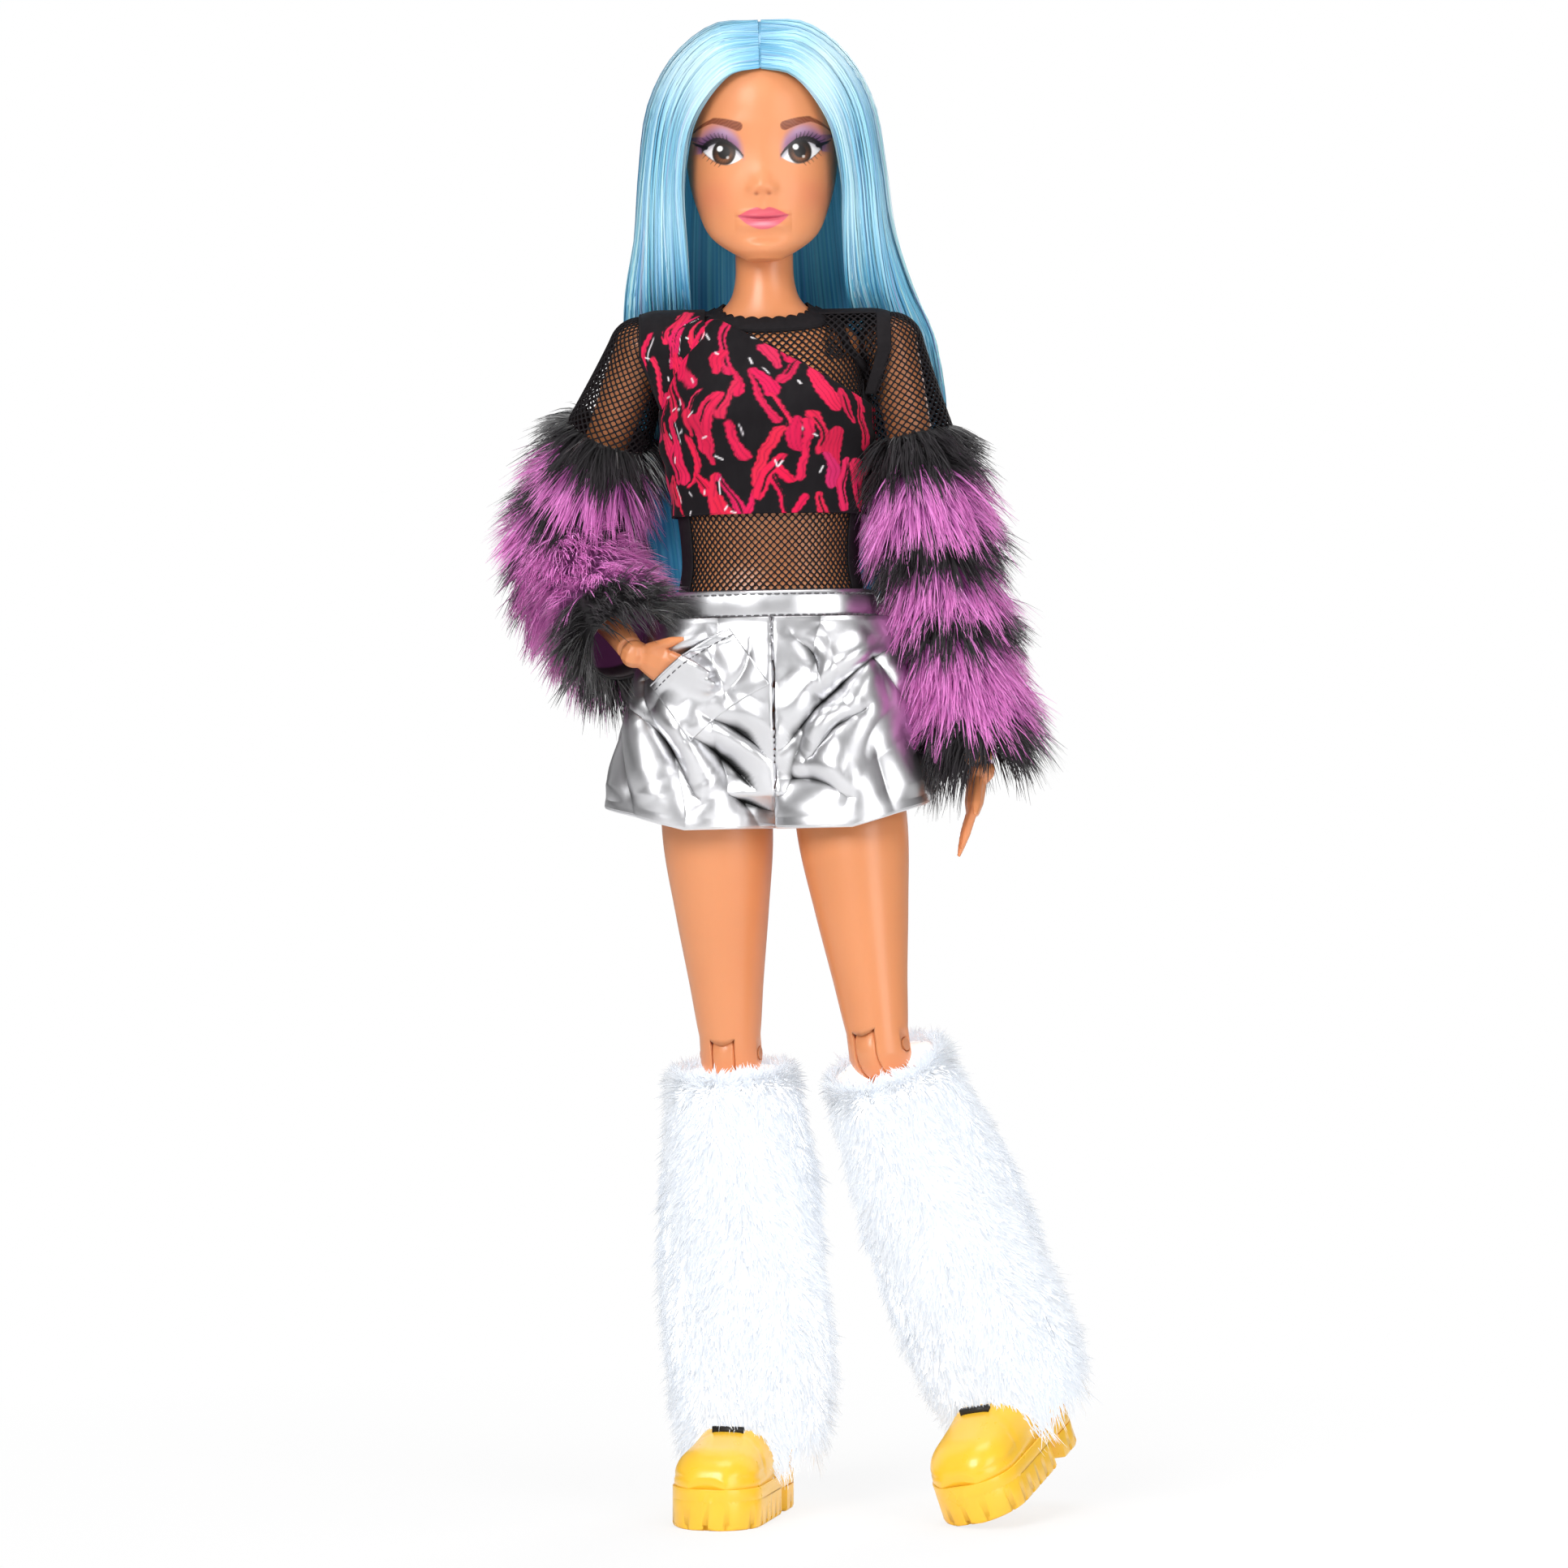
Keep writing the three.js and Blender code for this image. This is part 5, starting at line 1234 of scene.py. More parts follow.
class DOLL_OT_net_top(bpy.types.Operator):
    """Knits the fishnet top with its lace neckline, side panels and sleeves."""

    bl_idname = "doll.net_top"
    bl_label = "Net top"

    def execute(self, context):
        pitch = context.scene.doll_sizes.net_pitch / MM
        yarn = kept("black_yarn", knitted)
        columns, rows = round(118 / pitch), round((NET_NECKLINE - NET_HEM) / (pitch * 0.47))

        def surface(u, v):
            angle = 2 * math.pi * u
            return torso_at(angle, NET_HEM + (neckline(angle) - NET_HEM) * v, 0.38)

        points, faces = mesh_net(surface, columns, rows, outside_armholes)
        net = new_piece("net_top_mesh", moved(points, PLACES["pelvis"]), faces, yarn, smooth=False)
        thickened(welded(net), 0.28, 0)
        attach(net, "trunk")
        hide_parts("net_top")
        seams = []
        for side, _ in SIDES:
            seams.append(cord_along(armhole_ring(side), 0.85, closed=True))
            ridge = torso_at(np.full(16, 0.0 if side > 0 else math.pi), np.linspace(74.6, 78, 16), 0.6)
            seams.append(cord_along(ridge, 0.8))
        turn = round_angles(200)
        seams.append(cord_along(torso_at(turn, NET_HEM + 0.8, 0.45), 0.5, closed=True))
        seams.append(cord_along(torso_at(turn, neckline(turn) - 1.9, 0.45), 0.4, closed=True))
        points, faces = joined(*seams)
        trim = new_piece("net_top_seams", moved(points, PLACES["pelvis"]), faces, yarn, "trunk")
        self.lace(yarn)
        self.side_panels(yarn)
        self.shoulders(yarn, pitch)
        for side, word in SIDES:
            self.sleeve(side, word, yarn, pitch)
        return {"FINISHED"}

    def lace(self, yarn):
        """A scalloped knitted band round the neckline."""
        turn = np.linspace(0, 2 * math.pi, 361)
        scallops = 34
        v = np.linspace(0, 1, 9)[:, None]
        low = neckline(turn)[None] - 1.9
        high = neckline(turn)[None] + 0.3 + 0.5 * np.abs(np.sin(scallops * turn / 2))[None]
        grid = torso_at(turn[None] + 0 * v, low + (high - low) * v, 0.5 + 0.25 * np.sin(np.pi * v))
        faces = grid_faces(*grid.shape[:2], closed=False)
        band = new_piece("net_top_lace", moved(grid.reshape(-1, 3), PLACES["pelvis"]), [faces], yarn)
        thickened(welded(band), 0.35, 1)
        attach(band, "trunk")

    def shoulders(self, yarn, pitch):
        """Net over the shoulders, with a solid band along each sleeve's seam."""
        nets, solid = [], []
        for side, _ in SIDES:
            def surface(u, v):
                return shoulder_at(side, np.radians(-20 + 220 * u), 11.5 + 12 * v, 0.1)[0]

            nets.append(mesh_net(surface, round(26 / pitch), round(12 / (pitch * 0.47)), lambda p: np.full(len(p), True)))
            for turn, across, wide in (
                (np.linspace(-1.45, math.pi + 1.3, 120), (-2.8, 0), 24.7), (np.radians(np.linspace(56, 128, 16)), (-16, 0), 24.7)
            ):
                outer = wide - 2.2 * np.clip(np.abs(turn - math.pi / 2) - 1.8, 0, 1.6)
                reach = outer[None] + np.linspace(*across, 14)[:, None]
                strip = shoulder_at(side, turn[None] + 0 * reach, reach, 0.28)[0]
                faces = grid_faces(*strip.shape[:2], closed=False)
                solid.append((strip.reshape(-1, 3), [faces if side < 0 else faces[:, ::-1]]))
        points, faces = joined(*nets)
        net = new_piece("net_top_shoulders", moved(points, PLACES["pelvis"]), faces, yarn, smooth=False)
        thickened(welded(net), 0.28, 0)
        points, faces = joined(*solid)
        trim = new_piece("net_top_shoulder_bands", moved(points, PLACES["pelvis"]), faces, yarn)
        thickened(trim, 0.22, 0)
        for piece in (net, trim):
            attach(piece, "trunk")

    def side_panels(self, yarn):
        parts = []
        for side, _ in SIDES:
            middle = 0 if side > 0 else math.pi
            heights = np.linspace(NET_HEM, 63.5, 40)
            half = np.interp(heights, (NET_HEM, 40, 55, 63.5), (0.5, 0.5, 0.42, 0.3))
            turn = middle + half[:, None] * np.linspace(-1, 1, 40)[None]
            grid = torso_at(turn, heights[:, None], 0.62)
            parts.append((grid.reshape(-1, 3), [grid_faces(*grid.shape[:2], closed=False)]))
        points, faces = joined(*parts)
        panels = new_piece("net_top_side_panels", moved(points, PLACES["pelvis"]), faces, yarn)
        thickened(panels, 0.2, 1)
        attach(panels, "trunk")

    def sleeve(self, side, word, yarn, pitch):
        """The net from the shoulder's dome down to the fur."""
        dome, run = 6.45, 20.5

        def surface(u, v):
            path = v * (dome * 0.5 * math.pi + run)
            over = np.clip(path / dome, 0, math.pi / 2)
            down = np.clip(path - dome * math.pi / 2, 0, None)
            radius = np.where(down > 0, dome + 2.5 * (down / run) ** 1.2, dome * np.sin(over))
            z = np.where(down > 0, -down, dome * np.cos(over))
            a = 2 * math.pi * u
            return np.stack((radius * np.cos(a), radius * np.sin(a), z), -1)

        into = np.array(PLACES["pelvis"].inverted() @ PLACES[f"arm_{word}"])

        def keep(points):
            seen = points @ into[:3, :3].T + into[:3, 3] / MM
            heights = np.clip(seen[:, 2], TORSO_BASE, TORSO_BASE + TORSO_SIZES[0])
            rows = rows_at(TORSO_ROWS, (heights - TORSO_BASE) / TORSO_SIZES[0])
            edge = rows[:, 1] * TORSO_SIZES[1] / 2 - 0.3
            deep = side * seen[:, 0] < edge
            return ~(deep & (seen[:, 2] > 50) & (np.abs(seen[:, 1]) < 9))

        columns = round(2 * math.pi * 7.6 / pitch)
        rows = round((dome * math.pi / 2 + run) / (pitch * 0.47))
        points, faces = mesh_net(surface, columns, rows, keep)
        net = new_piece(
            f"net_sleeve_mesh_{word}", moved(points, PLACES[f"arm_{word}"]), faces, yarn, smooth=False
        )
        thickened(welded(net), 0.28, 0)
        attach(net, f"arm_{word}")
        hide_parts(f"net_sleeve_{word}")


def printed_knit(name):
    """The print, from its point colours, on matt jersey."""
    shade = Shade(name, roughness=0.7)
    ribs = shade.noise(620, (1, 1, 0.35), detail=2)
    shade.set(base_color=shade.mix(0.3 * ribs, shade.tint(), (0.45, 0.42, 0.43, 1), "MULTIPLY"))
    shade.set(normal=shade.bump(ribs, 0.35, 0.12 * MM), roughness=0.58 + 0.25 * ribs)
    shade.surface.inputs["Sheen Weight"].default_value = 0.04
    shade.surface.inputs["Specular IOR Level"].default_value = 0.15
    return shade.material


def brush_print(angle, height):
    """An abstract print of crimson brush marks and small white ticks on black."""
    x, z = angle * 15.5, height
    random = np.random.default_rng(17)
    x = x + 0.14 * np.sin(1.3 * z + 0.7 * x)
    colour = np.tile(np.array((20, 16, 20), float), (x.size, 1)).reshape(x.shape + (3,))

    def over(mask, tone_to):
        nonlocal colour
        colour = colour + mask[..., None] * (np.asarray(tone_to, float) - colour)

    def mark(cx, cz, lean, length, curve=0.0):
        """Places along and off a mark that stands at a lean."""
        dx = (x - cx + 48.7) % 97.4 - 48.7
        dz = z - cz
        along = dx * np.sin(lean) + dz * np.cos(lean)
        off = dx * np.cos(lean) - dz * np.sin(lean) + curve * (along / length) ** 2 * length
        return along, off

    for k in range(160):
        cx, cz = (k * 60.2) % 97.4 + random.normal(0, 1.2), 36 + (k * 14.37) % 41
        lean = math.radians(random.normal(-20, 13) * (1 if k % 5 else -0.7))
        length, wide = random.uniform(3, 11.5), random.uniform(0.45, 1.2)
        along, off = mark(cx, cz, lean, length, random.normal(0, 0.25))
        reach = np.hypot(np.clip(np.abs(along) - length / 2, 0, None), off)
        taper = wide * (1 + 0.45 * np.sin(2.2 * along / length + random.uniform(0, 6)))
        ragged = taper + 0.08 * np.sin(5.1 * along + 3 * off)
        body = inside(reach - ragged, 0.1)
        over(body, np.array((226, 34, 82)) + random.normal(0, 7, 3))
        streak = 0.5 + 0.5 * np.sin(off * random.uniform(5, 9) + 0.8 * np.sin(1.7 * along))
        over(body * streak**6 * 0.5, (146, 20, 58))
        if k % 3 == 0:
            line = inside(np.abs(off - wide * random.uniform(-0.7, 0.7)) - 0.17, 0.07)
            over(line * inside(np.abs(along) - length * 0.42, 0.3), (22, 16, 20))
        if k % 6 == 1:
            rim = inside(np.abs(reach - wide * 1.2) - 0.1, 0.07)
            part = inside(np.abs(along - length * 0.25) - length * 0.2, 0.3)
            over(rim * part * (off > 0), (240, 234, 238))
    for _ in range(90):
        cx, cz = random.uniform(0, 97), random.uniform(37, 76)
        along, off = mark(cx, cz, random.uniform(0, math.pi), 1)
        length = random.uniform(0.4, 1.3)
        over(inside(np.hypot(np.clip(np.abs(along) - length / 2, 0, None), off) - 0.15, 0.08), (240, 236, 238))
    return colour


class DOLL_OT_crop_panel(bpy.types.Operator):
    """Lays the printed one-shoulder panel over the net."""

    bl_idname = "doll.crop_panel"
    bl_label = "Printed panel"

    def execute(self, context):
        hem, steps, count = 37, 150, 480
        turn = round_angles(count)
        heights = np.linspace(hem, NET_NECKLINE + 0.5, 320)
        reach = torso_at(turn[None], heights[:, None], 1.1)
        slope = (77.4 - 58.3) / 32.5
        low = reach[..., 2] > 77.4 - slope * (reach[..., 0] + 12.5)
        hole = np.hypot(reach[..., 1], reach[..., 2] - SHOULDER[2]) < ARMHOLE + 0.7
        stop = low | (hole & (np.abs(reach[..., 0]) > 9))
        last = np.where(stop.any(0), stop.argmax(0), len(heights) - 1)
        top = heights[last]
        smooth = np.convolve(np.concatenate((top[-3:], top, top[:3])), np.ones(7) / 7, "valid")
        v = np.linspace(0, 1, steps)[:, None]
        level = hem + (smooth[None] - hem) * v
        slack = 0.25 * np.sin(0.9 * level + 2.2 * np.sin(2 * turn)[None]) * np.sin(np.pi * v)
        pull = 0.3 * bump_of(v, 0.08) + 0.15 * np.sin(11 * turn)[None] * bump_of(v, 0.25)
        grid = torso_at(turn[None] + 0 * level, level, 1.2)
        grid[..., :2] *= (1 + (slack + pull)[..., None] / 19)
        faces = grid_faces(steps, count)
        tints = brush_print((turn[None] + 0 * level) % (2 * math.pi), level).reshape(-1, 3)
        panel = new_piece(
            "crop_panel_cloth", moved(grid.reshape(-1, 3), PLACES["pelvis"]), [faces],
            kept("printed_knit", printed_knit), tint=seen_colours(tints),
        )
        thickened(panel, 0.45, 1)
        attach(panel, "trunk")
        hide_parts("crop_panel")
        turn = np.linspace(-1.75, 1.7, 150)[None]
        outer = 24.8 - 2.6 * np.clip(-turn - 0.3, 0, 1.6)
        reach = 12 + (outer - 12) * np.linspace(0, 1, 90)[:, None]
        strap_grid, print_turn, place = shoulder_at(-1, turn + 0 * reach, reach, 0.55)
        tints = brush_print(print_turn, place).reshape(-1, 3)
        strap = new_piece(
            "crop_panel_strap", moved(strap_grid.reshape(-1, 3), PLACES["pelvis"]),
            [grid_faces(*strap_grid.shape[:2], closed=False)], kept("printed_knit", printed_knit),
            tint=seen_colours(tints),
        )
        thickened(strap, 0.4, 0)
        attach(strap, "trunk")
        edges = [cord_along(grid[-1] * (1.006, 1.006, 1), 0.34, closed=True)]
        edges.append(cord_along(strap_grid[-1], 0.34))
        edges.append(cord_along(grid[1] * (1.012, 1.012, 1), 0.3, closed=True))
        points, faces = joined(*edges)
        trim = new_piece(
            "crop_panel_edges", moved(points, PLACES["pelvis"]), faces, kept("black_yarn", knitted), "trunk"
        )
        return {"FINISHED"}


# Sections of the shorts, as the solids have them
SHORTS_TRUNK_ROWS = ((0, 0.86, 0.9, 0.96), (0.35, 0.97, 1, 1), (0.7, 0.92, 0.92, 0.92), (1, 0.82, 0.8, 0.76))
SHORTS_LEG_ROWS = (
    (0, 0.66, 0.74, 0.78), (0.2, 0.8, 0.88, 0.92), (0.5, 0.9, 0.96, 0.98), (0.8, 0.98, 1, 1),
    (1, 1.04, 1.04, 1.04),
)
SHORTS_TOP, SHORTS_HEM, CROTCH = 16.4, -24, -14
BAND_TOP = 22
SHORTS_FLARE = {"right": 6.5, "left": 2.5}
SHORTS_SWING = {"right": 1.95, "left": -4.85}


# Front creases of the shorts: from, to, depth and half width
SHORTS_CREASES = (
    (1.9, -8.5, 25.5, 11.2, 2.2, 1.3), (7.6, -10.5, 17.5, -2.5, 1.8, 1.0), (1.0, -15, 14, -18.5, 1.3, 1.2),
    (-16.6, -6.3, -1.2, -19.5, 2.2, 1.3), (-13.4, -2.5, 0, -12.5, 1.8, 1.2), (-28, -2.5, -15.8, -17.5, 2.0, 1.3),
    (-24.6, 4.2, -8.5, 12.0, 1.2, 0.8), (20, 8, 30, -12, 1.6, 1.3), (3.5, 13, 10, 2, 1.0, 1.2),
    (-4, 12, -9, 2, 1.0, 1.1),
)


def foil(name, painted_crease_shade=False):
    """Crinkled metal foil on cloth, darker where its points say so: painted shade in the creases."""
    shade = Shade(name, metallic=1.0, roughness=0.2)
    crinkle = shade.noise(260, detail=3)
    patches = shade.noise(70, detail=2)
    metal = shade.mix(patches, (0.6, 0.6, 0.62, 1), (0.86, 0.86, 0.88, 1))
    shade.set(base_color=shade.mix(1.0, metal, shade.tint(), "MULTIPLY") if painted_crease_shade else metal)
    shade.set(roughness=0.27 + 0.12 * crinkle, normal=shade.bump(crinkle + 2 * patches, 0.08, 0.3 * MM))
    return shade.material


def hollows(grid):
    """How much light each point of a closed cloth grid gets: little in its creases."""
    flat = grid[..., :2] - grid[..., :2].mean(1, keepdims=True)
    reach = np.hypot(flat[..., 0], flat[..., 1])
    columns = reach.shape[1]
    wide = np.concatenate((reach[:, -8:], reach, reach[:, :8]), 1)
    wide = np.stack([wide[:, k:k + columns] for k in range(17)]).mean(0)
    wide = np.pad(wide, ((9, 9), (0, 0)), "edge")
    wide = np.stack([wide[k:k + len(reach)] for k in range(19)]).mean(0)
    seen = np.clip(1.04 - 1.25 * np.clip(wide - reach, 0, None), 0.08, 1)
    return np.repeat(seen[..., None], 3, -1)


def thread(name):
    """Grey sewing thread."""
    shade = Shade(name, base_color=(0.3, 0.3, 0.31, 1), roughness=0.6)
    twist = shade.noise(1400, (1, 1, 1), detail=1)
    shade.set(base_color=shade.mix(twist, (0.05, 0.05, 0.055, 1), (0.2, 0.2, 0.21, 1)))
    shade.set(normal=shade.bump(twist, 0.4, 0.08 * MM))
    return shade.material


def reach_of(direction_x, direction_y, from_x, from_y, middle_x, middle_y, half_width, half_depth):
    """Distance from a point to an ellipse round it, along directions."""
    dx, dy = direction_x / half_width, direction_y / half_depth
    ox, oy = (from_x - middle_x) / half_width, (from_y - middle_y) / half_depth
    a, b, c = dx**2 + dy**2, ox * dx + oy * dy, ox**2 + oy**2 - 1
    under = b**2 - a * c
    return np.where(under > 0, (-b + np.sqrt(np.maximum(under, 0))) / a, 0)


def folds_at(angles, heights, side):
    """Puffed cloth between sharp creases, in millimetres."""
    seed = Vector((11.3 * side, 4.7, 2.9))
    out = np.zeros(angles.shape)
    for (around, along, twist), size in (
        ((1.05, 0.036, 0.03), 3.0), ((1.7, 0.07, -0.05), 0.7),
    ):
        turn = angles + twist * heights
        spots = np.stack((around * np.cos(turn), around * np.sin(turn), along * heights), -1).reshape(-1, 3)
        values = np.array([noise.noise(Vector(spot) + seed) for spot in spots]).reshape(angles.shape)
        ridge = np.sqrt(values**2 + 0.0006)
        out += size * np.minimum(ridge * 1.6, 0.9)
        seed = seed + Vector((7.1, 3.3, 5.9))
    return out


def stitches(points, normals, length=0.95, gap=0.65, radius=0.13):
    """Dashes of thread along a path in millimetres, just proud of the cloth."""
    run = np.linalg.norm(np.diff(points, axis=0), axis=1)
    places = np.concatenate(((0,), np.cumsum(run)))
    starts = np.arange(0.2, places[-1] - length, length + gap)
    parts = []
    for start in starts:
        at = start + np.array((0, 0.2, 0.5, 0.8, 1)) * length
        path = np.stack([np.interp(at, places, points[:, k]) for k in range(3)], -1)
        out = np.stack([np.interp(at, places, normals[:, k]) for k in range(3)], -1)
        parts.append(cord_along(path + out * np.array((-0.1, 0.1, 0.14, 0.1, -0.1))[:, None], radius, 6))
    return joined(*parts)


class DOLL_OT_shorts(bpy.types.Operator):
    """Sews the foil shorts: waistband, legs with folds, seams, hems and the pocket."""

    bl_idname = "doll.shorts"
    bl_label = "Shorts"

    def leg_point(self, side, word, angles, heights, grow=0.0, folded=True):
        angles, heights = np.broadcast_arrays(np.asarray(angles, float), np.asarray(heights, float))
        down = SHORTS_TOP + 3.4 - heights
        share = np.clip(down / 43, 0, 1)
        row = rows_at(SHORTS_LEG_ROWS, share.ravel())
        wide, ahead, behind = (row[:, k].reshape(share.shape) for k in (1, 2, 3))
        from_x = side * (12.9 + down * math.tan(math.radians(SHORTS_FLARE[word])))
        from_y = down * math.tan(math.radians(SHORTS_SWING[word]))
        half_depth = (ahead * 16 + behind * 17) / 2
        middle_y = from_y + (behind * 17 - ahead * 16) / 2
        dx, dy = np.cos(angles), np.sin(angles)
        to_middle = np.abs(from_x) + 4
        half_width = np.where(side * dx < 0, np.maximum(to_middle, wide * 15), wide * 15)
        leg = reach_of(dx, dy, from_x, from_y, from_x, middle_y, half_width + grow, half_depth + grow)
        share = np.clip((heights - CROTCH) / (SHORTS_TOP + 3.4 - CROTCH), 0, 1)
        row = rows_at(SHORTS_TRUNK_ROWS, share.ravel())
        wide, ahead, behind = (row[:, k].reshape(share.shape) for k in (1, 2, 3))
        middle_y = (behind * 16 - ahead * 17) / 2
        fade = np.clip((heights - (CROTCH - 8.5)) / 5, 0, 1) ** 0.5
        trunk = reach_of(
            dx, dy, from_x, from_y, 0, middle_y * fade, (wide * 25 + grow) * np.maximum(fade, 0.3),
            ((ahead * 17 + behind * 16) / 2 + grow) * np.maximum(fade, 0.3),
        )
        reach = np.maximum(leg, trunk * (fade > 0.02))
        if folded:
            hold = np.clip((SHORTS_TOP - heights) / 9, 0.12, 1) * np.clip((heights - SHORTS_HEM) / 5, 0.35, 1)
            reach = reach + hold * (folds_at(angles, heights, side) - 1.0)
            here_x, front = from_x + reach * dx, np.clip(-dy, 0, 1) ** 0.5
            for ax, az, bx, bz, deep, soft in SHORTS_CREASES:
                run = (bx - ax) ** 2 + (bz - az) ** 2
                share = ((here_x - ax) * (bx - ax) + (heights - az) * (bz - az)) / run
                off = ((heights - az) * (bx - ax) - (here_x - ax) * (bz - az)) / math.sqrt(run)
                bowed = off - 1.6 * np.sin(np.pi * np.clip(share, 0, 1))
                past = np.clip(np.abs(share - 0.5) - 0.5, 0, None) * math.sqrt(run)
                fade = np.exp(-((past / 1.5) ** 2)) * np.sin(np.pi * np.clip(share, 0.12, 0.88))
                valley = 1.35 * deep * np.exp(-np.abs(bowed) / soft)
                puff = 0.9 * deep * np.exp(-(((bowed - 3.2) / 2.6) ** 2))
                reach = reach + front * fade * (puff - valley) * np.clip((SHORTS_TOP - heights) / 4, 0, 1)
        wall = (np.abs(from_x) - 0.25) / np.maximum(-side * dx, 1e-6)
        clipped = (-side * dx > 0) & (reach > wall)
        reach = np.where(clipped, wall, reach)
        points = np.stack((from_x + reach * dx, from_y + reach * dy, heights), -1)
        return points, clipped

    def execute(self, context):
        silver = kept("foil_cloth", foil)
        grey = kept("grey_thread", thread)
        place = PLACES["pelvis"]
        turn = round_angles(240)
        heights = np.array((15.9, 16.0, 16.4, 17.5, 19, 20.6, 21.5, 21.9, 22.0))
        bulge = np.array((-0.3, 0.0, 0.3, 0.42, 0.45, 0.42, 0.3, 0.0, -0.3))
        grid = np.stack([torso_at(turn, h if h > 20 else 20, 2.3 + b) for h, b in zip(heights, bulge)])
        grid[..., 2] = heights[:, None]
        wrinkle = 0.12 * np.sin(7 * turn + 1) + 0.1 * np.sin(13 * turn)
        grid[..., :2] *= (1 + wrinkle[None, :, None] / 18)
        inner = grid[::-1] * (0.955, 0.955, 1)
        points, faces = tube(np.concatenate((grid, inner, grid[:1])), capped=False)
        band = new_piece("shorts_band", moved(points, place), faces, silver, "trunk")
        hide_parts("shorts_waistband")
        parts = []
        for height in (16.9, 21.1):
            ring = torso_at(turn, max(height, 20), 2.78)
            ring[:, 2] = height
            out = ring * (1, 1, 0)
            out /= np.linalg.norm(out, axis=1, keepdims=True)
            parts.append(stitches(ring, out))
        for side, word in SIDES:
            parts += self.leg(side, word, silver)
        self.pocket(place, silver, grey)
        points, faces = joined(*parts)
        made = new_piece("shorts_stitches", moved(points, place), faces, grey, "trunk")
        return {"FINISHED"}

    def leg(self, side, word, silver):
        columns, rows = 400, 190
        turn = round_angles(columns)
        heights = np.linspace(SHORTS_TOP, SHORTS_HEM, rows)
        grid, clipped = self.leg_point(side, word, turn[None], heights[:, None])
        outward = np.clip(side * np.cos(turn), 0, 1)[None] - 0.12
        grid[..., 2] += 4.6 * outward * np.clip((SHORTS_TOP - heights[:, None]) / 40, 0, 1) ** 1.3
        tuck = np.clip((heights - (SHORTS_TOP - 1.0)) / 1.0, 0, 1)[:, None, None]
        middle = grid[:1].mean(1, keepdims=True) * (1, 1, 0)
        grid[..., :2] -= (tuck * 0.02 * (grid - middle))[..., :2]
        faces = grid_faces(rows, columns)
        hidden = clipped.reshape(-1)[faces].all(1)
        # The tint from hollows darkens the creases: painted shade.
        cloth = new_piece(
            f"shorts_cloth_{word}", moved(grid.reshape(-1, 3), PLACES["pelvis"]), [faces[~hidden]],
            kept("creased_foil", foil, True), tint=hollows(grid).reshape(-1, 3),
        )
        thickened(cloth, 0.5, -1)
        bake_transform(cloth)
        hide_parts(f"shorts_leg_{word}")
        hem_row = grid[-1]
        centre = hem_row.mean(0)
        out = (hem_row - centre) * (1, 1, 0)
        out /= np.linalg.norm(out, axis=1, keepdims=True)
        rim_points, rim_faces = cord_along(hem_row + out * 0.05, 0.42, closed=True)
        row_up = grid[-10]
        dash_points, dash_faces = stitches(np.concatenate((row_up, row_up[:1])), np.concatenate((out, out[:1])))
        points, faces = joined((rim_points, rim_faces))
        rim = new_piece(f"shorts_hem_{word}", moved(points, PLACES["pelvis"]), faces, silver)
        dashes = new_piece(
            f"shorts_hem_stitches_{word}", moved(dash_points, PLACES["pelvis"]), dash_faces,
            kept("grey_thread", thread),
        )
        for piece in (rim, dashes):
            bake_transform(piece)
        return self.seams(side, grid, turn, heights)

    def pocket(self, place, silver, grey):
        """The pocket's mouth on the right, with the cloth over the fingers that reach into it."""
        bpy.context.view_layer.update()
        graph = bpy.context.evaluated_depsgraph_get()
        trees = []
        for name in ("shorts_cloth_right", "hand_skin_right"):
            piece = bpy.data.objects[name]
            into = piece.matrix_world.inverted() @ place
            trees.append((BVHTree.FromObject(piece, graph), into, into.inverted()))
        start, end, down = np.array((-24.0, 3.6)), np.array((-8.2, 14.4)), np.array((0.564, -0.826))
        rows, columns = 44, 60
        spots = np.zeros((rows, columns, 3))
        rise = np.zeros((rows, columns))
        for i, j in np.ndindex(rows, columns):
            t = j / (columns - 1)
            x, z = start + (end - start) * t + down * (13.5 * i / (rows - 1) - 0.9 * math.sin(math.pi * t))
            seen = []
            for tree, into, back in trees:
                ray = (into @ Vector((x * MM, -0.06, z * MM)), into.to_3x3() @ Vector((0, 1, 0)))
                hit = tree.ray_cast(*ray)[0]
                seen.append((back @ hit).y / MM if hit else None)
            cloth = seen[0] if seen[0] is not None else -15
            spots[i, j] = x, cloth - 0.15, z
            if seen[1] is not None:
                rise[i, j] = min(max(cloth - seen[1] + 0.35, 0), 6)
        raw = rise.copy()
        for _ in range(14):
            wide = np.pad(rise, 1, "edge")
            mean = sum(wide[i:i + rows, j:j + columns] for i in range(3) for j in range(3)) / 9
            rise = np.maximum(mean, raw)
        v, u = np.linspace(0, 1, rows)[:, None], np.linspace(0, 1, columns)[None]
        rise = (rise + 0.9 * np.sin(np.pi * u) * (1 - v)) * np.clip(6 * (1 - v), 0, 1) * np.clip(9 * u, 0, 1) * np.clip(9 * (1 - u), 0, 1)
        spots[..., 1] -= rise
        faces = grid_faces(rows, columns, closed=False)
        patch = new_piece("shorts_pocket", moved(spots.reshape(-1, 3), place), [faces], silver)
        thickened(patch, 0.3, 0)
        rim = new_piece("shorts_pocket_rim", moved(cord_along(spots[0], 0.32)[0], place), cord_along(spots[0], 0.32)[1], silver)
        out = np.tile((0, -1, 0), (columns, 1)).astype(float)
        dash_points, dash_faces = stitches(spots[4] - (0, 0.15, 0), out)
        dashes = new_piece("shorts_pocket_stitches", moved(dash_points, place), dash_faces, grey)
        for piece in (patch, rim, dashes):
            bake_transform(piece)

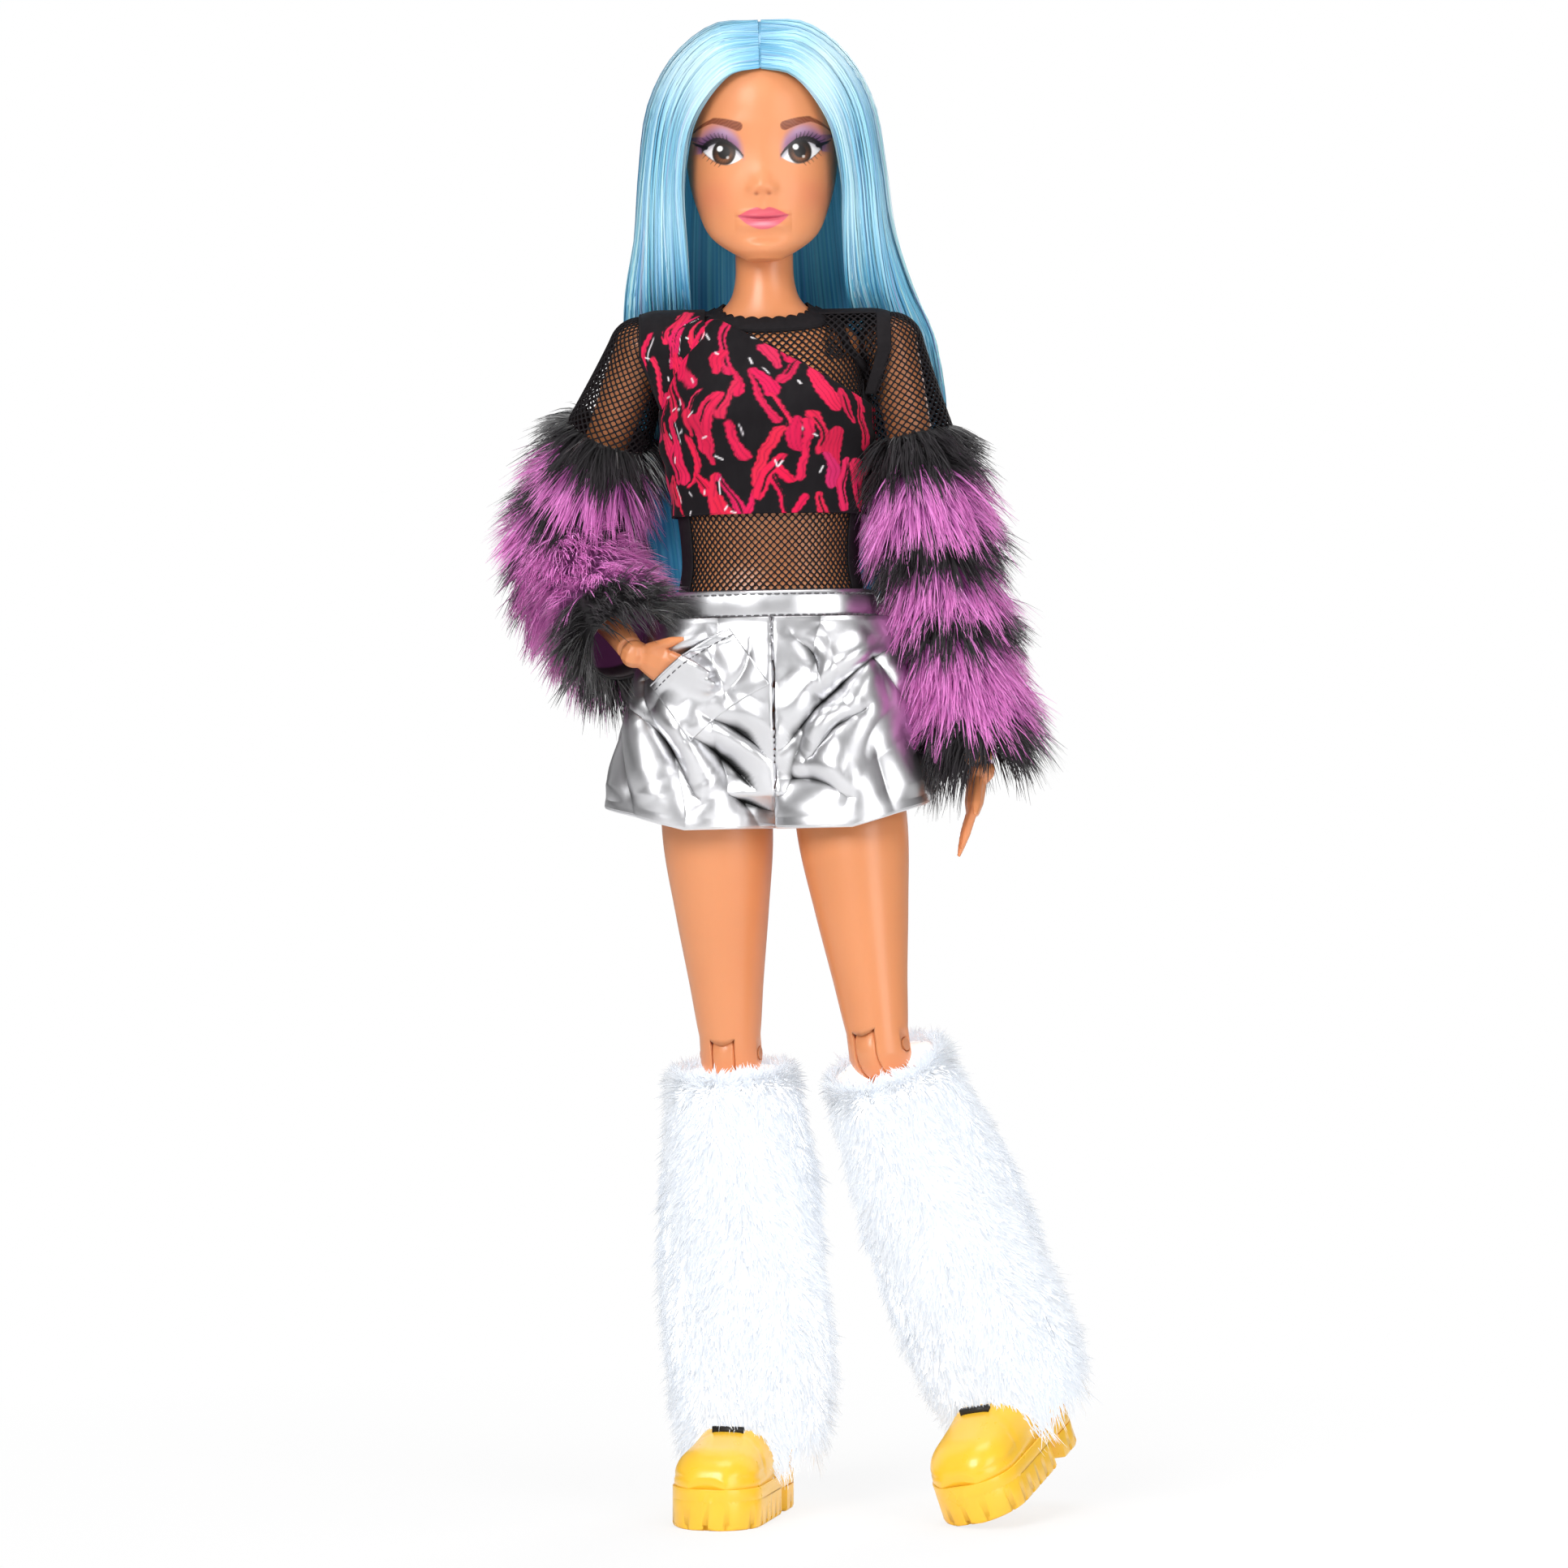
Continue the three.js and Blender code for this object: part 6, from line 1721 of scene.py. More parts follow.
    def seams(self, side, grid, turn, heights):
        """Stitching beside the front seam and down the side, above a height of 4 mm."""
        high = heights > 4
        parts = []
        for angle, sense in ((math.pi * 1.5 - side * 0.62, 1), (0.0 if side > 0 else math.pi, 1)):
            column = int(round((angle % (2 * math.pi)) / (2 * math.pi) * len(turn))) % len(turn)
            path = grid[high, column]
            out = np.stack((np.full(len(path), math.cos(turn[column])), np.full(len(path), math.sin(turn[column])), np.zeros(len(path))), -1)
            parts.append(stitches(path, out))
        return parts


def pile(name, roughness=0.5, sheen=0.3, glow=0.0):
    """Fibres tinted by their points; glow stands for light that scatters on between pale ones."""
    shade = Shade(name, roughness=roughness)
    tint = shade.tint()
    streak = shade.noise(800, (1, 1, 0.15), detail=2)
    shade.set(base_color=shade.mix(0.2 * streak, tint, (0.7, 0.7, 0.72, 1), "MULTIPLY"))
    shade.set(roughness=roughness - 0.1 + 0.2 * streak)
    shade.surface.inputs["Sheen Weight"].default_value = sheen
    shade.surface.inputs["Specular IOR Level"].default_value = 0.35
    if glow:
        shade.set(emission_color=tint)
        shade.surface.inputs["Emission Strength"].default_value = glow
    return shade.material


def strands(roots, heads, bends, lengths, widths, root_tints, tip_tints, facing, random):
    """Tapered fibres as ribbons that face one way each; lengths in millimetres."""
    t = np.linspace(0, 1, 4)[:, None, None]
    run = lengths[None, :, None]
    centre = roots[None] + run * (t * heads[None] + 0.5 * t**2 * bends[None])
    side = np.cross(heads, facing)
    side /= np.maximum(np.linalg.norm(side, axis=1, keepdims=True), 1e-9)
    roll = random.normal(0, 0.45, (len(heads), 1))
    side = side * np.cos(roll) + np.cross(heads, side) * np.sin(roll)
    taper = np.array((0.8, 1.0, 0.75, 0.12))[:, None, None]
    half = side[None] * widths[None, :, None] * taper / 2
    points = np.stack((centre - half, centre + half), 2)
    index = np.arange(points.size // 3).reshape(points.shape[:3])
    quads = np.stack((index[:-1, :, 0], index[:-1, :, 1], index[1:, :, 1], index[1:, :, 0]), -1).reshape(-1, 4)
    tints = root_tints[None] + (tip_tints - root_tints)[None] * t**0.8
    tints = np.repeat(tints[:, :, None], 2, 2)
    ways = facing + random.normal(0, 0.16, facing.shape)
    ways = np.broadcast_to(ways[None, :, None], points.shape)
    return points.reshape(-1, 3), [quads], tints.reshape(-1, 3), ways.reshape(-1, 3)


def clumped(roots, heads, count, strength, random):
    """Turns each fibre towards the fibres of its tuft."""
    picks = random.choice(len(roots), count, replace=False)
    tree = BVHTreeLike(roots[picks])
    nearest = tree.nearest(roots)
    target = roots[picks][nearest] + heads[picks][nearest] * 6
    pulled = target - roots
    pulled /= np.maximum(np.linalg.norm(pulled, axis=1, keepdims=True), 1e-9)
    mixed = heads * (1 - strength) + pulled * strength
    return mixed / np.linalg.norm(mixed, axis=1, keepdims=True), nearest


class BVHTreeLike:
    """Nearest points, found in blocks."""

    def __init__(self, points):
        self.points = points

    def nearest(self, queries):
        found = np.empty(len(queries), int)
        for start in range(0, len(queries), 2000):
            block = queries[start : start + 2000]
            gaps = ((block[:, None] - self.points[None]) ** 2).sum(-1)
            found[start : start + 2000] = gaps.argmin(1)
        return found


def swept(path, side_axis, radii, count=64):
    """Rings along a path in millimetres, with the normals of the skin."""
    run = np.gradient(path, axis=0)
    run /= np.linalg.norm(run, axis=1, keepdims=True)
    side = side_axis[None] - run * (run @ side_axis)[:, None]
    side /= np.linalg.norm(side, axis=1, keepdims=True)
    other = np.cross(run, side)
    angles = round_angles(count)
    out = np.cos(angles)[None, :, None] * side[:, None] + np.sin(angles)[None, :, None] * other[:, None]
    return path[:, None] + radii[:, None, None] * out, out, run


class DOLL_OT_fur_sleeves(bpy.types.Operator):
    """Grows the long banded fur of the sleeve ends."""

    bl_idname = "doll.fur_sleeves"
    bl_label = "Fur sleeves"

    bands = {
        "right": ((0.1, 0), (0.21, 1), (0.29, 0), (0.45, 1), (0.53, 0), (0.88, 1), (1.1, 0)),
        "left": ((0.13, 0), (0.31, 1), (0.43, 0), (0.57, 1), (0.66, 0), (0.9, 1), (1.1, 0)),
    }

    def path_of(self, word):
        """The middle of the sleeve from its top over the elbow to its end, seen from the pelvis."""
        inverse = np.array(PLACES["pelvis"].inverted())
        ends = []
        for key, z in (("arm", -18.6), ("arm", -UPPER_ARM), ("fore", -35.5)):
            world = np.array(PLACES[f"{key}_{word}"]) @ np.array((0, 0, z * MM, 1))
            ends.append((inverse @ world)[:3] / MM)
        ends = np.array(ends)
        cut = np.array([0, np.linalg.norm(ends[1] - ends[0]), 0])
        cut[2] = cut[1] + np.linalg.norm(ends[2] - ends[1])
        at = np.linspace(0, cut[2], 90)
        path = np.stack([np.interp(at, cut, ends[:, k]) for k in range(3)], -1)
        for _ in range(40):
            path[1:-1] = (path[:-2] + 2 * path[1:-1] + path[2:]) / 4
        return path

    def band_at(self, word, share):
        out = np.zeros(share.shape)
        previous = -0.1
        for stop, bright in self.bands[word]:
            out = np.where((share >= previous) & (share < stop), bright, out)
            previous = stop
        return out

    def execute(self, context):
        random = np.random.default_rng(23)
        fibres = kept("sleeve_fibres", pile, 0.45, 0.35, 0.19)
        glow = as_seen(context.scene.doll_colours.fur)
        length = context.scene.doll_sizes.fur_length / MM
        for side, word in SIDES:
            path = self.path_of(word)
            hinge = np.array(PLACES["pelvis"].inverted().to_3x3() @ PLACES[f"fore_{word}"].to_3x3().col[0])
            share = np.linspace(0, 1, len(path))
            lumps = 0.75 * np.cos(2 * math.pi * share * 3.2 + 0.6)
            radii = 9.7 + lumps - 1.6 * bump_of(share, 0.06) - 1.3 * bump_of(share - 1, 0.05)
            skin_grid, out, run = swept(path, hinge, radii)
            lining, _, _ = swept(path, hinge, radii - 0.6)
            closed = np.concatenate((skin_grid, lining[::-1], skin_grid[:1]))
            points, faces = tube(closed, capped=False)
            row_share = np.concatenate((share, share[::-1], share[:1]))
            bright = self.band_at(word, row_share)[:, None, None]
            # The backing takes half the bright colour: painted shade deep in the pile.
            tints = np.array((16, 13, 16)) + bright * (0.5 * glow - np.array((16, 13, 16)))
            tints = np.broadcast_to(tints, closed.shape).reshape(-1, 3)
            backing = new_piece(
                f"fur_sleeve_backing_{word}", moved(points, PLACES["pelvis"]), faces, fibres,
                tint=seen_colours(np.clip(tints, 0, 255)),
            )
            welded(backing)
            count = 15000
            u = random.uniform(0, 2 * math.pi, count)
            v = np.clip(random.uniform(-0.02, 1.02, count), 0, 1)
            row = np.clip((v * (len(path) - 1)).astype(int), 0, len(path) - 1)
            column = (u / (2 * math.pi) * 64).astype(int) % 64
            roots, normal = skin_grid[row, column].copy(), out[row, column]
            roots += run[row] * random.normal(0, 0.25, (count, 1)) + np.cross(run[row], normal) * random.uniform(
                -0.5, 0.5, (count, 1)
            )
            lean = np.radians(random.normal(38, 11, count)) * np.clip((v + 0.05) * 6, -0.2, 1)
            lean = np.where(v > 0.985, np.radians(random.uniform(40, 95, count)), lean)
            heads = normal * np.cos(lean)[:, None] + run[row] * np.sin(lean)[:, None]
            heads += random.normal(0, 0.2, (count, 3))
            heads /= np.linalg.norm(heads, axis=1, keepdims=True)
            heads, tuft = clumped(roots, heads, 420, 0.5, random)
            bends = np.array((0, 0, -0.55)) + run[row] * 0.25 + random.normal(0, 0.12, (count, 3))
            lengths = length * random.uniform(0.55, 1.15, count) * (0.8 + 0.4 * random.random(420)[tuft])
            widths = random.uniform(0.16, 0.36, count)
            mark = v + random.normal(0, 0.018, count) + 0.02 * np.sin(3 * u + 1.7 * side)
            bright = self.band_at(word, np.clip(mark, 0, 1))[:, None]
            shift = random.normal(0, 1, (count, 1))
            # Roots darker than tips: painted shade down in the pile.
            dark_root, dark_tip = np.array((12, 10, 12)), np.array((34, 27, 33)) + 8 * shift
            glow_root = 0.78 * glow + 12 * shift
            glow_tip = 1.12 * glow + (16, 34, 6) + 16 * shift
            root_tints = dark_root + bright * (glow_root - dark_root)
            tip_tints = dark_tip + bright * (glow_tip - dark_tip)
            points, faces, tints, ways = strands(
                roots, heads, bends, lengths, widths, root_tints, tip_tints, normal, random
            )
            ways = ways @ np.array(PLACES["pelvis"].to_3x3()).T
            sleeve = new_piece(
                f"fur_sleeve_pile_{word}", moved(points, PLACES["pelvis"]), faces, fibres,
                tint=seen_colours(np.clip(tints, 0, 255)), facing=ways,
            )
            upper = np.array(PLACES[f"arm_{word}"])[:3, 2]
            lower = np.array(PLACES[f"fore_{word}"])[:3, 2]
            way = upper + lower
            way /= np.linalg.norm(way)
            for piece in (backing, sleeve):
                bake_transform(piece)
            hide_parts(f"fur_sleeve_{word}")
        return {"FINISHED"}


WARMER_ROWS = (
    (0, 0.74, 0.72, 0.74), (0.06, 0.82, 0.8, 0.82), (0.3, 0.94, 0.9, 0.92), (0.6, 1, 0.96, 0.98),
    (0.85, 1, 0.97, 0.98), (0.96, 0.93, 0.92, 0.92), (1, 0.8, 0.84, 0.82),
)


class DOLL_OT_leg_warmers(bpy.types.Operator):
    """Grows the white fur of the leg warmers."""

    bl_idname = "doll.leg_warmers"
    bl_label = "Leg warmers"

    def execute(self, context):
        random = np.random.default_rng(31)
        fibres = kept("white_fibres", pile, 0.6, 0.5, 0.75)
        length = context.scene.doll_sizes.warmer_pile / MM
        for side, word in SIDES:
            rows, columns = 70, 96

            def puffs(angle, along):
                wave = np.cos(5 * angle + 9 * along)
                return 0.8 * wave * np.sin(np.pi * np.clip(along, 0, 1))

            sizes = round_sizes(75, 36.5)
            turn = round_angles(columns)
            grid = section(rows_at(WARMER_ROWS, np.linspace(0, 1, rows)), sizes, -2.6, turn, puffs)
            inner = section(rows_at(WARMER_ROWS, np.linspace(0, 1, rows)), sizes, -3.4, turn, puffs)
            closed = np.concatenate((grid, inner[::-1], grid[:1]))
            points, faces = tube(closed, capped=False)
            hang = turned("X", 180).T
            place = PLACES[f"shin_{word}"]
            backing = new_piece(
                f"leg_warmer_backing_{word}", moved(points @ hang - (0, 0, 3.6), place), faces, fibres,
                f"lower_leg_{word}", tint=seen_colours(np.full((len(points), 3), 236.0)),
            )
            welded(backing)
            count = 30000
            v = random.uniform(0, 1, count)
            v[:3600] = np.abs(random.normal(0, 0.012, 3600))
            u = random.uniform(0, 2 * math.pi, count)
            pick = rows_at(WARMER_ROWS, v)
            roots = section(pick, sizes, -2.6, u[:, None], puffs)[:, 0]
            normal = np.stack((np.cos(u), np.sin(u), 0 * u), -1)
            down = np.array((0, 0, 1.0))
            edge_low, edge_high = bump_of(v, 0.035), bump_of(v - 1, 0.03)
            lean = np.radians(random.normal(54, 12, count))
            rim = np.radians(random.uniform(-150, 10, count))
            lean = lean * (1 - edge_low) + rim * edge_low + np.radians(35) * edge_high
            heads = normal * np.cos(lean)[:, None] + down * np.sin(lean)[:, None]
            swirl = 0.35 * np.sin(3 * u + 7 * v) + 0.25 * np.sin(7 * u - 11 * v + 2)
            heads += np.stack((-np.sin(u), np.cos(u), 0 * u), -1) * (swirl + random.normal(0, 0.2, count))[:, None]
            heads += random.normal(0, 0.16, (count, 3))
            heads /= np.linalg.norm(heads, axis=1, keepdims=True)
            heads, tuft = clumped(roots, heads, 620, 0.32, random)
            bends = down * 0.25 + random.normal(0, 0.2, (count, 3))
            lengths = length * random.uniform(0.5, 0.95, count) * (0.8 + 0.4 * random.random(620)[tuft])
            lengths *= 1 + 1.1 * edge_high
            widths = random.uniform(0.2, 0.38, count)
            # Roots greyer than tips: painted shade down in the white pile.
            root_tints = np.array((186, 191, 198)) + random.normal(0, 4, (count, 1))
            tip_tints = np.array((202, 205, 209)) + random.normal(0, 2, (count, 1))
            points, faces, tints, ways = strands(
                roots, heads, bends, lengths, widths, root_tints, tip_tints, normal, random
            )
            ways = ways @ hang @ np.array(place.to_3x3()).T
            warmer = new_piece(
                f"leg_warmer_pile_{word}", moved(points @ hang - (0, 0, 3.6), place), faces, fibres,
                f"lower_leg_{word}", tint=seen_colours(np.clip(tints, 0, 255)), facing=ways,
            )
            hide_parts(f"leg_warmer_{word}")
        return {"FINISHED"}


def shoe_plastic(name, colour):
    """Glossy moulded rubber."""
    shade = Shade(name, roughness=0.28)
    mottle = shade.noise(120, detail=2)
    shade.set(base_color=shade.mix(0.3 * mottle, colour, (1, 0.86, 0.55, 1), "MULTIPLY"))
    shade.set(roughness=0.22 + 0.16 * shade.noise(300), coat_weight=0.25)
    shade.set(normal=shade.bump(shade.noise(700, detail=2), 0.06, 0.2 * MM))
    shade.surface.inputs["Coat Roughness"].default_value = 0.15
    shade.surface.inputs["Subsurface Weight"].default_value = 0.06
    shade.surface.inputs["Subsurface Scale"].default_value = 1 * MM
    return shade.material


SOLE_TOP, SOLE_FLOOR = -20.0, -28.0
TOE, HEEL = -31.0, 12.0
TOE_HALF, HEEL_HALF = 9.0, 7.4
PLATFORM_END, HEEL_START = -5.0, 0.0
PLATE_BOTTOM = -22.6


def sole_half_width(y):
    """Half the width of the sole by place along the foot."""
    y = np.asarray(y, float)
    toe_middle, heel_middle = TOE + TOE_HALF, HEEL - HEEL_HALF
    straight = TOE_HALF + (HEEL_HALF - TOE_HALF) * np.clip((y - toe_middle) / (heel_middle - toe_middle), 0, 1)
    toe = np.sqrt(np.clip(TOE_HALF**2 - np.minimum(y - toe_middle, 0) ** 2, 0, None))
    heel = np.sqrt(np.clip(HEEL_HALF**2 - np.maximum(y - heel_middle, 0) ** 2, 0, None))
    return np.where(y < toe_middle, toe, np.where(y > heel_middle, heel, straight))


def sole_outline(start, end, inset=0.0, count=44):
    """A closed outline of the sole between two places along the foot."""
    start, end = start + inset, end - inset
    t = 0.5 - 0.5 * np.cos(np.linspace(0, math.pi, count))
    y = start + (end - start) * t
    half = np.maximum(sole_half_width(np.clip(y, TOE, HEEL)) - inset, 0.02)
    right = np.stack((half, y), -1)
    left = np.stack((-half, y), -1)[::-1]
    return np.concatenate((right, left))


def sole_block(start, end, bottom, top, bevel=0.6, low_bevel=0.6):
    rows = []
    for inset, height in (
        (low_bevel, bottom), (low_bevel * 0.3, bottom + low_bevel * 0.3), (0, bottom + low_bevel),
        (0, top - bevel), (bevel * 0.3, top - bevel * 0.3), (bevel, top),
    ):
        outline = sole_outline(start, end, inset)
        rows.append(np.column_stack((outline, np.full(len(outline), height))))
    return tube(np.array(rows))


class DOLL_OT_shoes(bpy.types.Operator):
    """Moulds the platform shoes."""

    bl_idname = "doll.shoes"
    bl_label = "Shoes"

    def upper(self):
        """The closed upper, a loft from heel to toe over the sole."""
        t = 0.5 - 0.5 * np.cos(np.linspace(0, math.pi, 72))
        y = HEEL - 1.1 + (TOE + 1.0 - (HEEL - 1.1)) * t
        half = np.maximum(sole_half_width(y) - 0.3, 0.05)
        table = np.array(((-31, 6.4), (-27, 7.0), (-21, 8.2), (-13, 10.6), (-8, 13.6), (0, 16), (7, 15.2), (12, 14)))
        height = np.interp(y, table[:, 0], table[:, 1])
        height = np.convolve(np.pad(height, 4, "edge"), np.ones(9) / 9, "valid")
        round_toe = np.sqrt(np.clip(1 - (np.clip(-y - 23.5, 0, 6.6) / 6.7) ** 2, 0.001, 1)) ** 0.7
        round_heel = np.sqrt(np.clip(1 - (np.clip(y - 7.5, 0, 3.4) / 3.5) ** 2, 0.001, 1)) ** 0.6
        height = height * round_toe * round_heel
        a = np.linspace(0, math.pi, 49)
        narrow = 1 - 0.2 * np.sin(a) ** 2
        x = half[:, None] * (np.sign(np.cos(a)) * np.abs(np.cos(a)) ** 0.55 * narrow)[None]
        z = SOLE_TOP - 0.2 + height[:, None] * (np.abs(np.sin(a)) ** 0.62)[None]
        welt = 0.3 * bump_of(z - SOLE_TOP - 2.1, 0.3)
        seam = 0.28 * bump_of(y[:, None] + 17 + 1.2 * np.cos(2 * a)[None], 0.4) * (z > SOLE_TOP + 2)
        x = x * (1 - (welt + seam) / 8)
        z = z - seam * 0.6
        top = np.stack((x, y[:, None] + 0 * a[None], z), -1)
        bottom = top[:, ::-1].copy()
        bottom[..., 2] = SOLE_TOP - 0.2
        bottom = bottom[:, 6:-6:6]
        return tube(np.concatenate((top, bottom), 1))

    def execute(self, context):
        colours = context.scene.doll_colours
        rubber = kept("yellow_rubber", shoe_plastic, tuple(colours.shoe))
        dark = kept("dark_slot", moulded_plastic, tone(22, 16, 10), 0.6)
        for _, word in SIDES:
            place = PLACES[f"foot_{word}"]
            body = f"lower_leg_{word}"
            points, faces = self.upper()
            upper = new_piece(f"shoe_upper_shell_{word}", moved(points, place), faces, rubber)
            turn = round_angles(48)
            ring = np.stack((7.0 * np.cos(turn), 7.4 * np.sin(turn)), -1)
            rows = [np.column_stack((ring, np.full(48, z))) for z in (SOLE_TOP + 2.9, 12.0)]
            hole_points, hole_faces = tube(np.array(rows))
            hole = new_piece("collar_hole", moved(hole_points, place), hole_faces, rubber)
            carve(upper, hole)
            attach(upper, body)
            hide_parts(f"shoe_upper_{word}")

            plate = sole_block(TOE, HEEL, PLATE_BOTTOM, SOLE_TOP, 0.12, 0.01)
            front = sole_block(TOE, PLATFORM_END, SOLE_FLOOR, PLATE_BOTTOM + 0.3, 0.01, 0.7)
            points, faces = joined(plate, front)
            sole = new_piece(f"shoe_sole_block_{word}", moved(points, place), faces, rubber, body)
            cuts = []
            for i in range(6):
                y = TOE + 5.2 + 3.9 * i
                for side in (-1, 1):
                    wide = float(sole_half_width(y))
                    cuts.append(box_points((2.0, 1.1, 2.2), (side * wide, y, SOLE_FLOOR)))
            for i in range(3):
                cuts.append(box_points((1.1, 2.0, 2.2), (4.2 * (i - 1), TOE + 0.25 * abs(i - 1), SOLE_FLOOR)))
            tool_points, tool_faces = joined(*cuts)
            carve(sole, new_piece("treads", moved(tool_points, place), tool_faces, rubber))
            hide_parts(f"shoe_sole_{word}")

            heel_points, heel_faces = sole_block(HEEL_START, HEEL, SOLE_FLOOR, PLATE_BOTTOM - 0.3, 0.01, 0.7)
            heel = new_piece(f"heel_block_rubber_{word}", moved(heel_points, place), heel_faces, rubber, body)
            cuts = [box_points((2.2, 1.2, 3.2), (side * 7.2, y, SOLE_FLOOR)) for y in (3.4, 7.2) for side in (-1, 1)]
            tool_points, tool_faces = joined(*cuts)
            carve(heel, new_piece("treads", moved(tool_points, place), tool_faces, rubber))
            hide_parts(f"heel_block_{word}")

            slot_points, slot_faces = box_points((6.4, 1.2, 1.3), (0, -15.2, SOLE_TOP + 9.9))
            slot = new_piece(f"shoe_slot_{word}", moved(slot_points, place), slot_faces, dark, body)
        return {"FINISHED"}


def box_points(size, middle):
    """Corners and faces of a box in millimetres."""
    x, y, z = (s / 2 for s in size)
    corners = np.array([(a * x, b * y, c * z) for a in (-1, 1) for b in (-1, 1) for c in (-1, 1)])
    faces = [np.array([(0, 1, 3, 2), (4, 6, 7, 5), (0, 4, 5, 1), (2, 3, 7, 6), (0, 2, 6, 4), (1, 5, 7, 3)])]
    return corners + np.array(middle), faces


class DOLL_OT_pins(bpy.types.Operator):
    """Gives the joints' own pins, hubs and pegs their plastic."""

    bl_idname = "doll.pins"
    bl_label = "Pins"

    def execute(self, context):
        plastic = kept("pin_vinyl", moulded_plastic, tone(205, 134, 88), 0.42)
        for name, node in frame["nodes"].items():
            if any(word in name for word in ("pin", "hub", "peg", "plug", "knob")):
                node.data.materials.clear()
                node.data.materials.append(plastic)
        return {"FINISHED"}


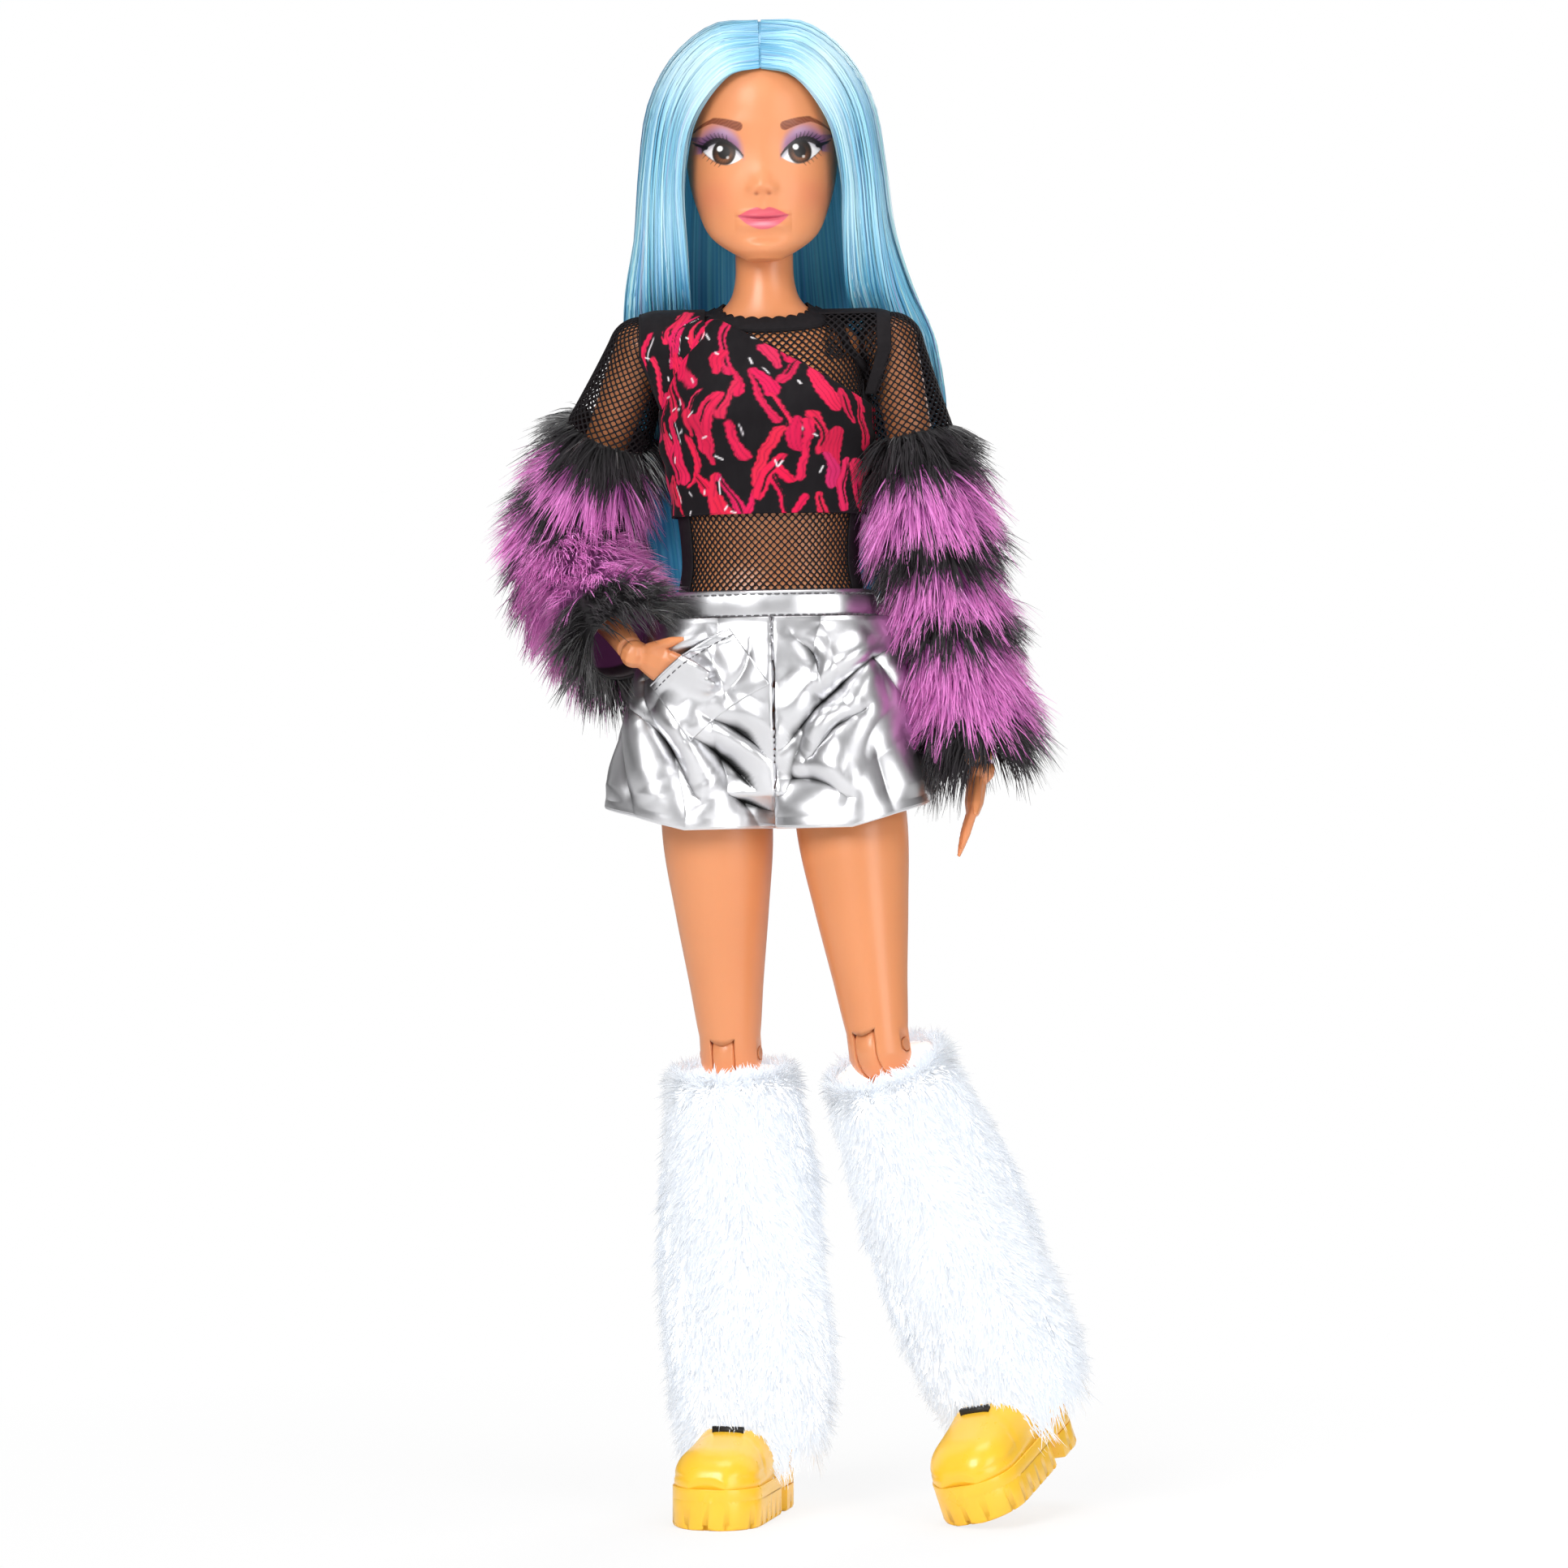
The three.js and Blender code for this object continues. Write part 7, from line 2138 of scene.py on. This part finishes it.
class DOLL_OT_stage(bpy.types.Operator):
    """Sets the floor, the lights and the camera."""

    bl_idname = "doll.stage"
    bl_label = "Floor, lights and camera"

    def light(self, name, place, aim, size, power, colour=(1, 1, 1)):
        data = bpy.data.lights.new(name, "AREA")
        data.shape = "RECTANGLE"
        data.size, data.size_y = size
        data.energy = power
        data.color = colour
        lamp = bpy.data.objects.new(name, data)
        lamp.location = place
        lamp.rotation_euler = (Vector(aim) - Vector(place)).to_track_quat("-Z", "Y").to_euler()
        bpy.context.collection.objects.link(lamp)

    def execute(self, context):
        points = np.array([(-4, -3, 0), (4, -3, 0), (4, 5, 0), (-4, 5, 0)], float)
        floor_shade = Shade("pale_floor", base_color=(0.9, 0.9, 0.9, 1), roughness=0.7)
        seen = floor_shade.node("ShaderNodeLightPath", out="Is Camera Ray")
        glow = floor_shade.node("ShaderNodeEmission", None, {"Color": (1, 1, 1, 1), "Strength": 1.0})
        surface = Term(floor_shade, floor_shade.surface.outputs[0])
        here = floor_shade.node("ShaderNodeTexCoord", out="Object")
        away = floor_shade.node("ShaderNodeVectorMath", {"operation": "LENGTH"}, {0: here}, out="Value")
        fade = 0.8 + 0.2 * (5 * away - 0.35).clamped()
        both = floor_shade.node("ShaderNodeMixShader", None, {0: seen * fade, 1: surface, 2: glow})
        output = floor_shade.tree.nodes["Material Output"]
        floor_shade.tree.links.new(both.socket, output.inputs["Surface"])
        floor = new_piece("floor", points, [np.array([(0, 1, 2, 3)])], floor_shade.material)

        world = bpy.data.worlds.new("studio")
        context.scene.world = world
        world.use_nodes = True
        tree = world.node_tree
        nodes, link = tree.nodes, tree.links.new
        seen = nodes.new("ShaderNodeLightPath")
        where = nodes.new("ShaderNodeTexCoord")
        split = nodes.new("ShaderNodeSeparateXYZ")
        ramp = nodes.new("ShaderNodeValToRGB")
        ramp.color_ramp.elements[0].position = 0.0
        ramp.color_ramp.elements[0].color = (0.55, 0.55, 0.56, 1)
        ramp.color_ramp.elements[1].position = 1.0
        ramp.color_ramp.elements[1].color = (1, 1, 1, 1)
        for place, grey in ((0.28, 0.4), (0.4, 0.06), (0.45, 0.62), (0.54, 0.7), (0.6, 0.05), (0.67, 0.95), (0.8, 0.5)):
            ramp.color_ramp.elements.new(place).color = (grey, grey, grey, 1)
        rise = nodes.new("ShaderNodeMath")
        rise.operation = "MULTIPLY_ADD"
        rise.inputs[1].default_value = 0.5
        rise.inputs[2].default_value = 0.5
        link(where.outputs["Generated"], split.inputs[0])
        link(split.outputs["Z"], rise.inputs[0])
        link(rise.outputs[0], ramp.inputs[0])
        dim = nodes.new("ShaderNodeBackground")
        dim.inputs["Strength"].default_value = 0.45
        link(ramp.outputs["Color"], dim.inputs["Color"])
        plain = nodes.new("ShaderNodeBackground")
        plain.inputs["Color"].default_value = (1, 1, 1, 1)
        mixed = nodes.new("ShaderNodeMixShader")
        link(seen.outputs["Is Camera Ray"], mixed.inputs[0])
        link(dim.outputs[0], mixed.inputs[1])
        link(plain.outputs[0], mixed.inputs[2])
        link(mixed.outputs[0], nodes["World Output"].inputs["Surface"])

        middle = (0, 0, 0.16)
        self.light("key", (-0.5, -1.1, 0.75), middle, (0.55, 0.55), 10.5)
        self.light("fill", (0.75, -1.0, 0.35), middle, (0.6, 0.9), 5.6)
        self.light("top", (0, -0.1, 1.1), middle, (0.6, 0.6), 4.4)
        self.light("rim", (0.35, 0.8, 0.5), middle, (0.4, 0.6), 3)

        data = bpy.data.cameras.new("camera")
        data.sensor_width = 36
        data.lens = 121.4
        data.clip_end = 20
        camera = bpy.data.objects.new("camera", data)
        camera.location = (-1.2 * MM, -1053.6 * MM, 145.5 * MM)
        camera.rotation_euler = (math.pi / 2, 0, 0)
        context.collection.objects.link(camera)
        context.scene.camera = camera
        context.scene.view_settings.view_transform = "Standard"
        return {"FINISHED"}


class DOLL_PT_panel(bpy.types.Panel):
    """Lists the doll's sizes, colours and pieces."""

    bl_idname = "DOLL_PT_panel"
    bl_label = "Fashion doll"
    bl_space_type = "VIEW_3D"
    bl_region_type = "UI"
    bl_category = "Doll"

    def draw(self, context):
        column = self.layout.column()
        for group in (context.scene.doll_sizes, context.scene.doll_colours):
            for name in group.__annotations__:
                column.prop(group, name)
        for operator in OPERATORS:
            column.operator(operator.bl_idname)


OPERATORS = (
    DOLL_OT_stage,
    DOLL_OT_trunk,
    DOLL_OT_limbs,
    DOLL_OT_hands,
    DOLL_OT_head,
    DOLL_OT_hair,
    DOLL_OT_net_top,
    DOLL_OT_crop_panel,
    DOLL_OT_shorts,
    DOLL_OT_fur_sleeves,
    DOLL_OT_leg_warmers,
    DOLL_OT_shoes,
    DOLL_OT_pins,
)
CLASSES = (DollSizes, DollColours, *OPERATORS, DOLL_PT_panel)


def register():
    for cls in CLASSES:
        bpy.utils.register_class(cls)
    bpy.types.Scene.doll_sizes = bpy.props.PointerProperty(type=DollSizes)
    bpy.types.Scene.doll_colours = bpy.props.PointerProperty(type=DollColours)


def unregister():
    del bpy.types.Scene.doll_colours
    del bpy.types.Scene.doll_sizes
    for cls in reversed(CLASSES):
        bpy.utils.unregister_class(cls)


def main():
    register()
    for operator in OPERATORS:
        group, name = operator.bl_idname.split(".")
        getattr(getattr(bpy.ops, group), name)()


if __name__ == "__main__":
    main()
